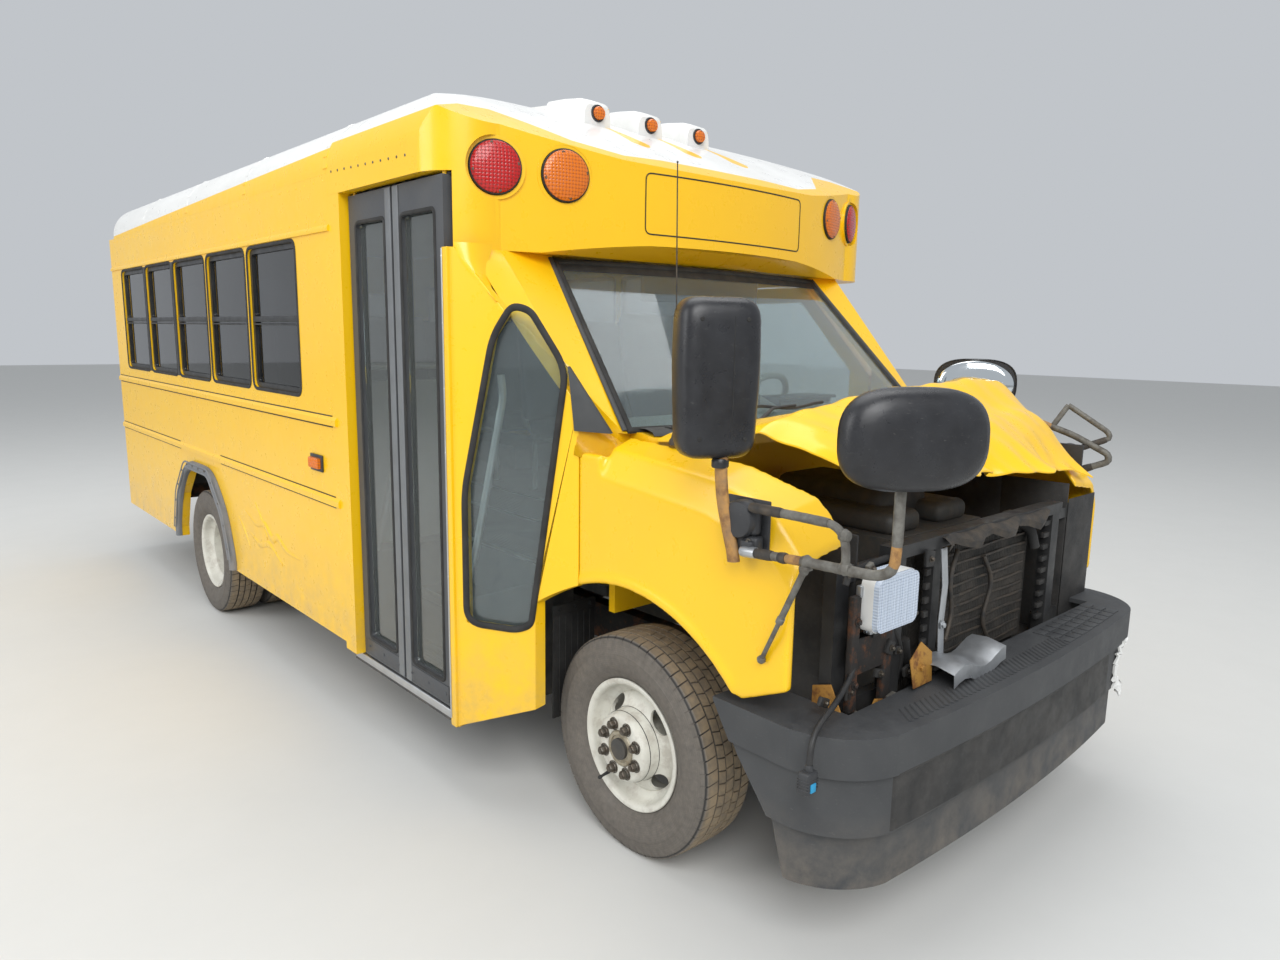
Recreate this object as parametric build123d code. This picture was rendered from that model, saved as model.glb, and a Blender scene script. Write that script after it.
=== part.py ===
from build123d import *
import math
import os

# Short school bus on a cutaway van chassis, as it stands after a front collision.
# Millimetres. +Z up, the front towards -Y, the entrance side at -X, ground at Z = 0.
# Places along the length are counted from the front axle, and at() turns them into Y.

# Chassis
FRONT_AXLE_Y = -2190.0
WHEELBASE = 3531.0
FRONT_TRACK_HALF = 822.0
REAR_DUAL_HALF = 968.0
RAIL_OUTER_X = 432.0
RAIL_WIDTH = 65.0
RAIL_HEIGHT = 150.0
RAIL_BOTTOM_Z = 430.0
RAIL_WALL = 8.0
TANK_BOTTOM_Z = 225.0
JACK_PAD_PLACE = 1200.0
JACK_PAD_HALF = 80.0
JACK_PAD_T = 12.0
CROSSMEMBER_HEIGHT = 58.0
CROSSMEMBERS = (-600.0, 1000.0, 1500.0, 2090.0, 2680.0, 3120.0, 3940.0, 4500.0, 5060.0)
OUTRIGGERS = (1800.0, 2380.0, 2900.0, 4130.0, 4650.0, 5200.0)
SPRING_X = 520.0
SPRING_REACH = 720.0
SPRING_RISE = 145.0
SPRING_LIFT = 104.0
LEAF_SHEET = 13.0

# Wheels
TYRE_R = 372.0
TYRE_WIDTH = 225.0
TYRE_WALL = 14.0
BEAD_R = 204.0
FLANGE_R = 221.0
RIM_HALF_WIDTH = 80.0
RIM_SHEET = 8.0
WELL_R = 176.0
DISC_OFFSET = 127.0
HUB_FACE_R = 108.0
LUG_PCD = 165.1
LUG_COUNT = 8
LUG_R = 13.0
LUG_LENGTH = 24.0
HAND_HOLE_COUNT = 4
SPINDLE_R = 35.0
RUNNING_FIT = 0.08
AXLE_Z = TYRE_R
PINION_REACH = 230.0
SUSPENSION_BEAM_Z = 425.0
KINGPIN_X = 730.0
KINGPIN_R = 16.0
STEER_LIMIT = 30.0

# Body
HALF_WIDTH = 1220.0
WALL = 45.0
RIB = 10.0
RIB_HEIGHT = 40.0
RIB_ZS = (963.0, 1310.0)
SKIRT_Z = 375.0
ROOF_EDGE_Z = 2325.0
EAVE_Z = 2345.0
CROWN_RISE = 355.0
EAVE_R = 200.0
WALL_FRONT = 1514.0
BODY_REAR = 5451.0
REAR_ROOF_R = 170.0
FLOOR_Z = 760.0
FLOOR_T = 40.0
FIT_GAP = 0.3

# Side windows
WINDOW_COUNT = 5
WINDOW_PITCH = 660.0
WINDOW_WIDTH = 612.0
WINDOW_FRONT = 1892.0
WINDOW_BOTTOM_Z = 1423.0
WINDOW_TOP_Z = 2089.0
WINDOW_R = 45.0
SASH = 26.0
SASH_DEPTH = 30.0
PANE = 6.0

# Rear wheel arch
ARCH_HALF_BOTTOM = 520.0
ARCH_HALF_TOP = 225.0
ARCH_TOP_Z = 860.0
FLARE_WIDTH = 48.0
FLARE_OUT = 22.0
MUD_FLAP = 448.0
FLAP_INNER_X = 700.0
FLAP_INSET = 75.0
WHEEL_BOX_CLEAR = 28.5
WHEEL_BOX_HALF = 460.0
WHEEL_BOX_TOP = 160.0

# Entrance
DOOR_FRONT = 645.0
DOOR_REAR = 1412.0
DOOR_BOTTOM_Z = 350.0
DOOR_TOP_Z = 2240.0
DOOR_INSET = 34.0
DOOR_OUTER_X = HALF_WIDTH - DOOR_INSET
LEAF_T = 40.0
LEAF_STILE = 62.0
LEAF_GAP = 12.0
JAMB_GAP = 14.0
HINGE_INSET = 20.0
ENTRANCE_PIN_R = 8.0
ENTRANCE_PIN_DEPTH = 32.0
STEP_INNER_X = 640.0
STEP_ZS = (355.0, 560.0)

# Rear wall
REAR_WALL_BOTTOM_Z = 646.0
REAR_DOOR_HALF = 420.0
REAR_DOOR_BOTTOM_Z = 800.0
REAR_DOOR_TOP_Z = 2230.0
REAR_DOOR_GAP = 7.0
REAR_DOOR_T = 40.0
REAR_DOOR_STILE = 110.0
# low and high Z of the two windows in the door
REAR_DOOR_WINDOWS = ((900.0, 1290.0), (WINDOW_BOTTOM_Z, REAR_DOOR_TOP_Z - 130))
REAR_HINGE_ZS = (1000.0, 1480.0, 2010.0)
REAR_HINGE_OUT = 12.0
REAR_PIN_R = 5.0
REAR_WINDOW_X = (560.0, 1040.0)
REAR_WINDOW_TOP_Z = WINDOW_TOP_Z - 60
# distance in from the wall: red and amber warning lamp, tail and turn lamp
REAR_LAMP_INSETS = (260.0, 480.0, 180.0)
TAIL_LAMP_Z = 1180.0
TURN_LAMP_Z = 960.0
REAR_BUMPER_INSET = 70.0
REAR_BUMPER_DEPTH = 80.0
REAR_BUMPER_BOTTOM_Z = 430.0
REAR_BUMPER_TOP_Z = 640.0
PLATE_X = 800.0
PLATE_Z = 1080.0
PLATE_SPACING_X = 178.0
PLATE_SPACING_Z = 121.0
PLATE_HOLE_R = 3.5

# Driver's door
LEFT_DOOR_FRONT = 372.0
LEFT_DOOR_REAR = 1290.0
LEFT_DOOR_BOTTOM_Z = 480.0
LEFT_DOOR_TOP_Z = 1955.0
LEFT_DOOR_T = 60.0
LEFT_DOOR_GAP = 10.0
LEFT_HINGE_INSET = 9.0
LEFT_HINGE_ZS = (700.0, 1200.0)
LEFT_PIN_R = 5.0

# Nose
CAB_HALF = 980.0
CAB_SHEET = 26.0
FENDER_FRONT = -690.0
FENDER_REAR = 190.0
COWL_Y = 77.0
COWL_Z = 1399.0
COWL_FRONT = -21.0
# distance from the front axle and top height of each fender station
FENDER_TOPS = ((-690.0, 1185.0), (-600.0, 1282.0), (-380.0, 1348.0), (77.0, 1391.0))
HOOD_SEAM_REAR_X = CAB_HALF - 130.0
HOOD_SEAM_FRONT_X = CAB_HALF - 240.0
SCREEN_BASE_HALF = CAB_HALF - 120.0
SCREEN_TOP_HALF = CAB_HALF - 222.0
SCREEN_TOP_Y = 625.0
SCREEN_TOP_Z = 1976.0
SCREEN_GLASS = 11.0
SCREEN_BOW = 90.0
ARCH_CENTRE = -45.0
ARCH_CENTRE_Z = 300.0
FRONT_ARCH_R = 632.0
FRONT_ARCH_REAR = 335.0

# Front cap above the windshield
CAP_BOTTOM_Z = 1990.0
SIGN_Y = 450.0
SIGN_BOTTOM_Z = 2065.0
SIGN_TOP_Z = 2318.0
CAP_WALL = 50.0
LAMP_R = 89.0
LAMP_DEPTH = 42.0
CAP_CORNER = 220.0
CAP_CREST = 1380.0
# distance in from the wall, distance from the front axle, Z of the red and the amber warning lamp
LAMP_PLACES = ((206.0, 613.0, 2262.0), (448.0, 545.0, 2256.0))
ROOF_LAMP_R = 24.0
HUMP_HALF = 62.0
ROOF_LAMP_XS = (-298.0, 0.0, 298.0)
ROOF_LAMP_FACE = 946.0
ROOF_LAMP_Z = 2610.0

# Radiator and its open support
RADIATOR_FOOT_Z = 622.0
SUPPORT_Y = -700.0
SUPPORT_POST_X = 520.0
SUPPORT_OUTER_X = 755.0
TIE_TOP_Z = 1130.0

# Loom of the right lamp: over the bumper's shelf and down outside its corner, in x, distance, z
LOOM_R = 8.0
LOOM_GLAND_R = 12.0
LOOM_PLUG = (44.0, 34.0, 62.0)
LOOM_POINTS = (
    (-704.0, -702.0, 868.0), (-724.0, -728.0, 850.0), (-768.0, -740.0, 806.0), (-826.0, -751.0, 772.0),
    (-886.0, -763.0, 752.0), (-944.0, -776.0, 742.0), (-988.0, -788.0, 722.0), (-1005.0, -792.0, 682.0),
    (-1007.0, -793.0, 650.0),
)

# Bumper
BUMPER_FRONT = -950.0
BUMPER_HALF = 985.0
BUMPER_TOP_Z = 712.0
BUMPER_SHEET = 22.0

# Stop arm on the left wall
STOP_ARM_PLACE = 1990.0
STOP_ARM_Z = 1180.0

# Cab and seats
STEERING_WHEEL_R = 185.0
DRIVER_X = 450.0
SEAT_ROWS = 5
SEAT_PITCH = 700.0
SEAT_WIDTH = 860.0
SEAT_FIRST = 1960.0


def at(distance):
    """Y of a place counted rearward from the front axle."""
    return FRONT_AXLE_Y + distance


REAR_Y = at(BODY_REAR)
REAR_AXLE_Y = at(WHEELBASE)
WALL_FRONT_Y = at(WALL_FRONT)
ROOF_TOP_Z = EAVE_Z + CROWN_RISE
WHEEL_BOX_X = REAR_DUAL_HALF - DISC_OFFSET - TYRE_WIDTH / 2 - WHEEL_BOX_CLEAR
RAIL_MID_X = RAIL_OUTER_X - RAIL_WIDTH / 2

# The slanted panel runs from the doorway's front post forward and inward to the fender.
PANEL_REAR = DOOR_FRONT - 28
PANEL_REAR_X = -(HALF_WIDTH - 24)
PANEL_FRONT_X = -(CAB_HALF - 4)
PANEL_T = 40.0
PANEL_LENGTH = math.hypot(PANEL_FRONT_X - PANEL_REAR_X, PANEL_REAR - FENDER_REAR)
PANEL_PLANE = Plane(
    origin=(PANEL_REAR_X, at(PANEL_REAR), 0),
    x_dir=(PANEL_FRONT_X - PANEL_REAR_X, FENDER_REAR - PANEL_REAR, 0),
    z_dir=(FENDER_REAR - PANEL_REAR, PANEL_REAR_X - PANEL_FRONT_X, 0),
)
PANEL_INWARD = PANEL_PLANE.z_dir * -1

# Entrance leaves by name: edge nearer the front axle, farther edge
LEAF_MID = (DOOR_FRONT + DOOR_REAR) / 2
LEAVES = {
    "front": (DOOR_FRONT + JAMB_GAP, LEAF_MID - LEAF_GAP / 2),
    "rear": (LEAF_MID + LEAF_GAP / 2, DOOR_REAR - JAMB_GAP),
}


def block(x0, x1, y0, y1, z0, z1):
    """Box between two corners."""
    size = (abs(x1 - x0), abs(y1 - y0), abs(z1 - z0))
    return Pos((x0 + x1) / 2, (y0 + y1) / 2, (z0 + z1) / 2) * Box(*size)


def ring(points):
    """Closed flat face through points."""
    return make_face(Polyline(*points, close=True))


def side_prism(points, x0, x1):
    """Outline of (Y, Z) points carried from x0 to x1."""
    plane = Plane(origin=(min(x0, x1), 0, 0), x_dir=(0, 1, 0), z_dir=(1, 0, 0))
    return extrude(plane * ring(points), amount=abs(x1 - x0), dir=(1, 0, 0))


def front_prism(points, y0, y1):
    """Outline of (X, Z) points carried from y0 to y1."""
    plane = Plane(origin=(0, max(y0, y1), 0), x_dir=(1, 0, 0), z_dir=(0, -1, 0))
    return extrude(plane * ring(points), amount=abs(y1 - y0), dir=(0, -1, 0))


def plan_prism(points, z0, z1):
    """Outline of (X, Y) points carried from z0 to z1."""
    return extrude(Pos(0, 0, min(z0, z1)) * ring(points), amount=abs(z1 - z0), dir=(0, 0, 1))


def rod(start, end, radius):
    """Round bar between two points."""
    axis = Vector(*end) - Vector(*start)
    plane = Plane(origin=start, z_dir=axis)
    return extrude(plane * Circle(radius), amount=axis.length, dir=axis.normalized())


def x_turned(profile, x, y, z, side=1):
    """Body of revolution about X: profile of (outward distance, radius) points."""
    plane = Plane(origin=(x, y, z), x_dir=(side, 0, 0), z_dir=(0, -side, 0))
    return revolve(plane * profile, axis=Axis((x, y, z), (1, 0, 0)), revolution_arc=360)


def mirrored(shape):
    """The same piece on the other side."""
    return mirror(shape, about=Plane.YZ)


def one(*shapes):
    """Fuse shapes into one piece."""
    result = shapes[0]
    for shape in shapes[1:]:
        result = result + shape
    return result


def several(shapes):
    """Solids that don't touch, kept in one node."""
    solids = []
    for shape in shapes:
        solids += shape.solids()
    return Compound(children=solids)


def window_hole(x0, x1, y0, y1, z0, z1, radius):
    """Rounded rectangular hole through a wall that faces X."""
    hole = block(x0, x1, y0, y1, z0, z1)
    return fillet(hole.edges().filter_by(Axis.X), radius)


def rear_hole(x0, x1, y0, y1, z0, z1, radius):
    """Rounded rectangular hole through a wall that faces Y."""
    hole = block(x0, x1, y0, y1, z0, z1)
    return fillet(hole.edges().filter_by(Axis.Y), radius)


# Wheels
def tyre_section():
    """Carcass with bead, bulging sidewall, square shoulder and tread."""
    half = TYRE_WIDTH / 2
    bead = RIM_HALF_WIDTH - FIT_GAP
    shoulder = half - 16
    with BuildSketch() as sketch:
        with BuildLine():
            Polyline((bead, BEAD_R), (bead, FLANGE_R + 2), (bead + 14, FLANGE_R + 12))
            ThreePointArc((bead + 14, FLANGE_R + 12), (half, FLANGE_R + 66), (shoulder + 6, TYRE_R - 22))
            Polyline((shoulder + 6, TYRE_R - 22), (shoulder - 14, TYRE_R - 2), (0, TYRE_R))
            Polyline((0, TYRE_R), (0, TYRE_R - TYRE_WALL), (shoulder - 24, TYRE_R - TYRE_WALL - 6))
            inner = half - TYRE_WALL
            ThreePointArc(
                (shoulder - 24, TYRE_R - TYRE_WALL - 6), (inner, FLANGE_R + 66), (bead - 4, FLANGE_R + 2)
            )
            Polyline((bead - 4, FLANGE_R + 2), (bead - 14, BEAD_R), (bead, BEAD_R))
        make_face()
        mirror(about=Plane.YZ)
    return sketch.sketch


def tyre(x):
    return x_turned(tyre_section(), x, 0, 0)


def rim_sheet(face):
    """Rim well, flanges and dished disc; face is the disc's outer plane from the rim's middle."""
    seat = BEAD_R - FIT_GAP
    lip = RIM_HALF_WIDTH + 8
    well = 34.0
    outline = [
        (-lip, FLANGE_R), (-RIM_HALF_WIDTH, FLANGE_R), (-RIM_HALF_WIDTH, seat), (-well - 16, seat - 3),
        (-well, WELL_R), (well, WELL_R), (well + 16, seat - 3), (RIM_HALF_WIDTH, seat),
        (RIM_HALF_WIDTH, FLANGE_R), (lip, FLANGE_R), (lip, seat - RIM_SHEET),
        (well + 20, seat - RIM_SHEET - 4), (well + 6, WELL_R - RIM_SHEET),
        (-well - 6, WELL_R - RIM_SHEET), (-well - 20, seat - RIM_SHEET - 4), (-lip, seat - RIM_SHEET),
    ]
    disc = [
        (face, SPINDLE_R + 20), (face, HUB_FACE_R - 8), (face - 8, HUB_FACE_R),
        (face - 62, HUB_FACE_R + 10), (well + 4, WELL_R - 1), (well - 12, WELL_R - 1),
        (face - 74, HUB_FACE_R), (face - RIM_SHEET - 8, HUB_FACE_R - RIM_SHEET),
        (face - RIM_SHEET, HUB_FACE_R - 18), (face - RIM_SHEET, SPINDLE_R + 20),
    ]
    return outline, disc


def rim(x, side):
    """Steel disc wheel whose dish points along side."""
    outline, disc = rim_sheet(DISC_OFFSET)
    body = one(x_turned(ring(outline), x, 0, 0, side), x_turned(ring(disc), x, 0, 0, side))
    hand_r = (HUB_FACE_R + WELL_R) / 2 + 4
    for k in range(HAND_HOLE_COUNT):
        angle = math.radians(45 + 360 / HAND_HOLE_COUNT * k)
        centre = Plane(
            origin=(x, hand_r * math.cos(angle), hand_r * math.sin(angle)),
            x_dir=(0, -math.sin(angle), math.cos(angle)),
            z_dir=(side, 0, 0),
        )
        body = body - extrude(centre * SlotOverall(76, 40), amount=DISC_OFFSET)
    return body


def lug_nuts(x, side):
    """Ring of wheel nuts standing on the disc at x."""
    nuts = []
    for k in range(LUG_COUNT):
        angle = 2 * math.pi * (k + 0.5) / LUG_COUNT
        y = LUG_PCD / 2 * math.cos(angle)
        z = LUG_PCD / 2 * math.sin(angle)
        plane = Plane(origin=(x, y, z), z_dir=(side, 0, 0))
        nuts.append(extrude(plane * RegularPolygon(LUG_R, 6), amount=LUG_LENGTH))
    return nuts


def hub(face_x, side, inner_x, bore_r):
    """Hub barrel with a flange behind the disc and a bore for the spindle."""
    length = abs(face_x - inner_x)
    points = [
        (0, bore_r), (0, SPINDLE_R + 32), (length - 26, SPINDLE_R + 32), (length - 26, LUG_PCD / 2 + 18),
        (length, LUG_PCD / 2 + 18), (length, SPINDLE_R + 20 - FIT_GAP), (length + 34, SPINDLE_R + 12),
        (length + 40, SPINDLE_R - 6), (length + 40, 0), (length + 30, 0), (length + 30, bore_r),
    ]
    return x_turned(ring(points), inner_x, 0, 0, side)


def place_wheel(shape, y):
    return Pos(0, y, AXLE_Z) * shape


def front_wheel(side):
    """Tyre and rim of one front wheel, built at the left and mirrored for the right."""
    x = FRONT_TRACK_HALF
    disc_x = x + DISC_OFFSET
    flange_face = disc_x - RIM_SHEET
    steel = one(rim(x, 1), hub(flange_face, 1, KINGPIN_X + 40, SPINDLE_R + RUNNING_FIT), *lug_nuts(disc_x, 1))
    pair = [place_wheel(tyre(x), at(0)), place_wheel(steel, at(0))]
    return pair if side > 0 else [mirrored(piece) for piece in pair]


def rear_wheels(side):
    """Twin tyres and rims of one side, discs back to back."""
    mount = REAR_DUAL_HALF
    inner_x = mount - DISC_OFFSET
    outer_x = mount + DISC_OFFSET
    tyres = several([place_wheel(tyre(x), REAR_AXLE_Y) for x in (inner_x, outer_x)])
    # The outer disc lies on the inner one, so both rims and the hub are one steel piece.
    hub_inner = mount - 120
    steel = one(
        rim(inner_x, 1), rim(outer_x, -1), hub(mount - RIM_SHEET, 1, hub_inner, SPINDLE_R + RUNNING_FIT),
        *lug_nuts(mount + RIM_SHEET - 8, 1),
    )
    pair = [tyres, place_wheel(steel, REAR_AXLE_Y)]
    if side > 0:
        return pair
    return [several([mirrored(solid) for solid in piece.solids()]) for piece in pair]


# Chassis
def channel(side, y0, y1):
    """One frame rail, an open channel that faces inward."""
    x1 = RAIL_OUTER_X
    x0 = x1 - RAIL_WIDTH
    z0 = RAIL_BOTTOM_Z
    z1 = z0 + RAIL_HEIGHT
    rail = block(x0, x1, y0, y1, z0, z1) - block(
        x0 - 1, x1 - RAIL_WALL, y0 - 1, y1 + 1, z0 + RAIL_WALL, z1 - RAIL_WALL
    )
    return rail if side > 0 else mirrored(rail)


def frame_rails():
    """Two rails, their crossmembers inside the channels, and the body outriggers."""
    y0 = at(BUMPER_FRONT) + 150
    y1 = REAR_Y
    rails = {
        side: one(channel(side, y0, y1), spring_hanger(side, 1), spring_hanger(side, -1), jack_pad(side))
        for side in (1, -1)
    }
    beams = []
    inner = RAIL_OUTER_X - RAIL_WALL - FIT_GAP
    z1 = RAIL_BOTTOM_Z + RAIL_HEIGHT - RAIL_WALL - FIT_GAP
    z0 = z1 - CROSSMEMBER_HEIGHT
    for place in CROSSMEMBERS:
        beam = block(-inner, inner, at(place) - 35, at(place) + 35, z0, z1)
        pocket = block(-inner + 60, inner - 60, at(place) - 27, at(place) + 36, z0 + 8, z1 - 8)
        beams.append(beam - pocket)
    for place in OUTRIGGERS:
        for side in (1, -1):
            x0 = side * (RAIL_OUTER_X - RAIL_WIDTH)
            x1 = side * (HALF_WIDTH - WALL - 20)
            y = at(place)
            top = FLOOR_Z - FLOOR_T - FIT_GAP
            seat = RAIL_BOTTOM_Z + RAIL_HEIGHT
            foot = block(x0, side * RAIL_OUTER_X, y - 30, y + 30, seat, top)
            arm = block(side * RAIL_OUTER_X, x1, y - 30, y + 30, top - 110, top)
            rails[side] = one(rails[side], foot, arm)
    return several([rails[1], rails[-1]] + beams)


def spring_hanger(side, end):
    """Bracket on the rail that the leaf spring's end rests on."""
    near = SPRING_REACH - 20
    under_rise = SPRING_RISE + 1
    under_r = (SPRING_REACH ** 2 + under_rise ** 2) / (2 * under_rise)
    under_z = AXLE_Z + SPRING_LIFT - LEAF_SHEET - 1 + under_r - math.sqrt(under_r ** 2 - near ** 2)
    y0 = REAR_AXLE_Y + end * near
    return block(
        side * RAIL_OUTER_X, side * (SPRING_X + 38), y0, y0 + end * 80, RAIL_BOTTOM_Z + 90, under_z - FIT_GAP
    )


def jack_pad(side):
    """Plate welded under the rail for the saddle of a floor jack."""
    return block(
        side * (RAIL_OUTER_X - RAIL_WIDTH), side * RAIL_OUTER_X, at(JACK_PAD_PLACE - JACK_PAD_HALF),
        at(JACK_PAD_PLACE + JACK_PAD_HALF), RAIL_BOTTOM_Z - JACK_PAD_T, RAIL_BOTTOM_Z + 1,
    )


def powertrain():
    """Engine as one plain block, gearbox bell and case, and the propeller shaft."""
    engine = block(-290, 290, at(-550), at(120), 470, 1080)
    bell = Pos(0, at(120), 560) * Rot(-90, 0, 0) * Cone(
        190, 110, 260, align=(Align.CENTER, Align.CENTER, Align.MIN)
    )
    case = rod((0, at(370), 560), (0, at(900), 490), 105)
    shaft = rod((0, at(890), 465), (0, REAR_AXLE_Y - PINION_REACH - 3, AXLE_Z + 10), 38)
    feet = [
        block(side * 170, side * 270, at(-60), at(60), SUSPENSION_BEAM_Z + FIT_GAP, 480) for side in (1, -1)
    ]
    return one(engine, bell, case, shaft, *feet)


def exhaust():
    """Silencer and tail pipe outside the right rail, ending behind the rear wheel."""
    x = -600.0
    low = 520.0
    high = 652.0
    silencer = rod((x, at(1860), low), (x, at(2320), low), 80)
    pipe = tube_run(
        [(x, at(980), low), (x, at(2960), low), (x, at(3170), high), (x, at(3860), high), (x, at(4060), low),
         (x, at(5380), 470)], 30
    )
    hangers = [
        block(x - 12, x + 12, at(place) - 15, at(place) + 15, low - 10, FLOOR_Z - FLOOR_T - 110.6)
        for place in (1800.0, 4650.0)
    ]
    return one(silencer, pipe, *hangers)


def fuel_tank():
    """Tank between the rails behind the rear axle, with its two straps."""
    x = RAIL_OUTER_X - RAIL_WIDTH - 30
    top = RAIL_BOTTOM_Z - FIT_GAP
    tank = block(-x, x, at(4150), at(5080), TANK_BOTTOM_Z, top - 4)
    tank = fillet(tank.edges().filter_by(Axis.Y), 60)
    straps = []
    for y in (4380.0, 4850.0):
        hoop = block(-x - 5, x + 5, at(y) - 20, at(y) + 20, TANK_BOTTOM_Z - 5, top) - block(
            -x + 1, x - 1, at(y) - 21, at(y) + 21, TANK_BOTTOM_Z + 1, top - 5
        )
        hanger = block(-RAIL_OUTER_X + 10, RAIL_OUTER_X - 10, at(y) - 20, at(y) + 20, top - 5, top)
        straps += [hoop, hanger]
    return one(tank, *straps)


def front_suspension():
    """Crossmember under the engine with lower and upper arms out to the kingpins."""
    beam = block(-360, 360, at(-110), at(110), 290, SUSPENSION_BEAM_Z)
    lower_z = AXLE_Z - 140
    upper_z = AXLE_Z + 128
    arms = []
    # height, half width at the frame, inner X, thickness
    for z, reach, inner, t in ((lower_z, 150, 330, 36), (upper_z, 110, RAIL_OUTER_X + 4, 30)):
        y = at(0)
        arm = plan_prism(
            [(inner, y - reach), (KINGPIN_X - 90, y - 46), (KINGPIN_X + 22, y - 34),
             (KINGPIN_X + 22, y + 34), (KINGPIN_X - 90, y + 46), (inner, y + reach)], z - t / 2, z + t / 2
        )
        window = plan_prism(
            [(inner + 60, y - reach + 70), (KINGPIN_X - 130, y - 14), (KINGPIN_X - 130, y + 14),
             (inner + 60, y + reach - 70)], z - t, z + t
        )
        bore = Pos(KINGPIN_X, y, z) * Cylinder(KINGPIN_R + RUNNING_FIT, 2 * t)
        arms.append(arm - window - bore)
    drop = block(330, 360, at(-110), at(110), lower_z - 18, SUSPENSION_BEAM_Z)
    upper_mount = block(RAIL_OUTER_X + FIT_GAP, 470, at(-110), at(110), 400, upper_z + 15)
    web = block(345, 470, at(-100), at(100), 330, RAIL_BOTTOM_Z - FIT_GAP)
    right = one(beam, drop, web, upper_mount, *arms)
    left = [mirrored(drop), mirrored(web), mirrored(upper_mount)] + [mirrored(arm) for arm in arms]
    return one(right, *left)


def knuckle(side):
    """Steering knuckle: kingpin post, spindle and brake backing plate."""
    lower_z = AXLE_Z - 140
    upper_z = AXLE_Z + 128
    y = at(0)
    post = Pos(KINGPIN_X, y, (lower_z + upper_z) / 2) * Cylinder(KINGPIN_R, upper_z - lower_z + 60)
    core = Pos(KINGPIN_X, y, (lower_z + upper_z) / 2) * Cylinder(34, upper_z - lower_z - 50)
    spindle = rod((KINGPIN_X, y, AXLE_Z), (FRONT_TRACK_HALF + DISC_OFFSET + 10, y, AXLE_Z), SPINDLE_R)
    shoulder = rod((KINGPIN_X, y, AXLE_Z), (KINGPIN_X + 34, y, AXLE_Z), SPINDLE_R + 22)
    arm = block(KINGPIN_X - 20, KINGPIN_X + 16, y, y + 150, AXLE_Z - 70, AXLE_Z - 46)
    body = one(post, core, spindle, shoulder, arm)
    return body if side > 0 else mirrored(body)


def rear_axle():
    """Axle tube, differential, spindles, and the leaf springs seated on the tube."""
    y = REAR_AXLE_Y
    tube_end = REAR_DUAL_HALF - 160
    tube = rod((-tube_end, y, AXLE_Z), (tube_end, y, AXLE_Z), 52)
    spindle_end = REAR_DUAL_HALF + 12
    spindle = rod((-spindle_end, y, AXLE_Z), (spindle_end, y, AXLE_Z), SPINDLE_R)
    bowl = Pos(0, y, AXLE_Z) * Sphere(165)
    carrier = rod((0, y - PINION_REACH, AXLE_Z + 8), (0, y, AXLE_Z), 90)
    springs = []
    for side in (1, -1):
        x = side * SPRING_X
        for k, share in enumerate((1.0, 0.7, 0.42)):
            half = SPRING_REACH * share
            sag = SPRING_RISE * share ** 2
            top = AXLE_Z + SPRING_LIFT - (LEAF_SHEET + 1) * k
            leaf = ThreePointArc((y - half, top + sag), (y, top), (y + half, top + sag))
            outline = make_face(
                Curve() + [
                    leaf, Line((y + half, top + sag), (y + half, top + sag - LEAF_SHEET)),
                    ThreePointArc(
                        (y + half, top + sag - LEAF_SHEET), (y, top - LEAF_SHEET - 1),
                        (y - half, top + sag - LEAF_SHEET),
                    ),
                    Line((y - half, top + sag - LEAF_SHEET), (y - half, top + sag)),
                ]
            )
            plane = Plane(origin=(x - 35, 0, 0), x_dir=(0, 1, 0), z_dir=(1, 0, 0))
            springs.append(extrude(plane * outline, amount=70, dir=(1, 0, 0)))
        springs.append(block(x - 42, x + 42, y - 70, y + 70, AXLE_Z + 30, AXLE_Z + 66))
        springs.append(block(x - 42, x + 42, y - 50, y + 50, AXLE_Z + 60, AXLE_Z + 122))
    return one(tube, spindle, bowl, carrier, *springs)


# Body
def crown_outline(half, base_z, eave_z, rise, eave_r):
    """Body section: straight sides, small eave arcs and a wide crown arc, as one face."""
    crown_r = ((half - eave_r) ** 2 + rise ** 2 - eave_r ** 2) / (2 * (rise - eave_r))
    crown_z = eave_z + rise - crown_r
    lean = math.atan2(half - eave_r, eave_z - crown_z)
    joint = (crown_r * math.sin(lean), crown_z + crown_r * math.cos(lean))
    mid_angle = (math.pi / 2 - lean) / 2
    eave_mid = (half - eave_r + eave_r * math.cos(mid_angle), eave_z + eave_r * math.sin(mid_angle))
    with BuildSketch() as sketch:
        with BuildLine():
            Polyline((-half, eave_z), (-half, base_z), (half, base_z), (half, eave_z))
            ThreePointArc((half, eave_z), eave_mid, joint)
            ThreePointArc(joint, (0, eave_z + rise), (-joint[0], joint[1]))
            ThreePointArc((-joint[0], joint[1]), (-eave_mid[0], eave_mid[1]), (-half, eave_z))
        make_face()
    return sketch.sketch


def crown_body(inset, base_z, y0, y1):
    """Solid with the body section between two stations."""
    face = crown_outline(HALF_WIDTH - inset, base_z, EAVE_Z, CROWN_RISE - inset, EAVE_R - inset)
    plane = Plane(origin=(0, y1, 0), x_dir=(1, 0, 0), z_dir=(0, -1, 0))
    return extrude(plane * face, amount=y1 - y0, dir=(0, -1, 0))


def roof():
    """Roof shell from the front cap to the rounded rear header."""
    outer = rounded_rear(crown_body(0, ROOF_EDGE_Z, WALL_FRONT_Y, REAR_Y), REAR_ROOF_R)
    inner = crown_body(WALL, ROOF_EDGE_Z - 5, WALL_FRONT_Y - 5, REAR_Y - WALL)
    return outer - rounded_rear(inner, REAR_ROOF_R - WALL)


def rounded_rear(body, radius):
    """Body with the crown edges of its rear face rounded."""
    rear_face = body.faces().sort_by(Axis.Y)[-1]
    crown_edges = [edge for edge in rear_face.edges() if edge.center().Z > EAVE_Z + 5]
    return fillet(crown_edges, radius)


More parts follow.
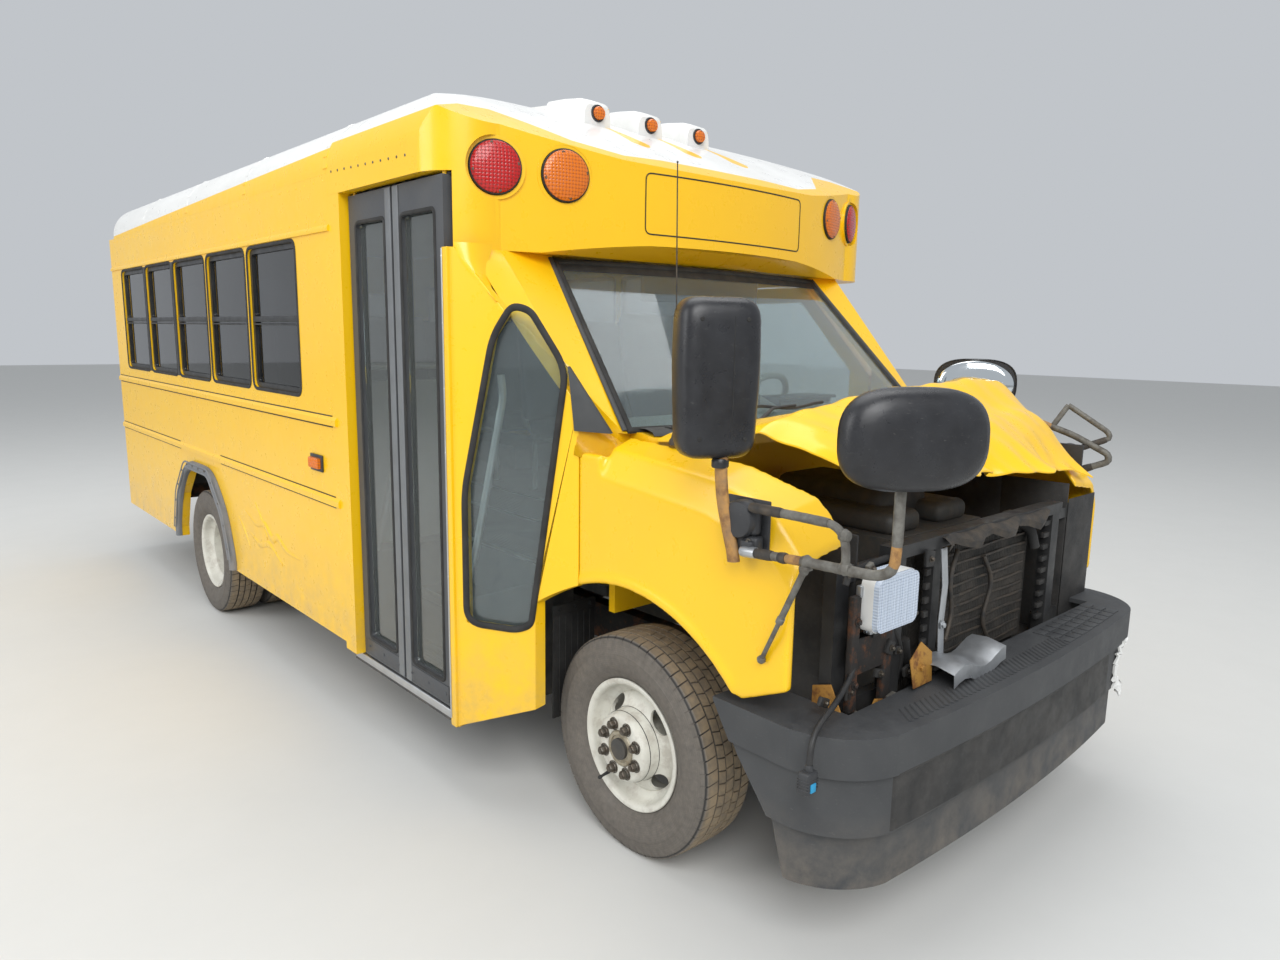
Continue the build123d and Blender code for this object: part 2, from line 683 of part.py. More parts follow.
def wall_section(side):
    """Side wall section with two pressed ribs, as (X, Z) points."""
    points = [(HALF_WIDTH - WALL, ROOF_EDGE_Z - FIT_GAP), (HALF_WIDTH - WALL, SKIRT_Z), (HALF_WIDTH, SKIRT_Z)]
    for z in RIB_ZS:
        points += [
            (HALF_WIDTH, z), (HALF_WIDTH + RIB, z + 3), (HALF_WIDTH + RIB, z + RIB_HEIGHT - 14),
            (HALF_WIDTH, z + RIB_HEIGHT),
        ]
    points.append((HALF_WIDTH, ROOF_EDGE_Z - FIT_GAP))
    return [(side * x, z) for x, z in points]


def arch_outline(grow):
    """Rear wheel opening as (Y, Z) points, grown outward by grow."""
    y = REAR_AXLE_Y
    corner = 95.0
    return [
        (y - ARCH_HALF_BOTTOM - grow, SKIRT_Z - 120), (y - ARCH_HALF_BOTTOM - grow, SKIRT_Z + 60),
        (y - ARCH_HALF_BOTTOM + corner - grow, ARCH_TOP_Z - 190 + grow / 2),
        (y - ARCH_HALF_TOP - grow / 3, ARCH_TOP_Z + grow), (y + ARCH_HALF_TOP + grow / 3, ARCH_TOP_Z + grow),
        (y + ARCH_HALF_BOTTOM - corner + grow, ARCH_TOP_Z - 190 + grow / 2),
        (y + ARCH_HALF_BOTTOM + grow, SKIRT_Z + 60), (y + ARCH_HALF_BOTTOM + grow, SKIRT_Z - 120),
    ]


def window_ys():
    """Front and rear edge of each side window."""
    return [
        (at(WINDOW_FRONT + WINDOW_PITCH * k), at(WINDOW_FRONT + WINDOW_PITCH * k) + WINDOW_WIDTH)
        for k in range(WINDOW_COUNT)
    ]


def side_wall(side):
    """Whole side wall with five window openings, wheel arch and ribs."""
    wall = front_prism(wall_section(side), WALL_FRONT_Y, REAR_Y)
    x0 = side * (HALF_WIDTH - WALL - 30)
    x1 = side * (HALF_WIDTH + 30)
    for y0, y1 in window_ys():
        wall = wall - window_hole(x0, x1, y0, y1, WINDOW_BOTTOM_Z, WINDOW_TOP_Z, WINDOW_R)
    wall = wall - side_prism(arch_outline(0), x0, x1)
    return one(wall, doorway_post()) if side < 0 else one(wall, stop_arm_bracket())


def sash_lights():
    """Low and high Z of the lower and the upper pane of a side window."""
    middle = (WINDOW_BOTTOM_Z + WINDOW_TOP_Z) / 2
    return ((WINDOW_BOTTOM_Z + SASH, middle - SASH / 2), (middle + SASH / 2, WINDOW_TOP_Z - SASH))


def sash(side, y0, y1):
    """Frame of one window with its middle rail."""
    gap = FIT_GAP
    x0 = side * (HALF_WIDTH - WALL + 4)
    x1 = side * (HALF_WIDTH - WALL + 4 + SASH_DEPTH)
    outer = window_hole(x0, x1, y0 + gap, y1 - gap, WINDOW_BOTTOM_Z + gap, WINDOW_TOP_Z - gap, WINDOW_R - gap)
    for z0, z1 in sash_lights():
        outer = outer - window_hole(x0 - side * 5, x1 + side * 5, y0 + SASH, y1 - SASH, z0, z1, 18)
    return outer


def side_sashes():
    return several([sash(side, y0, y1) for side in (1, -1) for y0, y1 in window_ys()])


def rear_wall():
    """Rear wall between the side walls with the emergency door opening and two windows."""
    half = HALF_WIDTH - WALL - FIT_GAP
    wall = block(-half, half, REAR_Y - WALL, REAR_Y, REAR_WALL_BOTTOM_Z, ROOF_EDGE_Z - FIT_GAP)
    y0 = REAR_Y - WALL - 20
    y1 = REAR_Y + 20
    wall = wall - rear_hole(-REAR_DOOR_HALF, REAR_DOOR_HALF, y0, y1, REAR_DOOR_BOTTOM_Z, REAR_DOOR_TOP_Z, 50)
    for side in (1, -1):
        x0, x1 = (side * x for x in REAR_WINDOW_X)
        wall = wall - rear_hole(x0, x1, y0, y1, WINDOW_BOTTOM_Z, REAR_WINDOW_TOP_Z, 60)
    holes = [
        Pos(PLATE_X + sx * PLATE_SPACING_X / 2, REAR_Y, PLATE_Z + sz * PLATE_SPACING_Z / 2)
        * Rot(90, 0, 0) * Cylinder(PLATE_HOLE_R, 2 * WALL + 20)
        for sx in (1, -1) for sz in (1, -1)
    ]
    for hole in holes:
        wall = wall - hole
    return one(wall, *[rear_hinge(z, -1) for z in REAR_HINGE_ZS])


def floor():
    """Floor plate with the wheel boxes and the entrance steps."""
    half = HALF_WIDTH - WALL - FIT_GAP
    plate = block(-half, half, WALL_FRONT_Y, REAR_Y - WALL - FIT_GAP, FLOOR_Z - FLOOR_T, FLOOR_Z)
    cab_half = CAB_HALF - LEFT_DOOR_T - 8
    cab = block(-cab_half, cab_half, at(MUD_FLAP) + FIT_GAP, WALL_FRONT_Y, FLOOR_Z - FLOOR_T, FLOOR_Z)
    plate = one(plate, cab)
    for side in (1, -1):
        x0 = side * WHEEL_BOX_X
        x1 = side * half
        y0 = REAR_AXLE_Y - WHEEL_BOX_HALF
        y1 = REAR_AXLE_Y + WHEEL_BOX_HALF
        low_z = FLOOR_Z - FLOOR_T
        top_z = FLOOR_Z + WHEEL_BOX_TOP
        cover = block(x0, x1, y0, y1, low_z, top_z)
        inside = block(x0 + side * 12, x1 + side * 5, y0 + 12, y1 - 12, low_z - 5, top_z - 12)
        plate = (plate + cover) - inside
    plate = plate - block(-half - 10, -STEP_INNER_X, at(DOOR_FRONT) - 400, WALL_FRONT_Y + 1, 0, FLOOR_Z + 10)
    return one(plate, stepwell())


def stepwell():
    """Entrance steps: a pressed well with two treads under the doorway, and the edge strip."""
    y0 = at(DOOR_FRONT) + 8
    y1 = WALL_FRONT_Y - FIT_GAP
    x_in = -STEP_INNER_X
    x_out = -(DOOR_OUTER_X - LEAF_T - 16)
    x_mid = -(STEP_INNER_X + 250)
    t = 20.0
    profile = [
        (x_out - 50, STEP_ZS[0] - 65), (x_mid + t, STEP_ZS[0] - 65), (x_mid + t, STEP_ZS[1] - t),
        (x_in, STEP_ZS[1] - t), (x_in, FLOOR_Z), (x_in - t, FLOOR_Z), (x_in - t, STEP_ZS[1]),
        (x_mid, STEP_ZS[1]), (x_mid, STEP_ZS[0] - 20), (x_out - 50, STEP_ZS[0] - 20),
    ]
    well = front_prism(profile, y0, y1)
    cheeks = [
        block(x_out, x_in, y, y + 12, STEP_ZS[0] - 65, FLOOR_Z) for y in (y0, y1 - 12)
    ]
    pins = entrance_pins(STEP_ZS[0] - 21, DOOR_BOTTOM_Z + ENTRANCE_PIN_DEPTH, ENTRANCE_PIN_R)
    return one(well, *cheeks, *pins)


def doorway_post():
    """Right wall's front return at the doorway, from the header down past the skirt."""
    return block(
        -HALF_WIDTH, -HALF_WIDTH + 70, at(DOOR_REAR), WALL_FRONT_Y, SKIRT_Z - 30, DOOR_TOP_Z - FIT_GAP
    )


# Slanted panel
def on_panel(distance, z):
    """Point of the panel plane at a distance from the front axle and a height."""
    return ((PANEL_REAR - distance) * PANEL_LENGTH / (PANEL_REAR - FENDER_REAR), z)


def panel_inner_x(distance):
    """X of the panel's inner face at a distance from the front axle."""
    run = PANEL_REAR - FENDER_REAR
    outer = PANEL_FRONT_X + (PANEL_REAR_X - PANEL_FRONT_X) * (distance - FENDER_REAR) / run
    return outer + PANEL_T * PANEL_LENGTH / run


def panel_slab(points, outside, inside):
    """Outline of (distance, Z) points on the panel plane, carried inward from outside to inside."""
    face = PANEL_PLANE * Pos(0, 0, outside) * ring([on_panel(*point) for point in points])
    return extrude(face, amount=outside + inside, dir=PANEL_INWARD)


def cab_panel_right():
    """Slanted panel from the doorway to the van's pillar, with the tear-drop window."""
    screen_lean = (SCREEN_TOP_Y - COWL_Y) / (SCREEN_TOP_Z - COWL_Z)
    top_z = CAP_BOTTOM_Z - FIT_GAP
    top_front = min(COWL_Y + 30 + (top_z - COWL_Z) * screen_lean, PANEL_REAR - 20)
    kink_z = COWL_Z + (FENDER_REAR - COWL_Y - 30) / screen_lean
    outline = [
        (PANEL_REAR, 300), (PANEL_REAR, top_z), (top_front, top_z), (FENDER_REAR, kink_z), (FENDER_REAR, 480),
    ]
    plate = panel_slab(outline, 0, PANEL_T)
    post = block(PANEL_REAR_X - 10, PANEL_REAR_X + 70, at(DOOR_FRONT) - 36, at(DOOR_FRONT), 300, top_z)
    plate = one(plate, post) - panel_slab(tear_drop(0), 30, PANEL_T + 90)
    return plate - front_arch(PANEL_REAR_X - 104, PANEL_FRONT_X + 376)


def tear_drop(inset):
    """Tall window as (distance, Z) points: upright rear edge, peak at the top, slanted front."""
    low_z = 700.0 + inset
    return [
        (PANEL_REAR - 42 - inset, low_z), (PANEL_REAR - 42 - inset, 1170), (PANEL_REAR - 147 - inset, 1700),
        (405, 1800 - inset), (345, 1785 - inset), (FENDER_REAR + 42 + inset, 1600 - inset),
        (FENDER_REAR + 158 + inset, low_z + 25), (FENDER_REAR + 210 + inset, low_z),
    ]


def pillar_inner(z):
    """Distance of a pillar's inner face from the middle at a height."""
    share = (z - COWL_Z) / (CAP_BOTTOM_Z - FIT_GAP - COWL_Z)
    return SCREEN_BASE_HALF + (SCREEN_TOP_HALF - SCREEN_BASE_HALF) * share


def pillar(side):
    """Windshield pillar, wide at the cap, between two five-sided sections."""
    base = SCREEN_BASE_HALF
    top = SCREEN_TOP_HALF
    edge = FENDER_REAR - 2
    low = [
        (-base, COWL_Y + 1), (30 - CAB_HALF, COWL_Y + 23), (4 - CAB_HALF, edge), (50 - CAB_HALF, edge),
        (-base, COWL_Y + 73),
    ]
    front = SCREEN_TOP_Y + 11
    if side < 0:
        wide = HALF_WIDTH - 98
        high = [
            (-top, front), (112 - wide, front - 51), (-wide, front - 34), (-wide, front - 6),
            (-top, front + 54),
        ]
    else:
        high = [
            (-top, front), (50 - CAB_HALF, front - 36), (4 - CAB_HALF, front + 44),
            (40 - CAB_HALF, front + 54), (-top, front + 54),
        ]
    sections = []
    for points, z in ((low, COWL_Z), (high, CAP_BOTTOM_Z - FIT_GAP)):
        sections.append(Pos(0, 0, z) * ring([(x, at(y)) for x, y in points]))
    body = loft(sections, ruled=True)
    return body if side < 0 else mirrored(body)


def windshield_frame():
    """Pillars, cowl panel and the dash bulkhead under the glass."""
    cowl = side_prism(
        [(at(COWL_FRONT), COWL_Z - 10), (at(COWL_FRONT), COWL_Z - 60),
         (at(COWL_Y) + 146, COWL_Z - 60), (at(COWL_Y) + 146, COWL_Z - 10), (at(COWL_Y) + 60, COWL_Z + 2),
         (at(COWL_Y) - 20, COWL_Z + 2)],
        -HOOD_SEAM_REAR_X + 16, HOOD_SEAM_REAR_X - 16,
    )
    bulkhead_half = HOOD_SEAM_REAR_X - 30
    bulkhead = block(-bulkhead_half, bulkhead_half, at(COWL_Y) + 110, at(COWL_Y) + 140, FLOOR_Z, COWL_Z - 55)
    feet = [
        block(
            side * (SCREEN_BASE_HALF - 40), side * (CAB_HALF - 50), at(COWL_Y) + 25, at(FENDER_REAR) - 2,
            COWL_Z - 60, COWL_Z + 1,
        )
        for side in (1, -1)
    ]
    frame = one(cowl, bulkhead, pillar(1), pillar(-1), sail_panel_left(), *feet)
    low_z = COWL_Z - 200
    high_z = CAP_BOTTOM_Z + 50
    beside_panel = [(-300.0, low_z), (-300.0, high_z), (900.0, high_z), (900.0, low_z)]
    return frame - panel_slab(beside_panel, 400, PANEL_T + FIT_GAP)


def windshield():
    """Curved laminated glass leaning back between the pillars."""
    sections = []
    for y, z in ((COWL_Y + 6, COWL_Z + 3.5), (SCREEN_TOP_Y, SCREEN_TOP_Z)):
        half = pillar_inner(z) - FIT_GAP
        y0 = at(y)
        y1 = y0 + SCREEN_GLASS
        front = ThreePointArc((-half, y0), (0, y0 - SCREEN_BOW), (half, y0))
        back = ThreePointArc((half, y1), (0, y1 - SCREEN_BOW), (-half, y1))
        outline = Curve() + [front, Line((half, y0), (half, y1)), back, Line((-half, y1), (-half, y0))]
        sections.append(Pos(0, 0, z) * make_face(outline))
    return loft(sections, ruled=True)


def fender_section(y, top_z, seam_x):
    """Closed thin section of a fender at one station, left side."""
    t = CAB_SHEET
    outer = [
        (CAB_HALF, 420), (CAB_HALF, top_z - 120), (CAB_HALF - 45, top_z - 32), (seam_x, top_z),
    ]
    inner = [
        (seam_x, top_z - t), (CAB_HALF - 45 - t * 0.8, top_z - 32 - t * 0.8), (CAB_HALF - t, top_z - 126),
        (CAB_HALF - t, 420),
    ]
    plane = Plane(origin=(0, y, 0), x_dir=(1, 0, 0), z_dir=(0, -1, 0))
    return plane * ring(outer + inner)


def front_arch(x0, x1):
    """Space of the front wheel arch between two X planes."""
    round_top = arch_disc((x0 + x1) / 2, FRONT_ARCH_R, abs(x1 - x0))
    return round_top & block(x0, x1, at(-640), at(FRONT_ARCH_REAR), 0, 1200)


def arch_disc(x, radius, width):
    """Disc across the bus on the front wheel arch's centre."""
    return Pos(x, at(ARCH_CENTRE), ARCH_CENTRE_Z) * Rot(0, 90, 0) * Cylinder(radius, width)


def fender(side):
    """Front fender with its wheel arch."""
    sections = []
    for place, top_z in FENDER_TOPS:
        share = (place - FENDER_FRONT) / (COWL_Y - FENDER_FRONT)
        seam_x = HOOD_SEAM_FRONT_X + (HOOD_SEAM_REAR_X + 4 - HOOD_SEAM_FRONT_X) * share
        sections.append(fender_section(at(place), top_z, seam_x))
    shell = loft(sections, ruled=True)
    rear_end = LEFT_DOOR_FRONT - LEFT_DOOR_GAP if side > 0 else FENDER_REAR - FIT_GAP
    rear = block(CAB_HALF - CAB_SHEET, CAB_HALF, at(COWL_Y) - 1, at(rear_end), 480, COWL_Z - 61 - FIT_GAP)
    lip = arch_disc(CAB_HALF - 4, FRONT_ARCH_R + 26, 24) - arch_disc(CAB_HALF, FRONT_ARCH_R - 1, 100)
    lip = lip & block(CAB_HALF - 40, CAB_HALF + 40, at(-500), at(FENDER_REAR) - 2, 500, 1000)
    below = side_prism(
        [(at(FENDER_FRONT) - 10, 300), (at(FENDER_FRONT) - 10, 806), (at(-534), 731), (at(-505), 736),
         (at(-505), 300)],
        CAB_HALF - 200, CAB_HALF + 100,
    )
    body = one(shell, rear, lip) - front_arch(CAB_HALF - 200, CAB_HALF + 100) - below
    body = body.solids().sort_by(SortBy.VOLUME)[-1]
    if side < 0:
        return mirrored(body)
    return one(body, *[left_hinge_parts(z, 0) for z in LEFT_HINGE_ZS])


def hood():
    """Hood buckled in the middle and pushed up at its front left corner."""
    # distance, left and right edge in from the cab's side, left Z, right Z, crown
    stations = (
        (COWL_FRONT - FIT_GAP, 150.0, 150.0, COWL_Z + 5, COWL_Z + 3, 30.0),
        (-190.0, 140.0, 220.0, COWL_Z + 71, COWL_Z + 11, 40.0),
        (-330.0, 130.0, 280.0, COWL_Z + 146, COWL_Z + 41, 46.0),
        (-480.0, 140.0, 340.0, COWL_Z + 21, COWL_Z + 1, 40.0),
        (-700.0, 180.0, 540.0, COWL_Z - 159, COWL_Z - 89, 26.0),
    )
    t = 24.0
    sections = []
    for y, left_inset, right_inset, left_z, right_z, crown in stations:
        left = CAB_HALF - left_inset
        right = right_inset - CAB_HALF
        third = (left - right) / 3
        top = [
            (right, right_z), (right + third, (2 * right_z + left_z) / 3 + crown),
            (right + 2 * third, (right_z + 2 * left_z) / 3 + crown), (left, left_z),
        ]
        points = top + [(x, z - t) for x, z in reversed(top)]
        plane = Plane(origin=(0, at(y), 0), x_dir=(1, 0, 0), z_dir=(0, -1, 0))
        sections.append(plane * ring(points))
    return loft(sections, ruled=True)


# Front cap
def cap_prisms(inset, base_z, rear_extra):
    """Rounded cap body as the common part of a plan, a side and a front outline."""
    nose_y = at(SIGN_Y) - 22 + inset
    corner_x = HALF_WIDTH - CAP_CORNER
    corner_y = at(600.0) + inset
    half = HALF_WIDTH - inset
    side_y = at(800.0) + inset
    rear_y = WALL_FRONT_Y - FIT_GAP + rear_extra
    with BuildSketch() as plan:
        with BuildLine():
            ThreePointArc((corner_x, corner_y), (0, nose_y), (-corner_x, corner_y))
            ThreePointArc((-corner_x, corner_y), (-half + 44, corner_y + 62), (-half, side_y))
            Polyline((-half, side_y), (-half, rear_y), (half, rear_y), (half, side_y))
            ThreePointArc((half, side_y), (half - 44, corner_y + 62), (corner_x, corner_y))
        make_face()
    plan_solid = extrude(Pos(0, 0, base_z) * plan.sketch, amount=1000, dir=(0, 0, 1))
    front = nose_y - 10
    slope = (at(SIGN_Y + 30) + inset * 0.6, SIGN_TOP_Z + 16 - inset)
    crest_y = at(CAP_CREST)
    crest_z = ROOF_TOP_Z - inset
    reach = HALF_WIDTH + 280
    profile = Plane(origin=(-reach, 0, 0), x_dir=(0, 1, 0), z_dir=(1, 0, 0)) * make_face(
        Curve() + [
            Polyline((front, base_z), (front, SIGN_TOP_Z - inset * 0.4), slope),
            ThreePointArc(slope, (at(960.0), ROOF_TOP_Z - 130 - inset), (crest_y, crest_z)),
            Polyline((crest_y, crest_z), (rear_y, crest_z), (rear_y, base_z), (front, base_z)),
        ]
    )
    side_solid = extrude(profile, amount=2 * reach, dir=(1, 0, 0))
    crown = crown_body(inset, base_z, front - 20, rear_y)
    return plan_solid & side_solid & crown


def lamp_seat(side, index):
    """Centre of a front warning lamp and the direction it faces, a little outward."""
    inset, distance, z = LAMP_PLACES[index]
    turn = math.radians((22, 14)[index])
    centre = Vector(side * (HALF_WIDTH - inset), at(distance), z)
    return centre, Vector(side * math.sin(turn), -math.cos(turn), 0)


def front_cap():
    """Moulded cap: sign panel, lamp pockets, brow over the windshield, lamp humps on top."""
    outer = cap_prisms(0, CAP_BOTTOM_Z, 0)
    inner = cap_prisms(CAP_WALL, CAP_BOTTOM_Z + 40, 20)
    low_z = CAP_BOTTOM_Z - 10
    rear_y = WALL_FRONT_Y + 10
    opening = block(30 - CAB_HALF, CAB_HALF - 30, at(SCREEN_TOP_Y) + 70, rear_y, low_z, CAP_BOTTOM_Z + 60)
    doorway = block(-HALF_WIDTH - 50, 40 - CAB_HALF, at(DOOR_FRONT), rear_y, low_z, DOOR_TOP_Z)
    brow = side_prism(
        [(at(SIGN_Y) - 80, CAP_BOTTOM_Z - 20), (at(SIGN_Y) - 80, SIGN_BOTTOM_Z - 10),
         (at(SIGN_Y) + 10, SIGN_BOTTOM_Z - 26), (at(SCREEN_TOP_Y) - 30, CAP_BOTTOM_Z - 20)],
        -HALF_WIDTH - 10, HALF_WIDTH + 10,
    )
    cap = outer - inner - opening - doorway - brow
    for side in (1, -1):
        for index in range(len(LAMP_PLACES)):
            centre, axis = lamp_seat(side, index)
            plane = Plane(origin=centre + axis * 60, z_dir=axis * -1)
            cap = cap - extrude(plane * Circle(LAMP_R + 14), amount=60 + LAMP_DEPTH)
            bezel = Plane(origin=centre + axis * 14, z_dir=axis * -1)
            cup = extrude(bezel * Circle(LAMP_R + 16), amount=LAMP_DEPTH + 26) - extrude(
                bezel * Circle(LAMP_R + 3), amount=LAMP_DEPTH + 14
            )
            cap = cap + cup
    for x in ROOF_LAMP_XS:
        hump = side_prism(
            [(at(ROOF_LAMP_FACE), ROOF_TOP_Z - 160), (at(ROOF_LAMP_FACE), ROOF_LAMP_Z + 30),
             (at(ROOF_LAMP_FACE) + 64, ROOF_LAMP_Z + 48), (at(CAP_CREST), ROOF_TOP_Z - 4),
             (at(CAP_CREST), ROOF_TOP_Z - 100)], x - HUMP_HALF, x + HUMP_HALF
        )
        cap = cap + hump
    cap = cap - cap_prisms(CAP_WALL, CAP_BOTTOM_Z + 40, 20)
    pins = entrance_pins(DOOR_TOP_Z - LEAF_GAP - ENTRANCE_PIN_DEPTH, DOOR_TOP_Z + 1, ENTRANCE_PIN_R)
    return one(cap.solids().sort_by(SortBy.VOLUME)[-1], *pins)


def warning_lamps(index):
    """Round warning lamps seated in their pockets, front and rear."""
    lamps = []
    for side in (1, -1):
        centre, axis = lamp_seat(side, index)
        plane = Plane(origin=centre + axis * 20, z_dir=axis * -1)
        lamps.append(extrude(plane * Circle(LAMP_R), amount=LAMP_DEPTH + 20 - FIT_GAP))
        lamps.append(rear_lamp(side * (HALF_WIDTH - REAR_LAMP_INSETS[index]), EAVE_Z - 100, LAMP_R, 34))
    return lamps


def rear_lamp(x, z, radius, depth):
    """Round lamp on the rear wall."""
    return extrude(Plane(origin=(x, REAR_Y + FIT_GAP, z), z_dir=(0, 1, 0)) * Circle(radius), amount=depth)


def lamps_red():
    """Red warning lamps and the tail lamps on the rear wall."""
    x = HALF_WIDTH - REAR_LAMP_INSETS[2]
    tail = [rear_lamp(side * x, TAIL_LAMP_Z, LAMP_R, 30) for side in (1, -1)]
    return several(warning_lamps(0) + tail)


def lamps_amber():
    """Amber warning lamps, turn lamps, roof identification lamps and side markers."""
    lamp_x = HALF_WIDTH - REAR_LAMP_INSETS[2]
    turn = [rear_lamp(side * lamp_x, TURN_LAMP_Z, LAMP_R - 10, 30) for side in (1, -1)]
    face = at(ROOF_LAMP_FACE)
    roof_lamps = [
        rod((x, face - FIT_GAP, ROOF_LAMP_Z), (x, face - 24, ROOF_LAMP_Z), ROOF_LAMP_R) for x in ROOF_LAMP_XS
    ]
    markers = [
        block(side * (HALF_WIDTH + FIT_GAP), side * (HALF_WIDTH + 22), at(1690), at(1790), 1112, 1158)
        for side in (1, -1)
    ]
    return several(warning_lamps(1) + turn + roof_lamps + markers)


# Left cab side
def cab_side_left():
    """Van side behind and under the driver's door, flaring out to the bus wall."""
    t = 40.0
    front = at(LEFT_DOOR_REAR) + 8
    rear = WALL_FRONT_Y - FIT_GAP
    flare = plan_prism(
        [(CAB_HALF, front), (HALF_WIDTH, WALL_FRONT_Y - 60), (HALF_WIDTH, rear), (HALF_WIDTH - t, rear),
         (HALF_WIDTH - t, WALL_FRONT_Y - 40), (CAB_HALF - t, front + 26), (CAB_HALF - t, front)],
        SKIRT_Z, CAP_BOTTOM_Z - FIT_GAP,
    )
    sill = block(
        CAB_HALF - LEFT_DOOR_T, CAB_HALF, at(LEFT_DOOR_FRONT) + 10, at(LEFT_DOOR_REAR) + 10, SKIRT_Z,
        LEFT_DOOR_BOTTOM_Z - 8,
    )
    header = block(
        CAB_HALF - LEFT_DOOR_T + 10, CAB_HALF - 4, at(702), at(LEFT_DOOR_REAR) + 10, LEFT_DOOR_TOP_Z + 8,
        CAP_BOTTOM_Z - FIT_GAP,
    )
    return one(flare, sill, header)


def sail_panel_left():
    """Fixed corner between the left pillar, the fender and the driver's door."""
    lean = (SCREEN_TOP_Y - COWL_Y) / (SCREEN_TOP_Z - COWL_Z)
    y0 = at(FENDER_REAR)
    y1 = at(LEFT_DOOR_FRONT) - LEFT_DOOR_GAP
    rise = (y1 - y0) / lean
    return side_prism(
        [(y0, COWL_Z - 61), (y0, COWL_Z + 80), (y1, COWL_Z + 80 + rise), (y1, COWL_Z - 61)],
        CAB_HALF - CAB_SHEET - 30, CAB_HALF - 4,
    )


def left_door_outline(inset):
    """Driver's door in (Y, Z): the front edge leans back with the windshield pillar."""
    lean = (SCREEN_TOP_Y - COWL_Y) / (SCREEN_TOP_Z - COWL_Z)
    y0 = at(LEFT_DOOR_FRONT) + inset
    y1 = at(LEFT_DOOR_REAR) - inset
    kink_z = COWL_Z + 130
    z1 = LEFT_DOOR_TOP_Z - inset
    return [
        (y0, LEFT_DOOR_BOTTOM_Z + inset), (y0, kink_z), (y0 + (z1 - kink_z) * lean, z1), (y1, z1),
        (y1, LEFT_DOOR_BOTTOM_Z + inset),
    ]


def left_window_outline(inset):
    lean = (SCREEN_TOP_Y - COWL_Y) / (SCREEN_TOP_Z - COWL_Z)
    z0 = COWL_Z - 20 + inset
    z1 = LEFT_DOOR_TOP_Z - 75 - inset
    y0 = at(LEFT_DOOR_FRONT) + 110 + inset
    y1 = at(LEFT_DOOR_REAR) - 90 - inset
    kink_z = COWL_Z + 150
    return [(y0, z0), (y0, kink_z), (y0 + (z1 - kink_z) * lean, z1), (y1, z1), (y1, z0)]


def left_hinge_parts(z, grow):
    """Lug and pin of one door hinge; with grow, the room that they need in the door."""
    x = CAB_HALF - LEFT_HINGE_INSET
    y = at(LEFT_DOOR_FRONT + LEFT_HINGE_INSET)
    reach = LEFT_DOOR_GAP + LEFT_HINGE_INSET + 2
    outer = x + (40 if grow else 8)
    lug = one(
        block(x - 8 - grow, outer, y - reach - grow, y, z - 12 - grow, z + 12 + grow),
        Pos(x, y, z) * Cylinder(8 + grow, 24 + 2 * grow),
    )
    pin = Pos(x, y, z) * Cylinder(LEFT_PIN_R + (RUNNING_FIT if grow else 0), 60 + 2 * grow)
    return one(lug, pin)


def driver_door():
    """Van door with its window opening and handle."""
    x0 = CAB_HALF - LEFT_DOOR_T
    panel = side_prism(left_door_outline(0), x0, CAB_HALF)
    panel = panel - side_prism(left_window_outline(0), x0 - 10, CAB_HALF + 10)
    for z in LEFT_HINGE_ZS:
        panel = panel - left_hinge_parts(z, 3)
    handle = block(CAB_HALF, CAB_HALF + 24, at(LEFT_DOOR_REAR) - 190, at(LEFT_DOOR_REAR) - 60, 1180, 1215)
    return one(panel, handle)


def driver_door_glass():
    x = CAB_HALF - LEFT_DOOR_T / 2
    return side_prism(left_window_outline(FIT_GAP), x - PANE / 2, x + PANE / 2)


# Entrance door
def entrance_axis(name):
    """X and Y of a leaf's upright hinge line."""
    front_edge, rear_edge = LEAVES[name]
    distance = front_edge + HINGE_INSET if name == "front" else rear_edge - HINGE_INSET
    return (-DOOR_OUTER_X + HINGE_INSET, at(distance))


def entrance_pins(z0, z1, radius):
    """Upright pins, or their bores, on both leaves' hinge lines."""
    axes = [entrance_axis(name) for name in LEAVES]
    return [Pos(x, y, (z0 + z1) / 2) * Cylinder(radius, z1 - z0) for x, y in axes]


def entrance_leaf(name):
    """Leaf frame with stiles, rails and one tall glazed opening."""
    y0, y1 = (at(edge) for edge in LEAVES[name])
    x0 = -DOOR_OUTER_X
    x1 = -(DOOR_OUTER_X - LEAF_T)
    top_z = DOOR_TOP_Z - LEAF_GAP
    frame = block(x0, x1, y0, y1, DOOR_BOTTOM_Z, top_z)
    frame = frame - window_hole(
        x0 - 10, x1 + 10, y0 + LEAF_STILE, y1 - LEAF_STILE, DOOR_BOTTOM_Z + 90, DOOR_TOP_Z - 120, 20
    )
    bore_r = ENTRANCE_PIN_R + RUNNING_FIT
    depth = ENTRANCE_PIN_DEPTH + 2
    for z0, z1 in ((top_z - depth, top_z + 1), (DOOR_BOTTOM_Z - 1, DOOR_BOTTOM_Z + depth)):
        for bore in entrance_pins(z0, z1, bore_r):
            frame = frame - bore
    return frame


def entrance_glass(name):
    y0, y1 = (at(edge) for edge in LEAVES[name])
    x = -(DOOR_OUTER_X - LEAF_T / 2)
    inset = LEAF_STILE + FIT_GAP
    return window_hole(
        x - PANE / 2, x + PANE / 2, y0 + inset, y1 - inset, DOOR_BOTTOM_Z + 90 + FIT_GAP,
        DOOR_TOP_Z - 120 - FIT_GAP, 20 - FIT_GAP,
    )


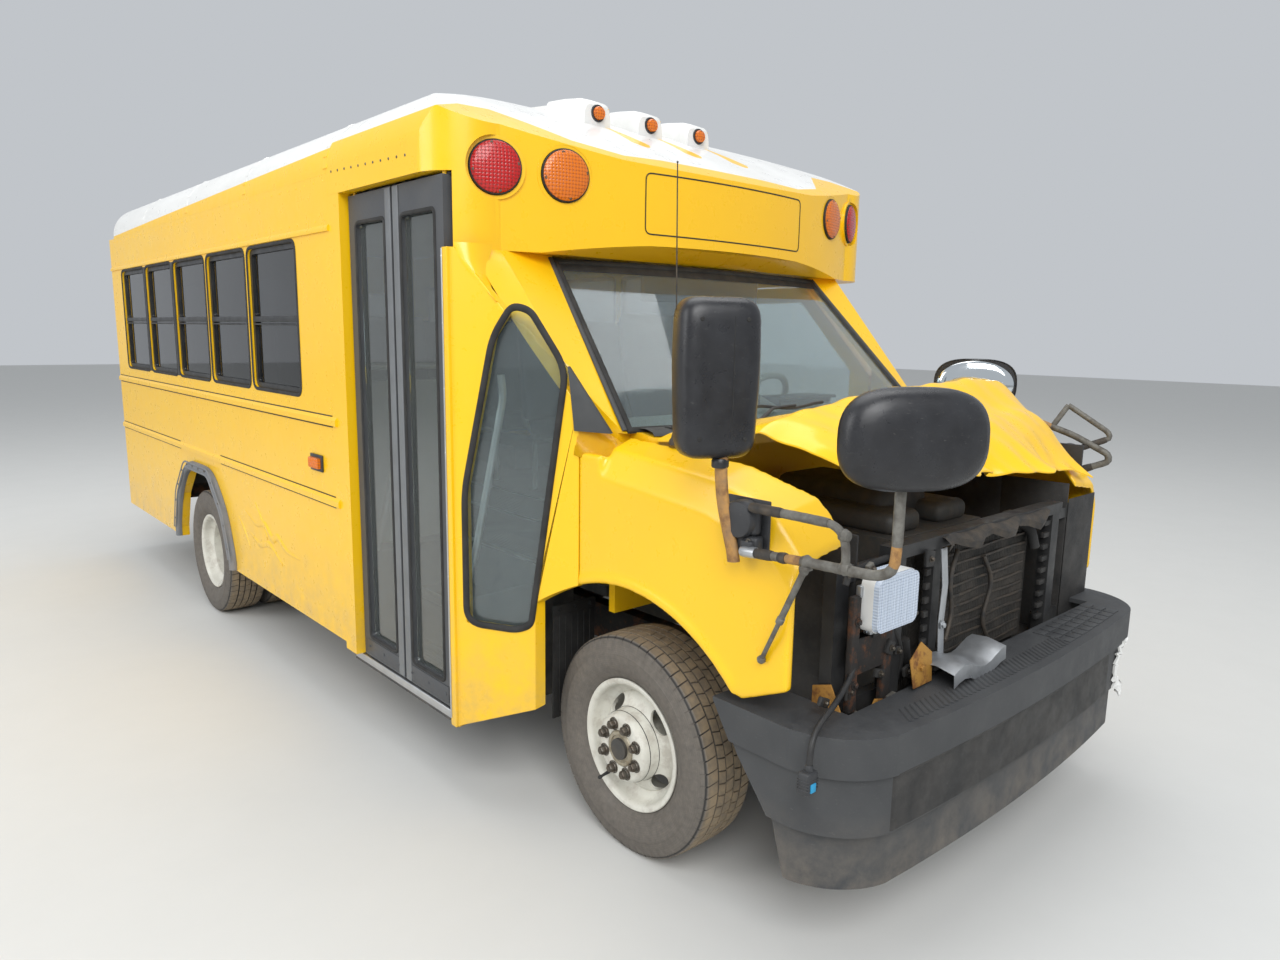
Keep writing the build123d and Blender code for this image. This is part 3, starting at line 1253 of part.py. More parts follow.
# Rear door
def rear_hinge(z, side):
    """Half of a strap hinge at the door's right edge: on the wall (side -1) or the door (side 1)."""
    x = -REAR_DOOR_HALF + REAR_DOOR_GAP / 2
    y = REAR_Y + REAR_HINGE_OUT
    z0 = z - 1 if side < 0 else z + 1
    z1 = z0 + side * 44
    plate = block(x + side * 5, x + side * 70, REAR_Y - 1, REAR_Y + 4, z0, z1)
    web = block(x + side * 5, x + side * 9, REAR_Y - 1, y, z0, z1)
    barrel = Pos(x, y, (z0 + z1) / 2) * Cylinder(9, 44)
    if side < 0:
        pin = Pos(x, y, z) * Cylinder(REAR_PIN_R, 80)
        return one(plate, web, barrel, pin)
    return one(plate, web, barrel) - Pos(x, y, z) * Cylinder(REAR_PIN_R + RUNNING_FIT, 100)


def emergency_door():
    gap = REAR_DOOR_GAP
    half = REAR_DOOR_HALF - gap
    z0 = REAR_DOOR_BOTTOM_Z + gap
    z1 = REAR_DOOR_TOP_Z - gap
    door = rear_hole(-half, half, REAR_Y - REAR_DOOR_T, REAR_Y, z0, z1, 44)
    inner = half - REAR_DOOR_STILE
    for low, high in REAR_DOOR_WINDOWS:
        door = door - rear_hole(-inner, inner, REAR_Y - 60, REAR_Y + 20, low, high, 50)
    handle = block(half - 90, half - 40, REAR_Y, REAR_Y + 34, 1330, 1360)
    return one(door, handle, *[rear_hinge(z, 1) for z in REAR_HINGE_ZS])


def emergency_glass():
    half = REAR_DOOR_HALF - REAR_DOOR_GAP - REAR_DOOR_STILE - FIT_GAP
    return several([
        rear_hole(-half, half, REAR_Y - 24, REAR_Y - 24 + PANE, z0 + FIT_GAP, z1 - FIT_GAP, 50 - FIT_GAP)
        for z0, z1 in REAR_DOOR_WINDOWS
    ])


def body_glass():
    """Panes of the side windows, the rear wall windows and the tear-drop window."""
    panes = []
    gap = FIT_GAP
    for side in (1, -1):
        x = side * (HALF_WIDTH - WALL + 4 + SASH_DEPTH / 2) - PANE / 2
        for y0, y1 in window_ys():
            for z0, z1 in sash_lights():
                edge = SASH + gap
                x1 = x + PANE
                panes.append(window_hole(x, x1, y0 + edge, y1 - edge, z0 + gap, z1 - gap, 18 - gap))
        x0 = side * (REAR_WINDOW_X[0] + gap)
        x1 = side * (REAR_WINDOW_X[1] - gap)
        y = REAR_Y - 26
        panes.append(
            rear_hole(x0, x1, y, y + PANE, WINDOW_BOTTOM_Z + gap, REAR_WINDOW_TOP_Z - gap, 60 - gap)
        )
    return several(panes + [tear_drop_glass(), windshield()])


def tear_drop_glass():
    return panel_slab(tear_drop(FIT_GAP * 2), -16, 16 + PANE)


# Front end
def radiator_support():
    """Open frame that carried grille and lamps: uprights, tie bar, lower beam and brackets."""
    y = at(SUPPORT_Y)
    top = TIE_TOP_Z - 20
    tie = block(-SUPPORT_POST_X - 40, SUPPORT_POST_X + 40, y - 25, y + 25, TIE_TOP_Z - 38, TIE_TOP_Z)
    seat_z = RAIL_BOTTOM_Z + RAIL_HEIGHT + FIT_GAP
    foot = RADIATOR_FOOT_Z - FIT_GAP
    lower = block(-SUPPORT_POST_X - 80, SUPPORT_POST_X + 80, y - 30, y + 130, seat_z, foot)
    # x, half width, half depth of each upright
    posts = ((SUPPORT_POST_X, 28, 22), (-SUPPORT_POST_X, 28, 22), (-300.0, 22, 16))
    parts = [block(x - half, x + half, y - deep, y + deep, 600, top) for x, half, deep in posts]
    for side in (1, -1):
        x = side * SUPPORT_OUTER_X
        parts.append(block(x - 30, x + 30, y + 10, y + 50, 640, top - 20))
        for z0, z1 in ((640, 700), (top - 60, top - 22)):
            parts.append(block(side * SUPPORT_POST_X, x + side * 25, y + 12, y + 44, z0, z1))
    return one(tie, lower, *parts, *loom_gland())


def loom_points():
    return [Vector(x, at(distance), z) for x, distance, z in LOOM_POINTS]


def loom_gland():
    """Bar behind the right lamp and the gland on it that the loom leaves."""
    start, after = loom_points()[:2]
    along = (after - start).normalized()
    y = at(SUPPORT_Y)
    bar = block(20 - SUPPORT_OUTER_X, -SUPPORT_POST_X, y + 12, y + 28, start.Z - 12, start.Z + 24)
    root = start - along * 30
    return [bar, rod(tuple(root), tuple(start), LOOM_GLAND_R)]


def lamp_wiring():
    """Hanging loom as a tube of straight runs and tangent arcs."""
    points = loom_points()
    runs = [b - a for a, b in zip(points, points[1:])]
    radii = []
    for run, after in zip(runs, runs[1:]):
        turn = math.radians(run.get_angle(after))
        radii.append(0.45 * min(run.length, after.length) / math.tan(turn / 2))
    path = FilletPolyline(*points, radius=radii)
    tube = sweep(Plane(origin=path @ 0, z_dir=path % 0) * Circle(LOOM_R), path=path)
    share = tube.volume / (math.pi * LOOM_R ** 2 * path.length)
    print(f"loom length {path.length:.0f}, volume share {share:.4f}, radii {[round(r) for r in radii]}")
    return tube


def wiring_plugs():
    """Connector on the loom's end, with its collar and latch."""
    before, end = loom_points()[-2:]
    seat = Plane(origin=end, x_dir=(1, 0, 0), z_dir=end - before)
    width, depth, length = LOOM_PLUG
    collar = extrude(seat * Circle(LOOM_R + 3), amount=12)
    body = extrude(seat.offset(10) * RectangleRounded(width, depth, 6), amount=length)
    latch = extrude(seat.offset(16) * Pos(0, -depth / 2, 0) * Rectangle(16, 8), amount=length - 24)
    return one(collar, body, latch)


def radiator():
    """Radiator and condenser core with side tanks, leaning back a little after the crash."""
    y = at(-640.0)
    core = block(-330, 430, y, y + 60, 625, 1085)
    condenser = block(-300, 400, y - 30, y + 1, 650, 1060)
    tanks = [block(x - 30, x + 30, y - 4, y + 70, RADIATOR_FOOT_Z, 1088) for x in (-345.0, 445.0)]
    return one(core, condenser, *tanks)


def headlamp_right():
    """Square lamp left on its bracket, tilted outward."""
    x = -632.0
    z = 1005.0
    back = SUPPORT_Y - 35
    lens = block(x - 100, x + 100, at(back - 55), at(back), z - 75, z + 75)
    lens = fillet(lens.edges().filter_by(Axis.Y), 26)
    shell = loft([
        Plane(origin=(x, at(back - 0.5), z), z_dir=(0, 1, 0)) * Rectangle(180, 130),
        Plane(origin=(x, at(SUPPORT_Y), z), z_dir=(0, 1, 0)) * Rectangle(120, 90),
    ])
    seat_y = at(SUPPORT_Y - 22) - FIT_GAP
    ear = block(x + 70, 20 - SUPPORT_POST_X, seat_y - 15, seat_y, z - 30, z + 10)
    return one(lens, shell, ear)


def bumper_plan(grow):
    """Plan outline of the bumper's outer face, grown by grow, open towards the rear."""
    half = BUMPER_HALF + grow
    front = at(BUMPER_FRONT) - grow
    corner_y = at(-700.0)
    mid = (half - 70, at(-850.0) - grow)
    with BuildSketch() as sketch:
        with BuildLine():
            ThreePointArc((-half + 190, front + 34), (0, front), (half - 190, front + 34))
            ThreePointArc((half - 190, front + 34), (mid[0], mid[1]), (half, corner_y))
            Polyline((half, corner_y), (half, at(-420.0)), (-half, at(-420.0)), (-half, corner_y))
            ThreePointArc((-half, corner_y), (-mid[0], mid[1]), (-half + 190, front + 34))
        make_face()
    return sketch.sketch


def front_bumper():
    """Moulded bumper cover in three bands with a step shelf; its left end is torn off."""
    # low z, high z, growth of the outline
    bands = ((600.0, BUMPER_TOP_Z, 0.0), (430.0, 600.5, -12.0), (262.0, 430.5, -34.0))
    cover = None
    for low, high, grow in bands:
        outer = extrude(Pos(0, 0, low) * bumper_plan(grow), amount=high - low, dir=(0, 0, 1))
        hollow = bumper_plan(grow - BUMPER_SHEET)
        inner = extrude(Pos(0, 0, low - 5) * hollow, amount=high - low + 10, dir=(0, 0, 1))
        band = outer - inner
        cover = band if cover is None else cover + band
    shelf_outer = extrude(Pos(0, 0, BUMPER_TOP_Z - 18) * bumper_plan(-2), amount=18, dir=(0, 0, 1))
    shelf_inner = extrude(Pos(0, 0, BUMPER_TOP_Z - 30) * bumper_plan(-190), amount=50, dir=(0, 0, 1))
    cover = cover + (shelf_outer - shelf_inner)
    beyond = BUMPER_HALF + 115
    ends = side_prism(
        [(at(-437), BUMPER_TOP_Z + 40), (at(-437), BUMPER_TOP_Z - 10), (at(-526), 563), (at(-631), 436),
         (at(-690), 240), (at(-300), 240), (at(-300), BUMPER_TOP_Z + 40)], -beyond, beyond,
    )
    cover = cover - ends
    rear_gap = block(-BUMPER_HALF + 190, BUMPER_HALF - 190, at(-760), at(-300), 200, BUMPER_TOP_Z + 10)
    cover = cover - rear_gap
    beam_half = BUMPER_HALF - 285
    rear_y = at(BUMPER_FRONT) + 150 - FIT_GAP
    beam = block(-beam_half, beam_half, at(-880), at(-830), 470, 580)
    arms = []
    for side in (1, -1):
        arms.append(block(side * (RAIL_MID_X - 30), side * (RAIL_MID_X + 30), at(-832), rear_y, 470, 570))
        arms.append(block(side * (beam_half - 10), side * (BUMPER_HALF - 150), at(-878), at(-850), 500, 560))
    torn = plan_prism(
        [(BUMPER_HALF - 225, at(-1000)), (beam_half - 10, at(-820)), (BUMPER_HALF - 165, at(-640)),
         (beyond, at(-640)), (beyond, at(-1000))], 400, 610
    )
    cover = cover - torn
    return one(cover, beam, *arms)


def rear_bumper():
    """Pressed steel channel across the back, bolted under the rear wall."""
    y0 = REAR_Y + FIT_GAP
    y1 = y0 + REAR_BUMPER_DEPTH
    half = HALF_WIDTH - REAR_BUMPER_INSET
    z0 = REAR_BUMPER_BOTTOM_Z
    z1 = REAR_BUMPER_TOP_Z
    outer = block(-half, half, y0, y1, z0, z1)
    outer = fillet(outer.edges().filter_by(Axis.Z).sort_by(Axis.Y)[-2:], REAR_BUMPER_DEPTH / 2)
    inner = block(20 - half, half - 20, y0 - 5, y1 - 8, z0 + 12, z1 - 12)
    brackets = []
    for side in (1, -1):
        brackets.append(block(side * (RAIL_MID_X - 40), side * (RAIL_MID_X + 40), y0, y1 - 4, z0 + 8, z1 - 8))
    return one(outer - inner, *brackets)


def flares():
    """Rubber flares round the rear arches and flaps behind the front wheels."""
    pieces = []
    for side in (1, -1):
        x0 = side * (HALF_WIDTH + RIB + FIT_GAP)
        x1 = side * (HALF_WIDTH + RIB + FLARE_OUT)
        hole = side_prism(arch_outline(2), x0 - side * 5, x1 + side * 5)
        band = side_prism(arch_outline(FLARE_WIDTH), x0, x1) - hole
        band = band - block(x0 - side * 5, x1 + side * 5, at(0), REAR_Y, 0, SKIRT_Z + 6)
        lip = side_prism(arch_outline(12), side * (HALF_WIDTH + FIT_GAP), x1) - side_prism(
            arch_outline(2), side * (HALF_WIDTH - 5), x1 + side * 5
        )
        lip = lip - block(side * (HALF_WIDTH - 120), x1 + side * 5, at(0), REAR_Y, 0, SKIRT_Z + 6)
        pieces.append(one(band, lip))
        flap_outer = CAB_HALF - FLAP_INSET if side > 0 else -panel_inner_x(MUD_FLAP - 8) - FIT_GAP
        pieces.append(block(side * FLAP_INNER_X, side * flap_outer, at(MUD_FLAP) - 8, at(MUD_FLAP), 300, 740))
    return several(pieces)


# Cab inside
def dashboard():
    """Dash moulding across the cab with the steering column and wheel."""
    y0 = at(COWL_Y) + 146 + FIT_GAP
    profile = [
        (y0, COWL_Z - 50), (y0 + 40, COWL_Z - 10), (y0 + 190, COWL_Z + 6), (y0 + 260, COWL_Z - 40),
        (y0 + 250, COWL_Z - 200), (y0 + 130, COWL_Z - 330), (y0, COWL_Z - 330),
    ]
    dash = side_prism(profile, -CAB_HALF + 150, CAB_HALF - 80)
    pod = side_prism(
        [(y0 + 120, COWL_Z - 4), (y0 + 260, COWL_Z + 52), (y0 + 275, COWL_Z - 100), (y0 + 120, COWL_Z - 100)],
        DRIVER_X - 190, DRIVER_X + 190,
    )
    wheel_centre = (DRIVER_X, at(COWL_Y) + 600, COWL_Z - 20)
    column_foot = (DRIVER_X, at(COWL_Y) + 390, COWL_Z - 160)
    column = rod(column_foot, wheel_centre, 32)
    axis = Vector(*wheel_centre) - Vector(*column_foot)
    plane = Plane(origin=wheel_centre, z_dir=axis)
    rim_ring = plane.location * Torus(STEERING_WHEEL_R, 15)
    spokes = [
        plane.location * Rot(0, 0, turn) * Pos(STEERING_WHEEL_R / 2, 0, 0) * Box(STEERING_WHEEL_R, 26, 14)
        for turn in (90, 210, 330)
    ]
    boss = extrude(plane * Circle(52), amount=22, both=True)
    return one(dash, pod, column, boss, *spokes, rim_ring)


def seat(x0, x1, y, back_top, base_z):
    """Bench: legs, cushion and tall back with rounded top."""
    cushion = block(x0, x1, y, y + 400, base_z + 330, base_z + 430)
    cushion = fillet(cushion.edges().filter_by(Axis.X), 30)
    back = side_prism(
        [(y + 372, base_z + 400), (y + 470, base_z + 400), (y + 530, back_top), (y + 456, back_top)], x0, x1
    )
    legs = [
        block(x, x + 30, y + 60, y + 360, base_z + FIT_GAP, base_z + 335) for x in (x0 + 40, x1 - 70)
    ]
    return one(cushion, back, *legs)


def seats():
    """Passenger benches in two columns and the driver's seat."""
    pieces = []
    inner = HALF_WIDTH - WALL - 25
    for k in range(SEAT_ROWS):
        y = at(SEAT_FIRST + SEAT_PITCH * k)
        near_arch = abs(y + 300 - REAR_AXLE_Y) < 760
        for side in (1, -1):
            x_wall = side * inner
            x_aisle = side * (inner - SEAT_WIDTH)
            piece = seat(min(x_wall, x_aisle), max(x_wall, x_aisle), y, FLOOR_Z + 1050, FLOOR_Z)
            if near_arch:
                piece = piece - block(
                    side * (WHEEL_BOX_X - 10), side * HALF_WIDTH, REAR_AXLE_Y - WHEEL_BOX_HALF - 10,
                    REAR_AXLE_Y + WHEEL_BOX_HALF + 10, FLOOR_Z - 10, FLOOR_Z + WHEEL_BOX_TOP + 6,
                )
            pieces.append(piece)
    return several(pieces + [driver_seat()])


def driver_seat():
    """Driver's seat on a pedestal, facing the wheel."""
    x0 = 240.0
    x1 = 700.0
    y = at(850.0)
    cushion = fillet(block(x0, x1, y, y + 480, FLOOR_Z + 300, FLOOR_Z + 420).edges().filter_by(Axis.X), 35)
    back = side_prism(
        [(y + 440, FLOOR_Z + 380), (y + 560, FLOOR_Z + 380), (y + 640, FLOOR_Z + 1080),
         (y + 560, FLOOR_Z + 1080)], x0 + 10, x1 - 10,
    )
    base = block(x0 + 70, x1 - 70, y + 80, y + 420, FLOOR_Z + FIT_GAP, FLOOR_Z + 305)
    return one(cushion, back, base)


# Mirrors
def mirror_head(centre, width, height, depth, turn, radius):
    """Rounded mirror housing turned about the vertical."""
    head = Box(width, depth, height)
    head = fillet(head.edges().filter_by(Axis.Y), radius)
    head = fillet(head.faces().sort_by(Axis.Y)[0].edges(), min(depth * 0.4, radius * 0.4))
    return Pos(*centre) * Rot(0, 0, turn) * head


def tube_run(points, radius):
    """Round tube through points, with a ball at each corner."""
    parts = [rod(a, b, radius) for a, b in zip(points, points[1:])]
    parts += [Pos(*p) * Sphere(radius) for p in points[1:-1]]
    return one(*parts)


def mirrors_right():
    """Flat mirror on its post and the cross-view mirror out on the tube arm."""
    x = -CAB_HALF - 60
    post_y = at(-490.0)
    base = block(x + 4, -CAB_HALF - FIT_GAP, at(-620), at(-470), 1150, 1300)
    post = rod((x, post_y, 1130), (x, post_y, 1400), 20)
    flat = mirror_head((x - 10, at(-480), 1605), 225, 415, 95, -28, 42)
    lower = tube_run(
        [(x + 10, at(-560), 1165), (x, at(-985), 1190), (x - 6, at(-1022), 1215), (x - 6, at(-1022), 1400)],
        14,
    )
    upper = tube_run(
        [(x + 10, at(-590), 1285), (x, at(-850), 1290), (x - 2, at(-885), 1265), (x - 2, at(-890), 1185)], 12
    )
    bracket = block(x - 30, x + 18, at(-1040), at(-1010), 1395, 1520)
    cross = mirror_head((x - 13, at(-1058), 1505), 345, 225, 80, -30, 100)
    return one(base, post, flat, lower, upper, bracket, cross)


def mirrors_left():
    """Mirrors of the left side, folded back over the fender on bent arms."""
    x = CAB_HALF + 50
    base = block(CAB_HALF + FIT_GAP, x + 6, at(-620), at(-470), 1150, 1300)
    lower = tube_run(
        [(x, at(-560), 1175), (x + 30, at(-700), 1235), (x - 10, at(-560), 1330), (x - 70, at(-240), 1440)],
        14,
    )
    upper = tube_run([(x, at(-590), 1280), (x + 45, at(-690), 1330), (x + 10, at(-520), 1450)], 12)
    tie = rod((x + 10, at(-520), 1450), (x - 26, at(-476), 1356), 12)
    cross = mirror_head((x - 82, at(-150), 1520), 330, 225, 80, 120, 100)
    return one(base, lower, upper, tie, cross)


# Stop arm
def stop_arm():
    """Blank octagonal paddle folded against the left wall, with its hinge tube."""
    y = at(STOP_ARM_PLACE)
    z = STOP_ARM_Z
    x = HALF_WIDTH + 26
    width = 450.0
    paddle = extrude(
        Plane(origin=(x, y + 60 + width / 2, z), x_dir=(0, 1, 0), z_dir=(1, 0, 0))
        * RegularPolygon(width / 2, 8, major_radius=False, rotation=22.5), amount=8,
    )
    arm = block(x, x + 8, y, y + 80, z - 60, z + 60)
    tube = Pos(x + 4, y, z) * (Cylinder(13, 150) - Cylinder(6 + RUNNING_FIT, 160))
    return one(paddle, arm) - Pos(x + 4, y, z) * Cylinder(12, 160) + tube


def stop_arm_bracket():
    """Bracket and pin on the wall that the stop arm swings on."""
    y = at(STOP_ARM_PLACE)
    z = STOP_ARM_Z
    x = HALF_WIDTH + 30
    ears = [block(HALF_WIDTH - 1, x + 14, y - 16, y + 16, z + s * 90 - 12, z + s * 90 + 12) for s in (1, -1)]
    back = block(HALF_WIDTH - 1, HALF_WIDTH + 6, y - 16, y + 16, z - 100, z + 100)
    pin = Pos(x, y, z) * Cylinder(6, 190)
    return one(back, *ears, pin)


def build_nodes():
    """Every node of the bus by name."""
    tyre_left, rim_left = front_wheel(1)
    tyre_right, rim_right = front_wheel(-1)
    tyres_left, rims_left = rear_wheels(1)
    tyres_right, rims_right = rear_wheels(-1)
    return {
        "frame_rails": frame_rails(),
        "powertrain": powertrain(),
        "exhaust": exhaust(),
        "fuel_tank": fuel_tank(),
        "front_suspension": front_suspension(),
        "knuckle_left": knuckle(1),
        "knuckle_right": knuckle(-1),
        "rear_axle": rear_axle(),
        "tyre_front_left": tyre_left,
        "tyre_front_right": tyre_right,
        "rim_front_left": rim_left,
        "rim_front_right": rim_right,
        "tyres_rear_left": tyres_left,
        "tyres_rear_right": tyres_right,
        "rims_rear_left": rims_left,
        "rims_rear_right": rims_right,
        "floor": floor(),
        "side_wall_right": side_wall(-1),
        "side_wall_left": side_wall(1),
        "rear_wall": rear_wall(),
        "roof": roof(),
        "front_cap": front_cap(),
        "cab_panel_right": cab_panel_right(),
        "cab_side_left": cab_side_left(),
        "windshield_frame": windshield_frame(),
        "fenders": several([fender(1), fender(-1)]),
        "hood": hood(),
        "radiator_support": radiator_support(),
        "radiator": radiator(),
        "headlamp_right": headlamp_right(),
        "lamp_wiring": lamp_wiring(),
        "wiring_plugs": wiring_plugs(),
        "front_bumper": front_bumper(),
        "rear_bumper": rear_bumper(),
        "side_sashes": side_sashes(),
        "body_glass": body_glass(),
        "flares": flares(),
        "lamps_red": lamps_red(),
        "lamps_amber": lamps_amber(),
        "dashboard": dashboard(),
        "seats": seats(),
        "mirrors": several([mirrors_right(), mirrors_left()]),
        "entrance_leaf_front": entrance_leaf("front"),
        "entrance_leaf_rear": entrance_leaf("rear"),
        "entrance_glass_front": entrance_glass("front"),
        "entrance_glass_rear": entrance_glass("rear"),
        "driver_door": driver_door(),
        "driver_door_glass": driver_door_glass(),
        "emergency_door": emergency_door(),
        "emergency_glass": emergency_glass(),
        "stop_arm": stop_arm(),
    }


os.makedirs("parts", exist_ok=True)
for node, shape in build_nodes().items():
    export_step(shape, f"parts/{node}.step")
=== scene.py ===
import logging
import math
import random
from dataclasses import dataclass, field
from enum import Enum
from typing import Iterable, Optional, Sequence

import bmesh
import bpy
from mathutils import Matrix, Vector


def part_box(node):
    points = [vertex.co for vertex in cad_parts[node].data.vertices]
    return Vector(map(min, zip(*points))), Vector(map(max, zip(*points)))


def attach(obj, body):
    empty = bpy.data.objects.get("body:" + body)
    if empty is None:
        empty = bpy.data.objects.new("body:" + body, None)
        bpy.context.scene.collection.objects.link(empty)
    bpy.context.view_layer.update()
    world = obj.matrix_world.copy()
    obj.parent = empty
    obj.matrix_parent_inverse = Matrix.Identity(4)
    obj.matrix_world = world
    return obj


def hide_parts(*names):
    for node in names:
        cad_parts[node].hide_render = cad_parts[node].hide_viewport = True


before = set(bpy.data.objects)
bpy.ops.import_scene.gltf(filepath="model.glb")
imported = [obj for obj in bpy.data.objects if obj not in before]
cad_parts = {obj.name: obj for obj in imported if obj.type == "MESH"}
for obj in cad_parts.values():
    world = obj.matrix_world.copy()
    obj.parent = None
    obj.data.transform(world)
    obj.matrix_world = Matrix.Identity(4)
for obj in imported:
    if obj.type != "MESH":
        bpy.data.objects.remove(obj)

LOG = logging.getLogger("short_bus")

MM = 0.001
# metres in the shared frame
FRONT_AXLE_Y = -2.190
REAR_AXLE_Y = 1.341
REAR_Y = 3.261
AXLE_Z = 0.372
# millimetres from the middle or from the front axle
WHEELBASE = 3531.0
FRONT_TRACK = 822.0
REAR_INNER = 841.0
REAR_OUTER = 1095.0
HALF = 1220.0
WALL_FRONT = 1514.0
BODY_REAR = 5451.0

Colour = tuple[float, float, float]
Points = Sequence[Vector]

UP = Vector((0, 0, 1))
AHEAD = Vector((0, -1, 0))
REARWARD = Vector((0, 1, 0))
LEFTWARD = Vector((1, 0, 0))


def spot(x: float, distance: float, z: float) -> Vector:
    """A place on the bus in metres.

    Args:
        x: Millimetres from the middle, the entrance side negative.
        distance: Millimetres rearward from the front axle.
        z: Millimetres above the ground.

    Returns:
        The point in the shared frame.
    """
    return Vector((x * MM, FRONT_AXLE_Y + distance * MM, z * MM))


class Side(Enum):
    """The two long sides of the bus, by the sign of X."""

    RIGHT = -1
    LEFT = 1


class Body(Enum):
    """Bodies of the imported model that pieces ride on."""

    BODY = "body"
    FRONT_LEFT = "wheel_front_left"
    FRONT_RIGHT = "wheel_front_right"
    REAR_LEFT = "wheels_rear_left"
    REAR_RIGHT = "wheels_rear_right"
    LEAF_FRONT = "entrance_leaf_front"
    LEAF_REAR = "entrance_leaf_rear"
    DRIVER_DOOR = "driver_door"
    EMERGENCY_DOOR = "emergency_door"
    STOP_ARM = "stop_arm"


# Materials
class Graph:
    """Node tree of one material, with short calls for the nodes used here."""

    def __init__(self, name: str) -> None:
        """Start a material with an empty node tree.

        Args:
            name: Name of the material.
        """
        self.material = bpy.data.materials.new(name)
        self.material.use_nodes = True
        self.nodes = self.material.node_tree.nodes
        self.links = self.material.node_tree.links
        self.shader = self.nodes["Principled BSDF"]
        self.coords = self.nodes.new("ShaderNodeTexCoord").outputs["Object"]
        self._axes: Optional[bpy.types.Node] = None

    def set(self, **values: object) -> None:
        """Set shader sockets that are the same all over the surface."""
        for key, value in values.items():
            socket = self.shader.inputs[key.replace("_", " ")]
            socket.default_value = value

    def feed(self, key: str, output: bpy.types.NodeSocket) -> None:
        """Link an output to a shader socket."""
        self.links.new(output, self.shader.inputs[key])

    def axis(self, index: int) -> bpy.types.NodeSocket:
        """One coordinate of the surface point, in metres.

        Args:
            index: 0, 1 or 2 for X, Y or Z.

        Returns:
            The output that carries it.
        """
        if self._axes is None:
            self._axes = self.nodes.new("ShaderNodeSeparateXYZ")
            self.links.new(self.coords, self._axes.inputs[0])
        return self._axes.outputs[index]

    def stretched(self, scale: Sequence[float]) -> bpy.types.NodeSocket:
        """Object coordinates scaled along each axis.

        Args:
            scale: Factor along each axis.

        Returns:
            The output that carries it.
        """
        mapping = self.nodes.new("ShaderNodeMapping")
        mapping.inputs["Scale"].default_value = scale
        self.links.new(self.coords, mapping.inputs["Vector"])
        return mapping.outputs[0]

    def noise(
        self, scale: float, detail: float = 3.0, rough: float = 0.55,
        vector: Optional[bpy.types.NodeSocket] = None,
    ) -> bpy.types.NodeSocket:
        """Noise from 0 to 1 at a scale in features per metre.

        Args:
            scale: Features per metre.
            detail: Octaves of the noise.
            rough: Share of the finer octaves.
            vector: Place to read, or None for the object's.

        Returns:
            The output that carries it.
        """
        node = self.nodes.new("ShaderNodeTexNoise")
        node.inputs["Scale"].default_value = scale
        node.inputs["Detail"].default_value = detail
        node.inputs["Roughness"].default_value = rough
        self.links.new(vector or self.coords, node.inputs["Vector"])
        return node.outputs[0]

    def cells(self, scale: float, vector: Optional[bpy.types.NodeSocket] = None) -> bpy.types.NodeSocket:
        """Distance to the nearest of scattered cell centres.

        Args:
            scale: Features per metre.
            vector: Place to read, or None for the object's.

        Returns:
            The output that carries it.
        """
        node = self.nodes.new("ShaderNodeTexVoronoi")
        node.inputs["Scale"].default_value = scale
        self.links.new(vector or self.coords, node.inputs["Vector"])
        return node.outputs["Distance"]

    def span(
        self, value: bpy.types.NodeSocket, low: float, high: float, out_low: float = 0.0,
        out_high: float = 1.0,
    ) -> bpy.types.NodeSocket:
        """Value from low to high carried to another range and held at its ends.

        Args:
            value: Output to work on.
            low: Lower end of the input.
            high: Upper end of the input.
            out_low: Result at the lower end.
            out_high: Result at the upper end.

        Returns:
            The output that carries it.
        """
        node = self.nodes.new("ShaderNodeMapRange")
        node.inputs["From Min"].default_value = low
        node.inputs["From Max"].default_value = high
        node.inputs["To Min"].default_value = out_low
        node.inputs["To Max"].default_value = out_high
        self.links.new(value, node.inputs["Value"])
        return node.outputs[0]

    def math(self, kind: str, a: object, b: object = 0.0) -> bpy.types.NodeSocket:
        """One arithmetic step on two values or outputs.

        Args:
            kind: Blender's name of the operation.
            a: First value or output.
            b: Second value or output.

        Returns:
            The output that carries it.
        """
        node = self.nodes.new("ShaderNodeMath")
        node.operation = kind
        for socket, value in zip(node.inputs, (a, b)):
            if isinstance(value, (int, float)):
                socket.default_value = value
            else:
                self.links.new(value, socket)
        return node.outputs[0]

    def curve(
        self, value: bpy.types.NodeSocket, stops: Sequence[tuple[float, float]]
    ) -> bpy.types.NodeSocket:
        """Straight lines through (value, result) stops, both from 0 to 1.

        Args:
            value: Output to work on.
            stops: Pairs of value and result.

        Returns:
            The output that carries it.
        """
        node = self.nodes.new("ShaderNodeValToRGB")
        ramp = node.color_ramp
        for index, (at, result) in enumerate(stops):
            element = ramp.elements[index] if index < 2 else ramp.elements.new(at)
            element.position = at
            element.color = (result, result, result, 1)
        self.links.new(value, node.inputs[0])
        return node.outputs[0]

    def mix(self, share: object, a: object, b: object) -> bpy.types.NodeSocket:
        """Colour from a to b by share.

        Args:
            share: Share of the second colour.
            a: First colour or output.
            b: Second colour or output.

        Returns:
            The output that carries it.
        """
        node = self.nodes.new("ShaderNodeMix")
        node.data_type = "RGBA"
        sockets = (node.inputs[0], node.inputs[6], node.inputs[7])
        for socket, value in zip(sockets, (share, a, b)):
            if isinstance(value, (int, float)):
                socket.default_value = value
            elif isinstance(value, tuple):
                socket.default_value = (*value, 1.0)
            else:
                self.links.new(value, socket)
        return node.outputs[2]

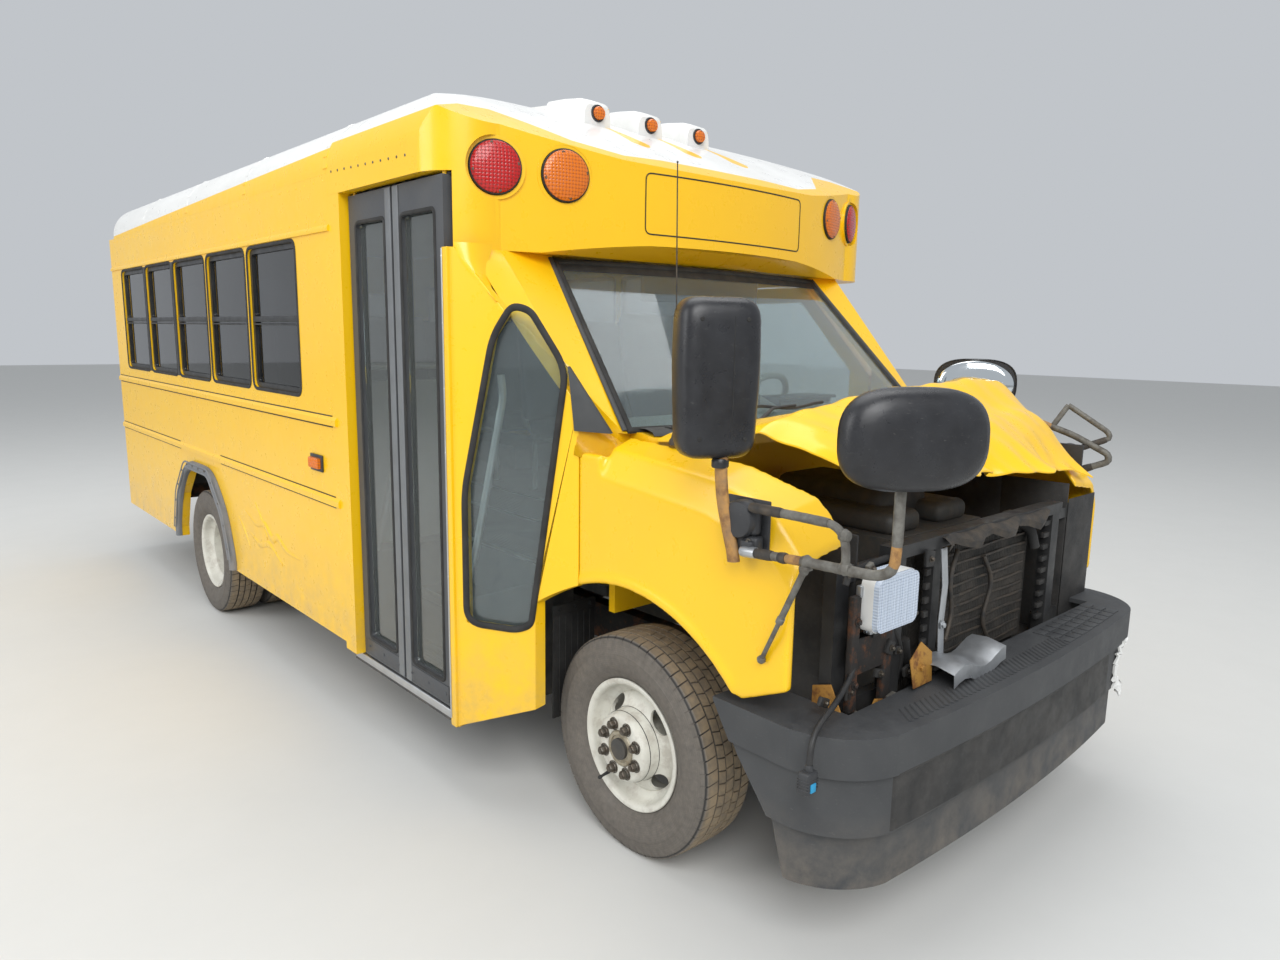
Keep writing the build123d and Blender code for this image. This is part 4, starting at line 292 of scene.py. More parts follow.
    def bump(self, height: bpy.types.NodeSocket, distance: float, strength: float = 1.0) -> None:
        """Raise the surface by a height output; a second call lies on the first.

        Args:
            height: Height output.
            distance: Height of a full step in metres.
            strength: Share of the effect.
        """
        node = self.nodes.new("ShaderNodeBump")
        node.inputs["Strength"].default_value = strength
        node.inputs["Distance"].default_value = distance
        self.links.new(height, node.inputs["Height"])
        normal = self.shader.inputs["Normal"]
        if normal.is_linked:
            self.links.new(normal.links[0].from_socket, node.inputs["Normal"])
        self.links.new(node.outputs[0], normal)


@dataclass(frozen=True)
class Finish:
    """A surface with uneven colour, uneven gloss and a fine grain.

    Attributes:
        name: Name of the material.
        colour: Base colour, linear.
        other: Colour of the patches.
        patch: Size of the patches, in features per metre.
        share: How strongly the patches show.
        gloss: Lowest and highest roughness.
        metal: How metallic it is.
        grain: Scale of the fine bump, in features per metre.
        depth: Depth of the fine bump, in metres.
        dust: Height above the ground under which road dust lies, in metres.
        coat: Weight of a clear coat.
    """

    name: str
    colour: Colour
    other: Colour
    patch: float = 6.0
    share: float = 0.5
    gloss: tuple[float, float] = (0.4, 0.6)
    metal: float = 0.0
    grain: float = 400.0
    depth: float = 0.0002
    dust: float = 0.0
    coat: float = 0.0

    def build(self) -> bpy.types.Material:
        """Make the material.

        Returns:
            The material.
        """
        graph = Graph(self.name)
        colour = self.base(graph)
        if self.dust:
            low = graph.span(graph.axis(2), self.dust, self.dust * 0.35)
            spots = graph.span(graph.noise(9.0, 6.0, 0.7), 0.35, 0.75)
            amount = graph.math("MULTIPLY", graph.math("MULTIPLY", low, spots), 0.62)
            colour = graph.mix(amount, colour, (0.30, 0.25, 0.19))
        graph.feed("Base Color", colour)
        graph.feed("Roughness", graph.span(graph.noise(14.0, 5.0, 0.65), 0.3, 0.7, *self.gloss))
        graph.set(Metallic=self.metal, Coat_Weight=self.coat, Coat_Roughness=0.12)
        self.relief(graph)
        return graph.material

    def base(self, graph: Graph) -> bpy.types.NodeSocket:
        """Colour before dust."""
        patches = graph.span(graph.noise(self.patch, 6.0, 0.62), 0.35, 0.7, 0.0, self.share)
        return graph.mix(patches, self.colour, self.other)

    def relief(self, graph: Graph) -> None:
        """Fine bump of the surface."""
        graph.bump(graph.noise(self.grain, 3.0), self.depth)


@dataclass(frozen=True)
class BodyPaint(Finish):
    """Glossy school yellow over sheet metal with faint waves and grime in the low places."""

    wave: float = 0.0022

    def relief(self, graph: Graph) -> None:
        """Faint waves of the sheet and the fine skin of the paint."""
        graph.bump(graph.noise(2.2, 1.0), self.wave, 0.6)
        graph.bump(graph.noise(self.grain, 2.0), self.depth)


class RoofLine(Enum):
    """Which rule draws the edge between the white roof and the yellow sides."""

    ROOF = "roof"
    CAP = "cap"


@dataclass(frozen=True)
class RoofPaint(BodyPaint):
    """Yellow paint with the white roof above a sharp edge.

    Attributes:
        line: Which edge the piece has.
        white: Colour of the roof.
    """

    line: RoofLine = RoofLine.ROOF
    white: Colour = (0.80, 0.80, 0.78)
    hump_xs: tuple[float, ...] = (-0.298, 0.0, 0.298)

    def base(self, graph: Graph) -> bpy.types.NodeSocket:
        """White roof colour with the yellow wedges and edge.

        Args:
            graph: Node graph of the finish.

        Returns:
            The output that carries it.
        """
        yellow = super().base(graph)
        # grey grime streaks over the white roof
        dark_marks = graph.span(
            graph.noise(3.0, 7.0, 0.7, graph.stretched((1.0, 0.25, 1.0))), 0.42, 0.8, 0.0, 0.35
        )
        white = graph.mix(dark_marks, self.white, (0.46, 0.45, 0.41))
        if self.line is RoofLine.ROOF:
            edge = graph.span(graph.axis(1), REAR_Y, -0.676, 2.338, 2.424)
        else:
            edge = self.cap_edge(graph)
        above = graph.span(graph.math("SUBTRACT", graph.axis(2), edge), -0.0006, 0.0006)
        if self.line is RoofLine.CAP:
            above = graph.math("MULTIPLY", above, self.outside_stripes(graph))
        return graph.mix(above, yellow, white)

    def cap_edge(self, graph: Graph) -> bpy.types.NodeSocket:
        """Height of the white paint's front edge by the distance from the middle.

        Args:
            graph: Node graph of the finish.

        Returns:
            The output that carries it.
        """
        away = graph.span(graph.math("ABSOLUTE", graph.axis(0)), 0.0, 1.25)
        stops = (
            (0.0, 0.26), (0.24, 0.25), (0.41, 0.20), (0.57, 0.30), (0.657, 0.48), (0.745, 0.64),
            (0.85, 0.62), (0.94, 0.50), (1.0, 0.42),
        )
        return graph.math("ADD", graph.math("MULTIPLY", graph.curve(away, stops), 0.3), 2.3)

    def outside_stripes(self, graph: Graph) -> bpy.types.NodeSocket:
        """1 away from the yellow wedges that run forward from the roof lamps, 0 on them.

        Args:
            graph: Node graph of the finish.

        Returns:
            The output that carries it.
        """
        result: object = 1.0
        ahead = graph.span(graph.axis(1), FRONT_AXLE_Y + 0.955, FRONT_AXLE_Y + 0.950)
        taper = graph.span(graph.axis(1), FRONT_AXLE_Y + 0.73, FRONT_AXLE_Y + 0.95, 0.050, 0.012)
        past = graph.math("MAXIMUM", graph.math("SUBTRACT", graph.axis(1), FRONT_AXLE_Y + 0.69), 0.0)
        half = graph.math("MINIMUM", taper, graph.math("MULTIPLY", graph.math("SQRT", past), 0.24))
        for x in self.hump_xs:
            off = graph.math("ABSOLUTE", graph.math("SUBTRACT", graph.axis(0), x + 0.052))
            inside = graph.span(graph.math("SUBTRACT", half, off), -0.0006, 0.0006)
            wedge = graph.math("MULTIPLY", inside, ahead)
            result = graph.math("MULTIPLY", result, graph.math("SUBTRACT", 1.0, wedge))
        return result


@dataclass(frozen=True)
class SteelFinish(Finish):
    """Chassis steel: black paint worn to brown rust in patches."""

    rust: Colour = (0.20, 0.075, 0.025)
    rust_share: float = 0.8

    def base(self, graph: Graph) -> bpy.types.NodeSocket:
        """Steel colour with dirt and rust.

        Args:
            graph: Node graph of the finish.

        Returns:
            The output that carries it.
        """
        plain = super().base(graph)
        eaten = graph.span(graph.noise(17.0, 8.0, 0.72), 0.50, 0.62, 0.0, self.rust_share)
        rust = graph.mix(graph.noise(90.0, 3.0), self.rust, (0.08, 0.03, 0.015))
        return graph.mix(eaten, plain, rust)


@dataclass(frozen=True)
class BrushedFinish(Finish):
    """Metal with fine lines along one axis."""

    along: int = 1

    def relief(self, graph: Graph) -> None:
        """Fine scratches along one direction.

        Args:
            graph: Node graph of the finish.
        """
        scale = [900.0, 900.0, 900.0]
        scale[self.along] = 12.0
        graph.bump(graph.noise(1.0, 2.0, 0.5, graph.stretched(scale)), self.depth)


@dataclass(frozen=True)
class GlassFinish(Finish):
    """Window glass, a tint in the passenger windows and clear at the front."""

    tint: Colour = (0.085, 0.092, 0.100)
    tint_from: float = -0.70

    def build(self) -> bpy.types.Material:
        """Make the tinted glass.

        Returns:
            The material.
        """
        graph = Graph(self.name)
        rear = graph.span(graph.axis(1), self.tint_from - 0.01, self.tint_from)
        colour = graph.mix(rear, self.colour, self.tint)
        smear = graph.span(graph.noise(5.0, 6.0, 0.7, graph.stretched((1, 1, 0.3))), 0.5, 0.8, 0.0, 0.12)
        graph.feed("Base Color", graph.mix(smear, colour, (0.5, 0.5, 0.46)))
        graph.feed("Roughness", graph.span(graph.noise(7.0, 6.0, 0.7), 0.45, 0.8, *self.gloss))
        graph.set(Transmission_Weight=0.94, IOR=1.45, Metallic=0.0, Coat_Weight=0.25, Coat_Roughness=0.03)
        return graph.material


@dataclass(frozen=True)
class LensFinish(Finish):
    """Moulded lamp lens with a small square prism pattern."""

    pitch: float = 42.0
    flat_axes: tuple[int, int] = (0, 2)

    def build(self) -> bpy.types.Material:
        """Make the coloured lens.

        Returns:
            The material.
        """
        graph = Graph(self.name)
        height: object = 0.0
        for axis in self.flat_axes:
            wave = graph.math("SINE", graph.math("MULTIPLY", graph.axis(axis), self.pitch * math.tau))
            height = graph.math("ADD", height, graph.math("ABSOLUTE", wave))
        depth = graph.span(height, 0.25, 1.5)
        graph.feed("Base Color", graph.mix(depth, self.other, self.colour))
        graph.feed("Roughness", graph.span(graph.noise(30.0, 4.0), 0.3, 0.7, *self.gloss))
        graph.set(Coat_Weight=0.3, Coat_Roughness=0.1, Transmission_Weight=0.12)
        graph.bump(depth, 0.0012)
        return graph.material


@dataclass(frozen=True)
class TyreFinish(Finish):
    """Tyre rubber: dust in the tread, painted shade in its grooves, smooth dark wall.

    Attributes:
        axle_y: Y of the wheel's axle, in metres.
    """

    axle_y: float = FRONT_AXLE_Y
    axle_z: float = AXLE_Z

    def base(self, graph: Graph) -> bpy.types.NodeSocket:
        """Rubber colour with dust, and painted shade in the grooves, by the distance from the axle.

        Args:
            graph: Node graph of the finish.

        Returns:
            The output that carries it.
        """
        plain = super().base(graph)
        y = graph.math("SUBTRACT", graph.axis(1), self.axle_y)
        z = graph.math("SUBTRACT", graph.axis(2), self.axle_z)
        radius = graph.math(
            "SQRT", graph.math("ADD", graph.math("MULTIPLY", y, y), graph.math("MULTIPLY", z, z))
        )
        spots = graph.span(graph.noise(45.0, 6.0, 0.7), 0.3, 0.7, 0.55, 1.0)
        wall = graph.mix(spots, plain, (0.150, 0.132, 0.112))
        rings = graph.math("SINE", graph.math("MULTIPLY", radius, 900.0))
        wall = graph.mix(graph.span(rings, 0.55, 0.95, 0.0, 0.25), wall, (0.075, 0.068, 0.060))
        crown = graph.span(radius, 0.3665, 0.3695)
        earth = graph.span(graph.noise(30.0, 5.0, 0.6), 0.35, 0.65, 0.45, 0.95)
        dusty = graph.mix(graph.math("MULTIPLY", crown, earth), wall, (0.33, 0.25, 0.155))
        # painted shade: near-black at the groove bottoms' radius, which also takes a thin band of the
        # shoulder
        deep = graph.span(radius, 0.3655, 0.3635)
        groove = graph.math("MULTIPLY", deep, graph.span(radius, 0.3590, 0.3605))
        return graph.mix(groove, dusty, (0.028, 0.026, 0.024))


@dataclass(frozen=True)
class WeaveFinish(Finish):
    """Seat cover: grained upholstery with a fine weave."""

    def relief(self, graph: Graph) -> None:
        """Threads both ways and soft folds.

        Args:
            graph: Node graph of the finish.
        """
        warp = graph.math("SINE", graph.math("MULTIPLY", graph.axis(0), 2600.0))
        weft = graph.math(
            "SINE", graph.math("MULTIPLY", graph.math("ADD", graph.axis(1), graph.axis(2)), 2600.0)
        )
        graph.bump(graph.math("MULTIPLY", warp, weft), self.depth)
        graph.bump(graph.noise(38.0, 3.0), 0.0012, 0.5)


@dataclass(frozen=True)
class FinFinish(Finish):
    """Radiator core: close upright fins between flat tubes."""

    def relief(self, graph: Graph) -> None:
        """Relief of the fins and tubes.

        Args:
            graph: Node graph of the finish.
        """
        fins = graph.math("SINE", graph.math("MULTIPLY", graph.axis(2), 1500.0))
        tubes = graph.math("SINE", graph.math("MULTIPLY", graph.axis(0), 520.0))
        graph.bump(graph.math("ADD", fins, tubes), 0.0015)


@dataclass(frozen=True)
class MouldedFinish(Finish):
    """Textured black moulding, pebbled, with pale scuffs."""

    scuff: float = 0.35

    def base(self, graph: Graph) -> bpy.types.NodeSocket:
        """Plastic colour with faint blotches.

        Args:
            graph: Node graph of the finish.

        Returns:
            The output that carries it.
        """
        plain = super().base(graph)
        marks = graph.span(
            graph.noise(60.0, 8.0, 0.8, graph.stretched((1.0, 1.0, 3.0))), 0.60, 0.72, 0.0, self.scuff
        )
        return graph.mix(marks, plain, (0.28, 0.27, 0.25))

    def relief(self, graph: Graph) -> None:
        """Fine grain of the mould."""
        graph.bump(graph.cells(self.grain), self.depth)


class Palette:
    """Every finish of the bus, made once and handed out by name."""

    yellow: Colour = (0.92, 0.545, 0.004)
    deep_yellow: Colour = (0.86, 0.45, 0.004)

    def __init__(self) -> None:
        """Describe every finish by name."""
        yellow, deep = self.yellow, self.deep_yellow
        self.finishes: dict[str, Finish] = {
            finish.name: finish
            for finish in (
                BodyPaint("paint_yellow", yellow, deep, 1.6, 0.22, (0.24, 0.40), 0.0, 260, 0.0, 0.78, 0.25),
                RoofPaint("paint_roof", yellow, deep, 1.6, 0.22, (0.25, 0.45), 0.0, 260, 0.0, 0.0, 0.2),
                RoofPaint(
                    "paint_cap", yellow, deep, 1.6, 0.22, (0.24, 0.40), 0.0, 260, 0.0, 0.0, 0.25,
                    line=RoofLine.CAP,
                ),
                Finish(
                    "paint_black", (0.018, 0.018, 0.019), (0.05, 0.05, 0.048), 11, 0.5, (0.35, 0.6), dust=0.7
                ),
                Finish(
                    "door_grey", (0.060, 0.064, 0.070), (0.10, 0.10, 0.10), 7, 0.4, (0.38, 0.55), 0.1, 700,
                    0.0001
                ),
                BrushedFinish(
                    "door_centre", (0.20, 0.21, 0.22), (0.12, 0.12, 0.12), 9, 0.4, (0.32, 0.5), 0.4, 1,
                    0.0002,
                    along=2,
                ),
                SteelFinish(
                    "chassis", (0.020, 0.019, 0.018), (0.05, 0.04, 0.035), 12, 0.5, (0.6, 0.85), 0.2, 120,
                    0.0006
                ),
                SteelFinish(
                    "rust_bracket", (0.42, 0.22, 0.04), (0.30, 0.12, 0.03), 14, 0.6, (0.6, 0.85), 0.1, 160,
                    0.0006,
                    rust=(0.22, 0.08, 0.02), rust_share=0.9,
                ),
                Finish(
                    "cast", (0.075, 0.075, 0.072), (0.13, 0.11, 0.085), 18, 0.6, (0.55, 0.8), 0.5, 240, 0.0008
                ),
                Finish(
                    "exhaust", (0.20, 0.15, 0.11), (0.12, 0.06, 0.035), 16, 0.8, (0.45, 0.75), 0.6, 200,
                    0.0004
                ),
                TyreFinish(
                    "tyre_front", (0.022, 0.021, 0.020), (0.05, 0.048, 0.045), 20, 0.6, (0.62, 0.85), 0.0,
                    600, 0.0003
                ),
                TyreFinish(
                    "tyre_rear", (0.022, 0.021, 0.020), (0.05, 0.048, 0.045), 20, 0.6, (0.62, 0.85), 0.0, 600,
                    0.0003,
                    axle_y=REAR_AXLE_Y,
                ),
                SteelFinish(
                    "wheel", (0.66, 0.65, 0.58), (0.46, 0.44, 0.38), 13, 0.6, (0.38, 0.6), 0.0, 300, 0.0002,
                    rust=(0.24, 0.15, 0.08), rust_share=0.25,
                ),
                Finish(
                    "nut", (0.16, 0.15, 0.13), (0.09, 0.06, 0.04), 60, 0.8, (0.35, 0.6), 0.85, 500, 0.0002
                ),
                Finish(
                    "hub_grease", (0.42, 0.38, 0.29), (0.16, 0.12, 0.07), 40, 0.8, (0.3, 0.6), 0.3, 300,
                    0.0005
                ),
                MouldedFinish(
                    "mirror_gloss", (0.010, 0.010, 0.012), (0.035, 0.037, 0.042), 10, 0.5, (0.22, 0.42), 0.0,
                    1300, 0.00012, 0.55
                ),
                Finish(
                    "sheet_pale", (0.62, 0.63, 0.64), (0.30, 0.30, 0.31), 22, 0.6, (0.4, 0.6), 0.0, 300,
                    0.0004
                ),
                Finish(
                    "loom", (0.012, 0.012, 0.013), (0.05, 0.048, 0.045), 30, 0.5, (0.4, 0.65), 0.0, 500,
                    0.0005
                ),
                Finish(
                    "sign_yellow", (0.86, 0.44, 0.01), (0.74, 0.34, 0.01), 5, 0.4, (0.3, 0.5), 0.0, 300,
                    0.00005
                ),
                SteelFinish(
                    "tube_rust", (0.45, 0.24, 0.07), (0.20, 0.13, 0.08), 30, 0.8, (0.55, 0.8), 0.2, 240,
                    0.0006,
                    rust=(0.16, 0.07, 0.03), rust_share=0.6,
                ),
                MouldedFinish(
                    "flare", (0.155, 0.165, 0.180), (0.22, 0.225, 0.23), 8, 0.6, (0.6, 0.8), 0.0, 900, 0.0003,
                    0.9
                ),
                MouldedFinish(
                    "bumper", (0.040, 0.042, 0.045), (0.075, 0.077, 0.078), 7, 0.6, (0.5, 0.72), 0.0, 950,
                    0.00035, 0.5
                ),
                MouldedFinish(
                    "bumper_dark", (0.016, 0.016, 0.016), (0.06, 0.055, 0.05), 11, 0.6, (0.5, 0.75), 0.0, 950,
                    0.0003
                ),
                MouldedFinish(
                    "mirror", (0.022, 0.023, 0.026), (0.05, 0.052, 0.055), 10, 0.5, (0.34, 0.6), 0.0, 1300,
                    0.00018, 0.0
                ),
                Finish(
                    "mirror_face", (0.72, 0.76, 0.78), (0.60, 0.64, 0.66), 4, 0.3, (0.03, 0.10), 1.0, 50,
                    0.00002
                ),
                Finish(
                    "tube_grey", (0.19, 0.185, 0.165), (0.07, 0.06, 0.05), 34, 0.85, (0.5, 0.75), 0.35, 260,
                    0.0006
                ),
                Finish(
                    "tube_dark", (0.030, 0.029, 0.028), (0.12, 0.09, 0.06), 30, 0.6, (0.5, 0.75), 0.2, 260,
                    0.0006
                ),
                GlassFinish("glass", (0.70, 0.82, 0.84), (0.5, 0.5, 0.5), gloss=(0.02, 0.10)),
                GlassFinish(
                    "door_glass", (0.62, 0.67, 0.65), (0.5, 0.5, 0.5), gloss=(0.02, 0.10), tint_from=9.0
                ),
                BrushedFinish(
                    "aluminium", (0.56, 0.57, 0.58), (0.40, 0.40, 0.39), 8, 0.5, (0.3, 0.5), 0.9, 1, 0.0001
                ),
                Finish(
                    "sash", (0.030, 0.031, 0.033), (0.09, 0.09, 0.09), 8, 0.5, (0.3, 0.5), 0.6, 500, 0.0001
                ),
                Finish(
                    "rubber", (0.012, 0.012, 0.012), (0.045, 0.043, 0.04), 15, 0.5, (0.6, 0.85), 0.0, 600,
                    0.0002
                ),
                LensFinish("lens_red", (0.55, 0.006, 0.006), (0.22, 0.0, 0.0), gloss=(0.2, 0.35)),
                LensFinish("lens_amber", (0.80, 0.19, 0.002), (0.42, 0.075, 0.0), gloss=(0.2, 0.35)),
                LensFinish(
                    "lens_clear", (0.66, 0.74, 0.86), (0.42, 0.50, 0.64), gloss=(0.05, 0.16), pitch=60.0
                ),
                Finish(
                    "dash", (0.30, 0.31, 0.27), (0.22, 0.22, 0.19), 6, 0.5, (0.55, 0.75), 0.0, 900, 0.0003
                ),
                Finish(
                    "dash_dark", (0.045, 0.048, 0.05), (0.08, 0.08, 0.08), 9, 0.4, (0.5, 0.7), 0.0, 900,
                    0.0003
                ),
                WeaveFinish(
                    "seat_blue", (0.016, 0.026, 0.075), (0.035, 0.048, 0.10), 7, 0.5, (0.45, 0.65), 0.0, 1,
                    0.0002
                ),
                WeaveFinish(
                    "seat_grey", (0.11, 0.11, 0.115), (0.07, 0.07, 0.07), 7, 0.5, (0.6, 0.8), 0.0, 1, 0.0002
                ),
                Finish(
                    "floor_rubber", (0.040, 0.040, 0.042), (0.12, 0.11, 0.095), 9, 0.7, (0.6, 0.85), 0.0, 300,
                    0.0006
                ),
                FinFinish(
                    "core", (0.055, 0.055, 0.052), (0.16, 0.14, 0.12), 10, 0.7, (0.5, 0.75), 0.7, 1, 0.001
                ),
                Finish(
                    "sheet_bright", (0.50, 0.52, 0.54), (0.30, 0.31, 0.32), 16, 0.6, (0.25, 0.5), 0.75, 300,
                    0.0003
                ),
                Finish(
                    "stop_red", (0.60, 0.012, 0.012), (0.42, 0.02, 0.015), 5, 0.5, (0.3, 0.5), 0.0, 400,
                    0.0001
                ),
                Finish(
                    "sign_white", (0.78, 0.78, 0.76), (0.6, 0.6, 0.57), 8, 0.4, (0.3, 0.5), 0.0, 400, 0.0001
                ),
                Finish(
                    "inner_grey", (0.42, 0.43, 0.41), (0.30, 0.30, 0.28), 5, 0.5, (0.5, 0.7), 0.0, 300, 0.0002
                ),
                Finish(
                    "handle_yellow", (0.75, 0.42, 0.02), (0.6, 0.3, 0.02), 12, 0.4, (0.4, 0.6), 0.0, 300,
                    0.0001
                ),
                Finish(
                    "clip_blue", (0.02, 0.30, 0.55), (0.02, 0.20, 0.4), 40, 0.4, (0.4, 0.6), 0.0, 900, 0.0001
                ),
            )
        }
        self.made: dict[str, bpy.types.Material] = {}

    def __getitem__(self, name: str) -> bpy.types.Material:
        """Material of a finish, made at its first use.

        Args:
            name: Name of the finish.

        Returns:
            The material.
        """
        if name not in self.made:
            self.made[name] = self.finishes[name].build()
        return self.made[name]


# Mesh building
class Shape:
    """Mesh of one piece, gathered in the shared frame in metres."""

    def __init__(self) -> None:
        """Start with an empty mesh."""
        self.bm = bmesh.new()

    def block(
        self, low: Vector, high: Vector, bevel: float = 0.002, segments: int = 2,
        turn: Optional[Matrix] = None,
    ) -> "Shape":
        """Box between two corners with rounded edges, turned about its own middle.

        Args:
            low: Corner with the lowest coordinates.
            high: Corner with the highest coordinates.
            bevel: Edge rounding in metres.
            segments: Steps in the rounding.
            turn: Rotation about the middle, or None.

        Returns:
            The shape itself.
        """
        size = Vector([abs(b - a) for a, b in zip(low, high)])
        middle = (Vector(low) + Vector(high)) / 2
        made = bmesh.ops.create_cube(self.bm, size=1.0)
        verts = made["verts"]
        bmesh.ops.scale(self.bm, vec=size, verts=verts)
        if bevel:
            edges = list({edge for vert in verts for edge in vert.link_edges})
            offset = min(bevel, min(size) * 0.45)
            result = bmesh.ops.bevel(
                self.bm, geom=edges, offset=offset, segments=segments, profile=0.5, affect="EDGES",
            )
            verts = list(
                {vert for face in result["faces"] for vert in face.verts} | {v for v in verts if v.is_valid}
            )
        matrix = Matrix.Translation(middle) @ (turn.to_4x4() if turn else Matrix.Identity(4))
        bmesh.ops.transform(self.bm, matrix=matrix, verts=verts)
        return self

    def band(
        self, rows: Sequence[Points], closed: bool = False, caps: bool = False, wrap: bool = False,
    ) -> "Shape":
        """Quads between rows of points.

        Args:
            rows: Rows of points in metres, all of one length.
            closed: Whether each row's end joins its start.
            caps: Whether the first and the last row are filled.
            wrap: Whether the last row joins the first.

        Returns:
            The shape itself.
        """
        made = [[self.bm.verts.new(point) for point in row] for row in rows]
        for near, far in zip(made, made[1:] + made[:1] if wrap else made[1:]):
            count = len(near)
            for index in range(count if closed else count - 1):
                after = (index + 1) % count
                self.bm.faces.new((near[index], near[after], far[after], far[index]))
        if caps:
            self.bm.faces.new(list(reversed(made[0])))
            self.bm.faces.new(made[-1])
        return self

    def sweep(
        self, path: Points, section: Sequence[tuple[float, float]], up: Vector, closed: bool = False,
    ) -> "Shape":
        """Carry a section of (sideways, up) metres along a path with mitred corners.

        Args:
            path: Points of the path in metres.
            section: Outline as (sideways, up) in metres.
            up: Direction that the section's up leans to.
            closed: Whether the path closes.

        Returns:
            The shape itself.
        """
        rows = []
        count = len(path)
        for index, point in enumerate(path):
            before = path[(index - 1) % count] if closed or index else point
            after = path[(index + 1) % count] if closed or index < count - 1 else point
            into = (point - before).normalized() if (point - before).length > 1e-9 else None
            out = (after - point).normalized() if (after - point).length > 1e-9 else into
            into = into or out
            tangent = (into + out).normalized()
            side = tangent.cross(up).normalized()
            lift = side.cross(tangent).normalized()
            stretch = 1.0 / max(0.35, tangent.dot(out))
            rows.append([point + side * (a * stretch) + lift * b for a, b in section])
        return self.band(rows, closed=True, caps=not closed, wrap=closed)

    def tube(
        self, path: Points, radius: float, sides: int = 12, taper: Optional[Sequence[float]] = None
    ) -> "Shape":
        """Round bar along a path.

        Args:
            path: Points of the path in metres.
            radius: Radius in metres.
            sides: Corners of the round.
            taper: Factor on the radius at each point, or None.

        Returns:
            The shape itself.
        """
        rows = []
        normal = None
        for index, point in enumerate(path):
            before = path[max(0, index - 1)]
            after = path[min(len(path) - 1, index + 1)]
            tangent = (after - before).normalized()
            if normal is None:
                normal = tangent.orthogonal().normalized()
            normal = (normal - tangent * normal.dot(tangent)).normalized()
            other = tangent.cross(normal)
            size = radius * (taper[index] if taper else 1.0)
            rows.append([
                point + (normal * math.cos(turn) + other * math.sin(turn)) * size
                for turn in (math.tau * k / sides for k in range(sides))
            ])
        return self.band(rows, closed=True, caps=True)

    def lathe(
        self, profile: Sequence[tuple[float, float]], centre: Vector, axis: Vector, steps: int = 32
    ) -> "Shape":
        """Turn (radius, along) metres about an axis; radius 0 closes the end.

        Args:
            profile: Outline as (radius, along) in metres.
            centre: Start of the axis in metres.
            axis: Direction of the axis.
            steps: Number of steps.

        Returns:
            The shape itself.
        """
        axis = axis.normalized()
        first = axis.orthogonal().normalized()
        second = axis.cross(first)
        rows = []
        for radius, along in profile:
            base = centre + axis * along
            if radius <= 1e-7:
                rows.append([self.bm.verts.new(base)])
            else:
                rows.append([
                    self.bm.verts.new(base + (first * math.cos(turn) + second * math.sin(turn)) * radius)
                    for turn in (math.tau * k / steps for k in range(steps))
                ])
        for near, far in zip(rows, rows[1:]):
            for k in range(steps):
                after = (k + 1) % steps
                ring = [
                    near[k % len(near)], near[after % len(near)], far[after % len(far)], far[k % len(far)]
                ]
                corners = list(dict.fromkeys(ring))
                if len(corners) > 2:
                    self.bm.faces.new(corners)
        return self

    def plate(self, outline: Points, depth: Vector, bevel: float = 0.0) -> "Shape":
        """Flat outline carried along depth, with its edges rounded by bevel.

        Args:
            outline: Corners in metres.
            depth: Way from one face to the other in metres.
            bevel: Edge rounding in metres.

        Returns:
            The shape itself.
        """
        near = [self.bm.verts.new(point) for point in outline]
        far = [self.bm.verts.new(point + depth) for point in outline]
        faces = [self.bm.faces.new(near), self.bm.faces.new(list(reversed(far)))]
        count = len(outline)
        for index in range(count):
            after = (index + 1) % count
            faces.append(self.bm.faces.new((near[after], near[index], far[index], far[after])))
        if bevel:
            edges = list({edge for face in faces for edge in face.edges})
            bmesh.ops.bevel(self.bm, geom=edges, offset=bevel, segments=2, profile=0.5, affect="EDGES")
        return self

    def rivets(
        self, places: Iterable[Vector], normal: Vector, radius: float = 0.005, rise: float = 0.0025
    ) -> "Shape":
        """Small domed heads.

        Args:
            places: Centres in metres.
            normal: Direction that the heads look.
            radius: Radius in metres.
            rise: Height of the head in metres.

        Returns:
            The shape itself.
        """
        for point in places:
            self.lathe([(radius, 0.0), (radius * 0.8, rise * 0.75), (0.0, rise)], point, normal, 8)
        return self

    def screws(self, places: Iterable[Vector], normal: Vector, radius: float = 0.006) -> "Shape":
        """Round heads with a sunk cross recess hinted by a cone.

        Args:
            places: Centres in metres.
            normal: Direction that the heads look.
            radius: Radius in metres.

        Returns:
            The shape itself.
        """
        for point in places:
            self.lathe(
                [
                    (radius, 0.0), (radius, 0.001), (radius * 0.75, 0.0028), (radius * 0.35, 0.003),
                    (0.0, 0.0012)
                ],
                point, normal, 12,
            )
        return self

    def bolts(self, places: Iterable[Vector], normal: Vector, radius: float = 0.010) -> "Shape":
        """Hexagon heads on washers.

        Args:
            places: Centres in metres.
            normal: Direction that the heads look.
            radius: Radius in metres.

        Returns:
            The shape itself.
        """
        for point in places:
            self.lathe(
                [(radius * 1.5, 0.0), (radius * 1.5, 0.0025), (radius * 1.05, 0.003)], point, normal, 16
            )
            self.lathe(
                [(radius, 0.0025), (radius, 0.009), (radius * 0.8, 0.0105), (0.0, 0.0105)], point, normal, 6
            )
        return self

    def object(self, name: str, smooth: float = 38.0) -> bpy.types.Object:
        """Turn the gathered mesh into an object at the origin.

        Args:
            name: Name of the object.
            smooth: Largest angle in degrees that stays smooth.

        Returns:
            The object.
        """
        bmesh.ops.recalc_face_normals(self.bm, faces=self.bm.faces)
        limit = math.radians(smooth)
        for face in self.bm.faces:
            face.smooth = True
        for edge in self.bm.edges:
            if len(edge.link_faces) == 2 and edge.calc_face_angle(0.0) > limit:
                edge.smooth = False
        mesh = bpy.data.meshes.new(name)
        self.bm.to_mesh(mesh)
        self.bm.free()
        piece = bpy.data.objects.new(name, mesh)
        bpy.context.scene.collection.objects.link(piece)
        return piece


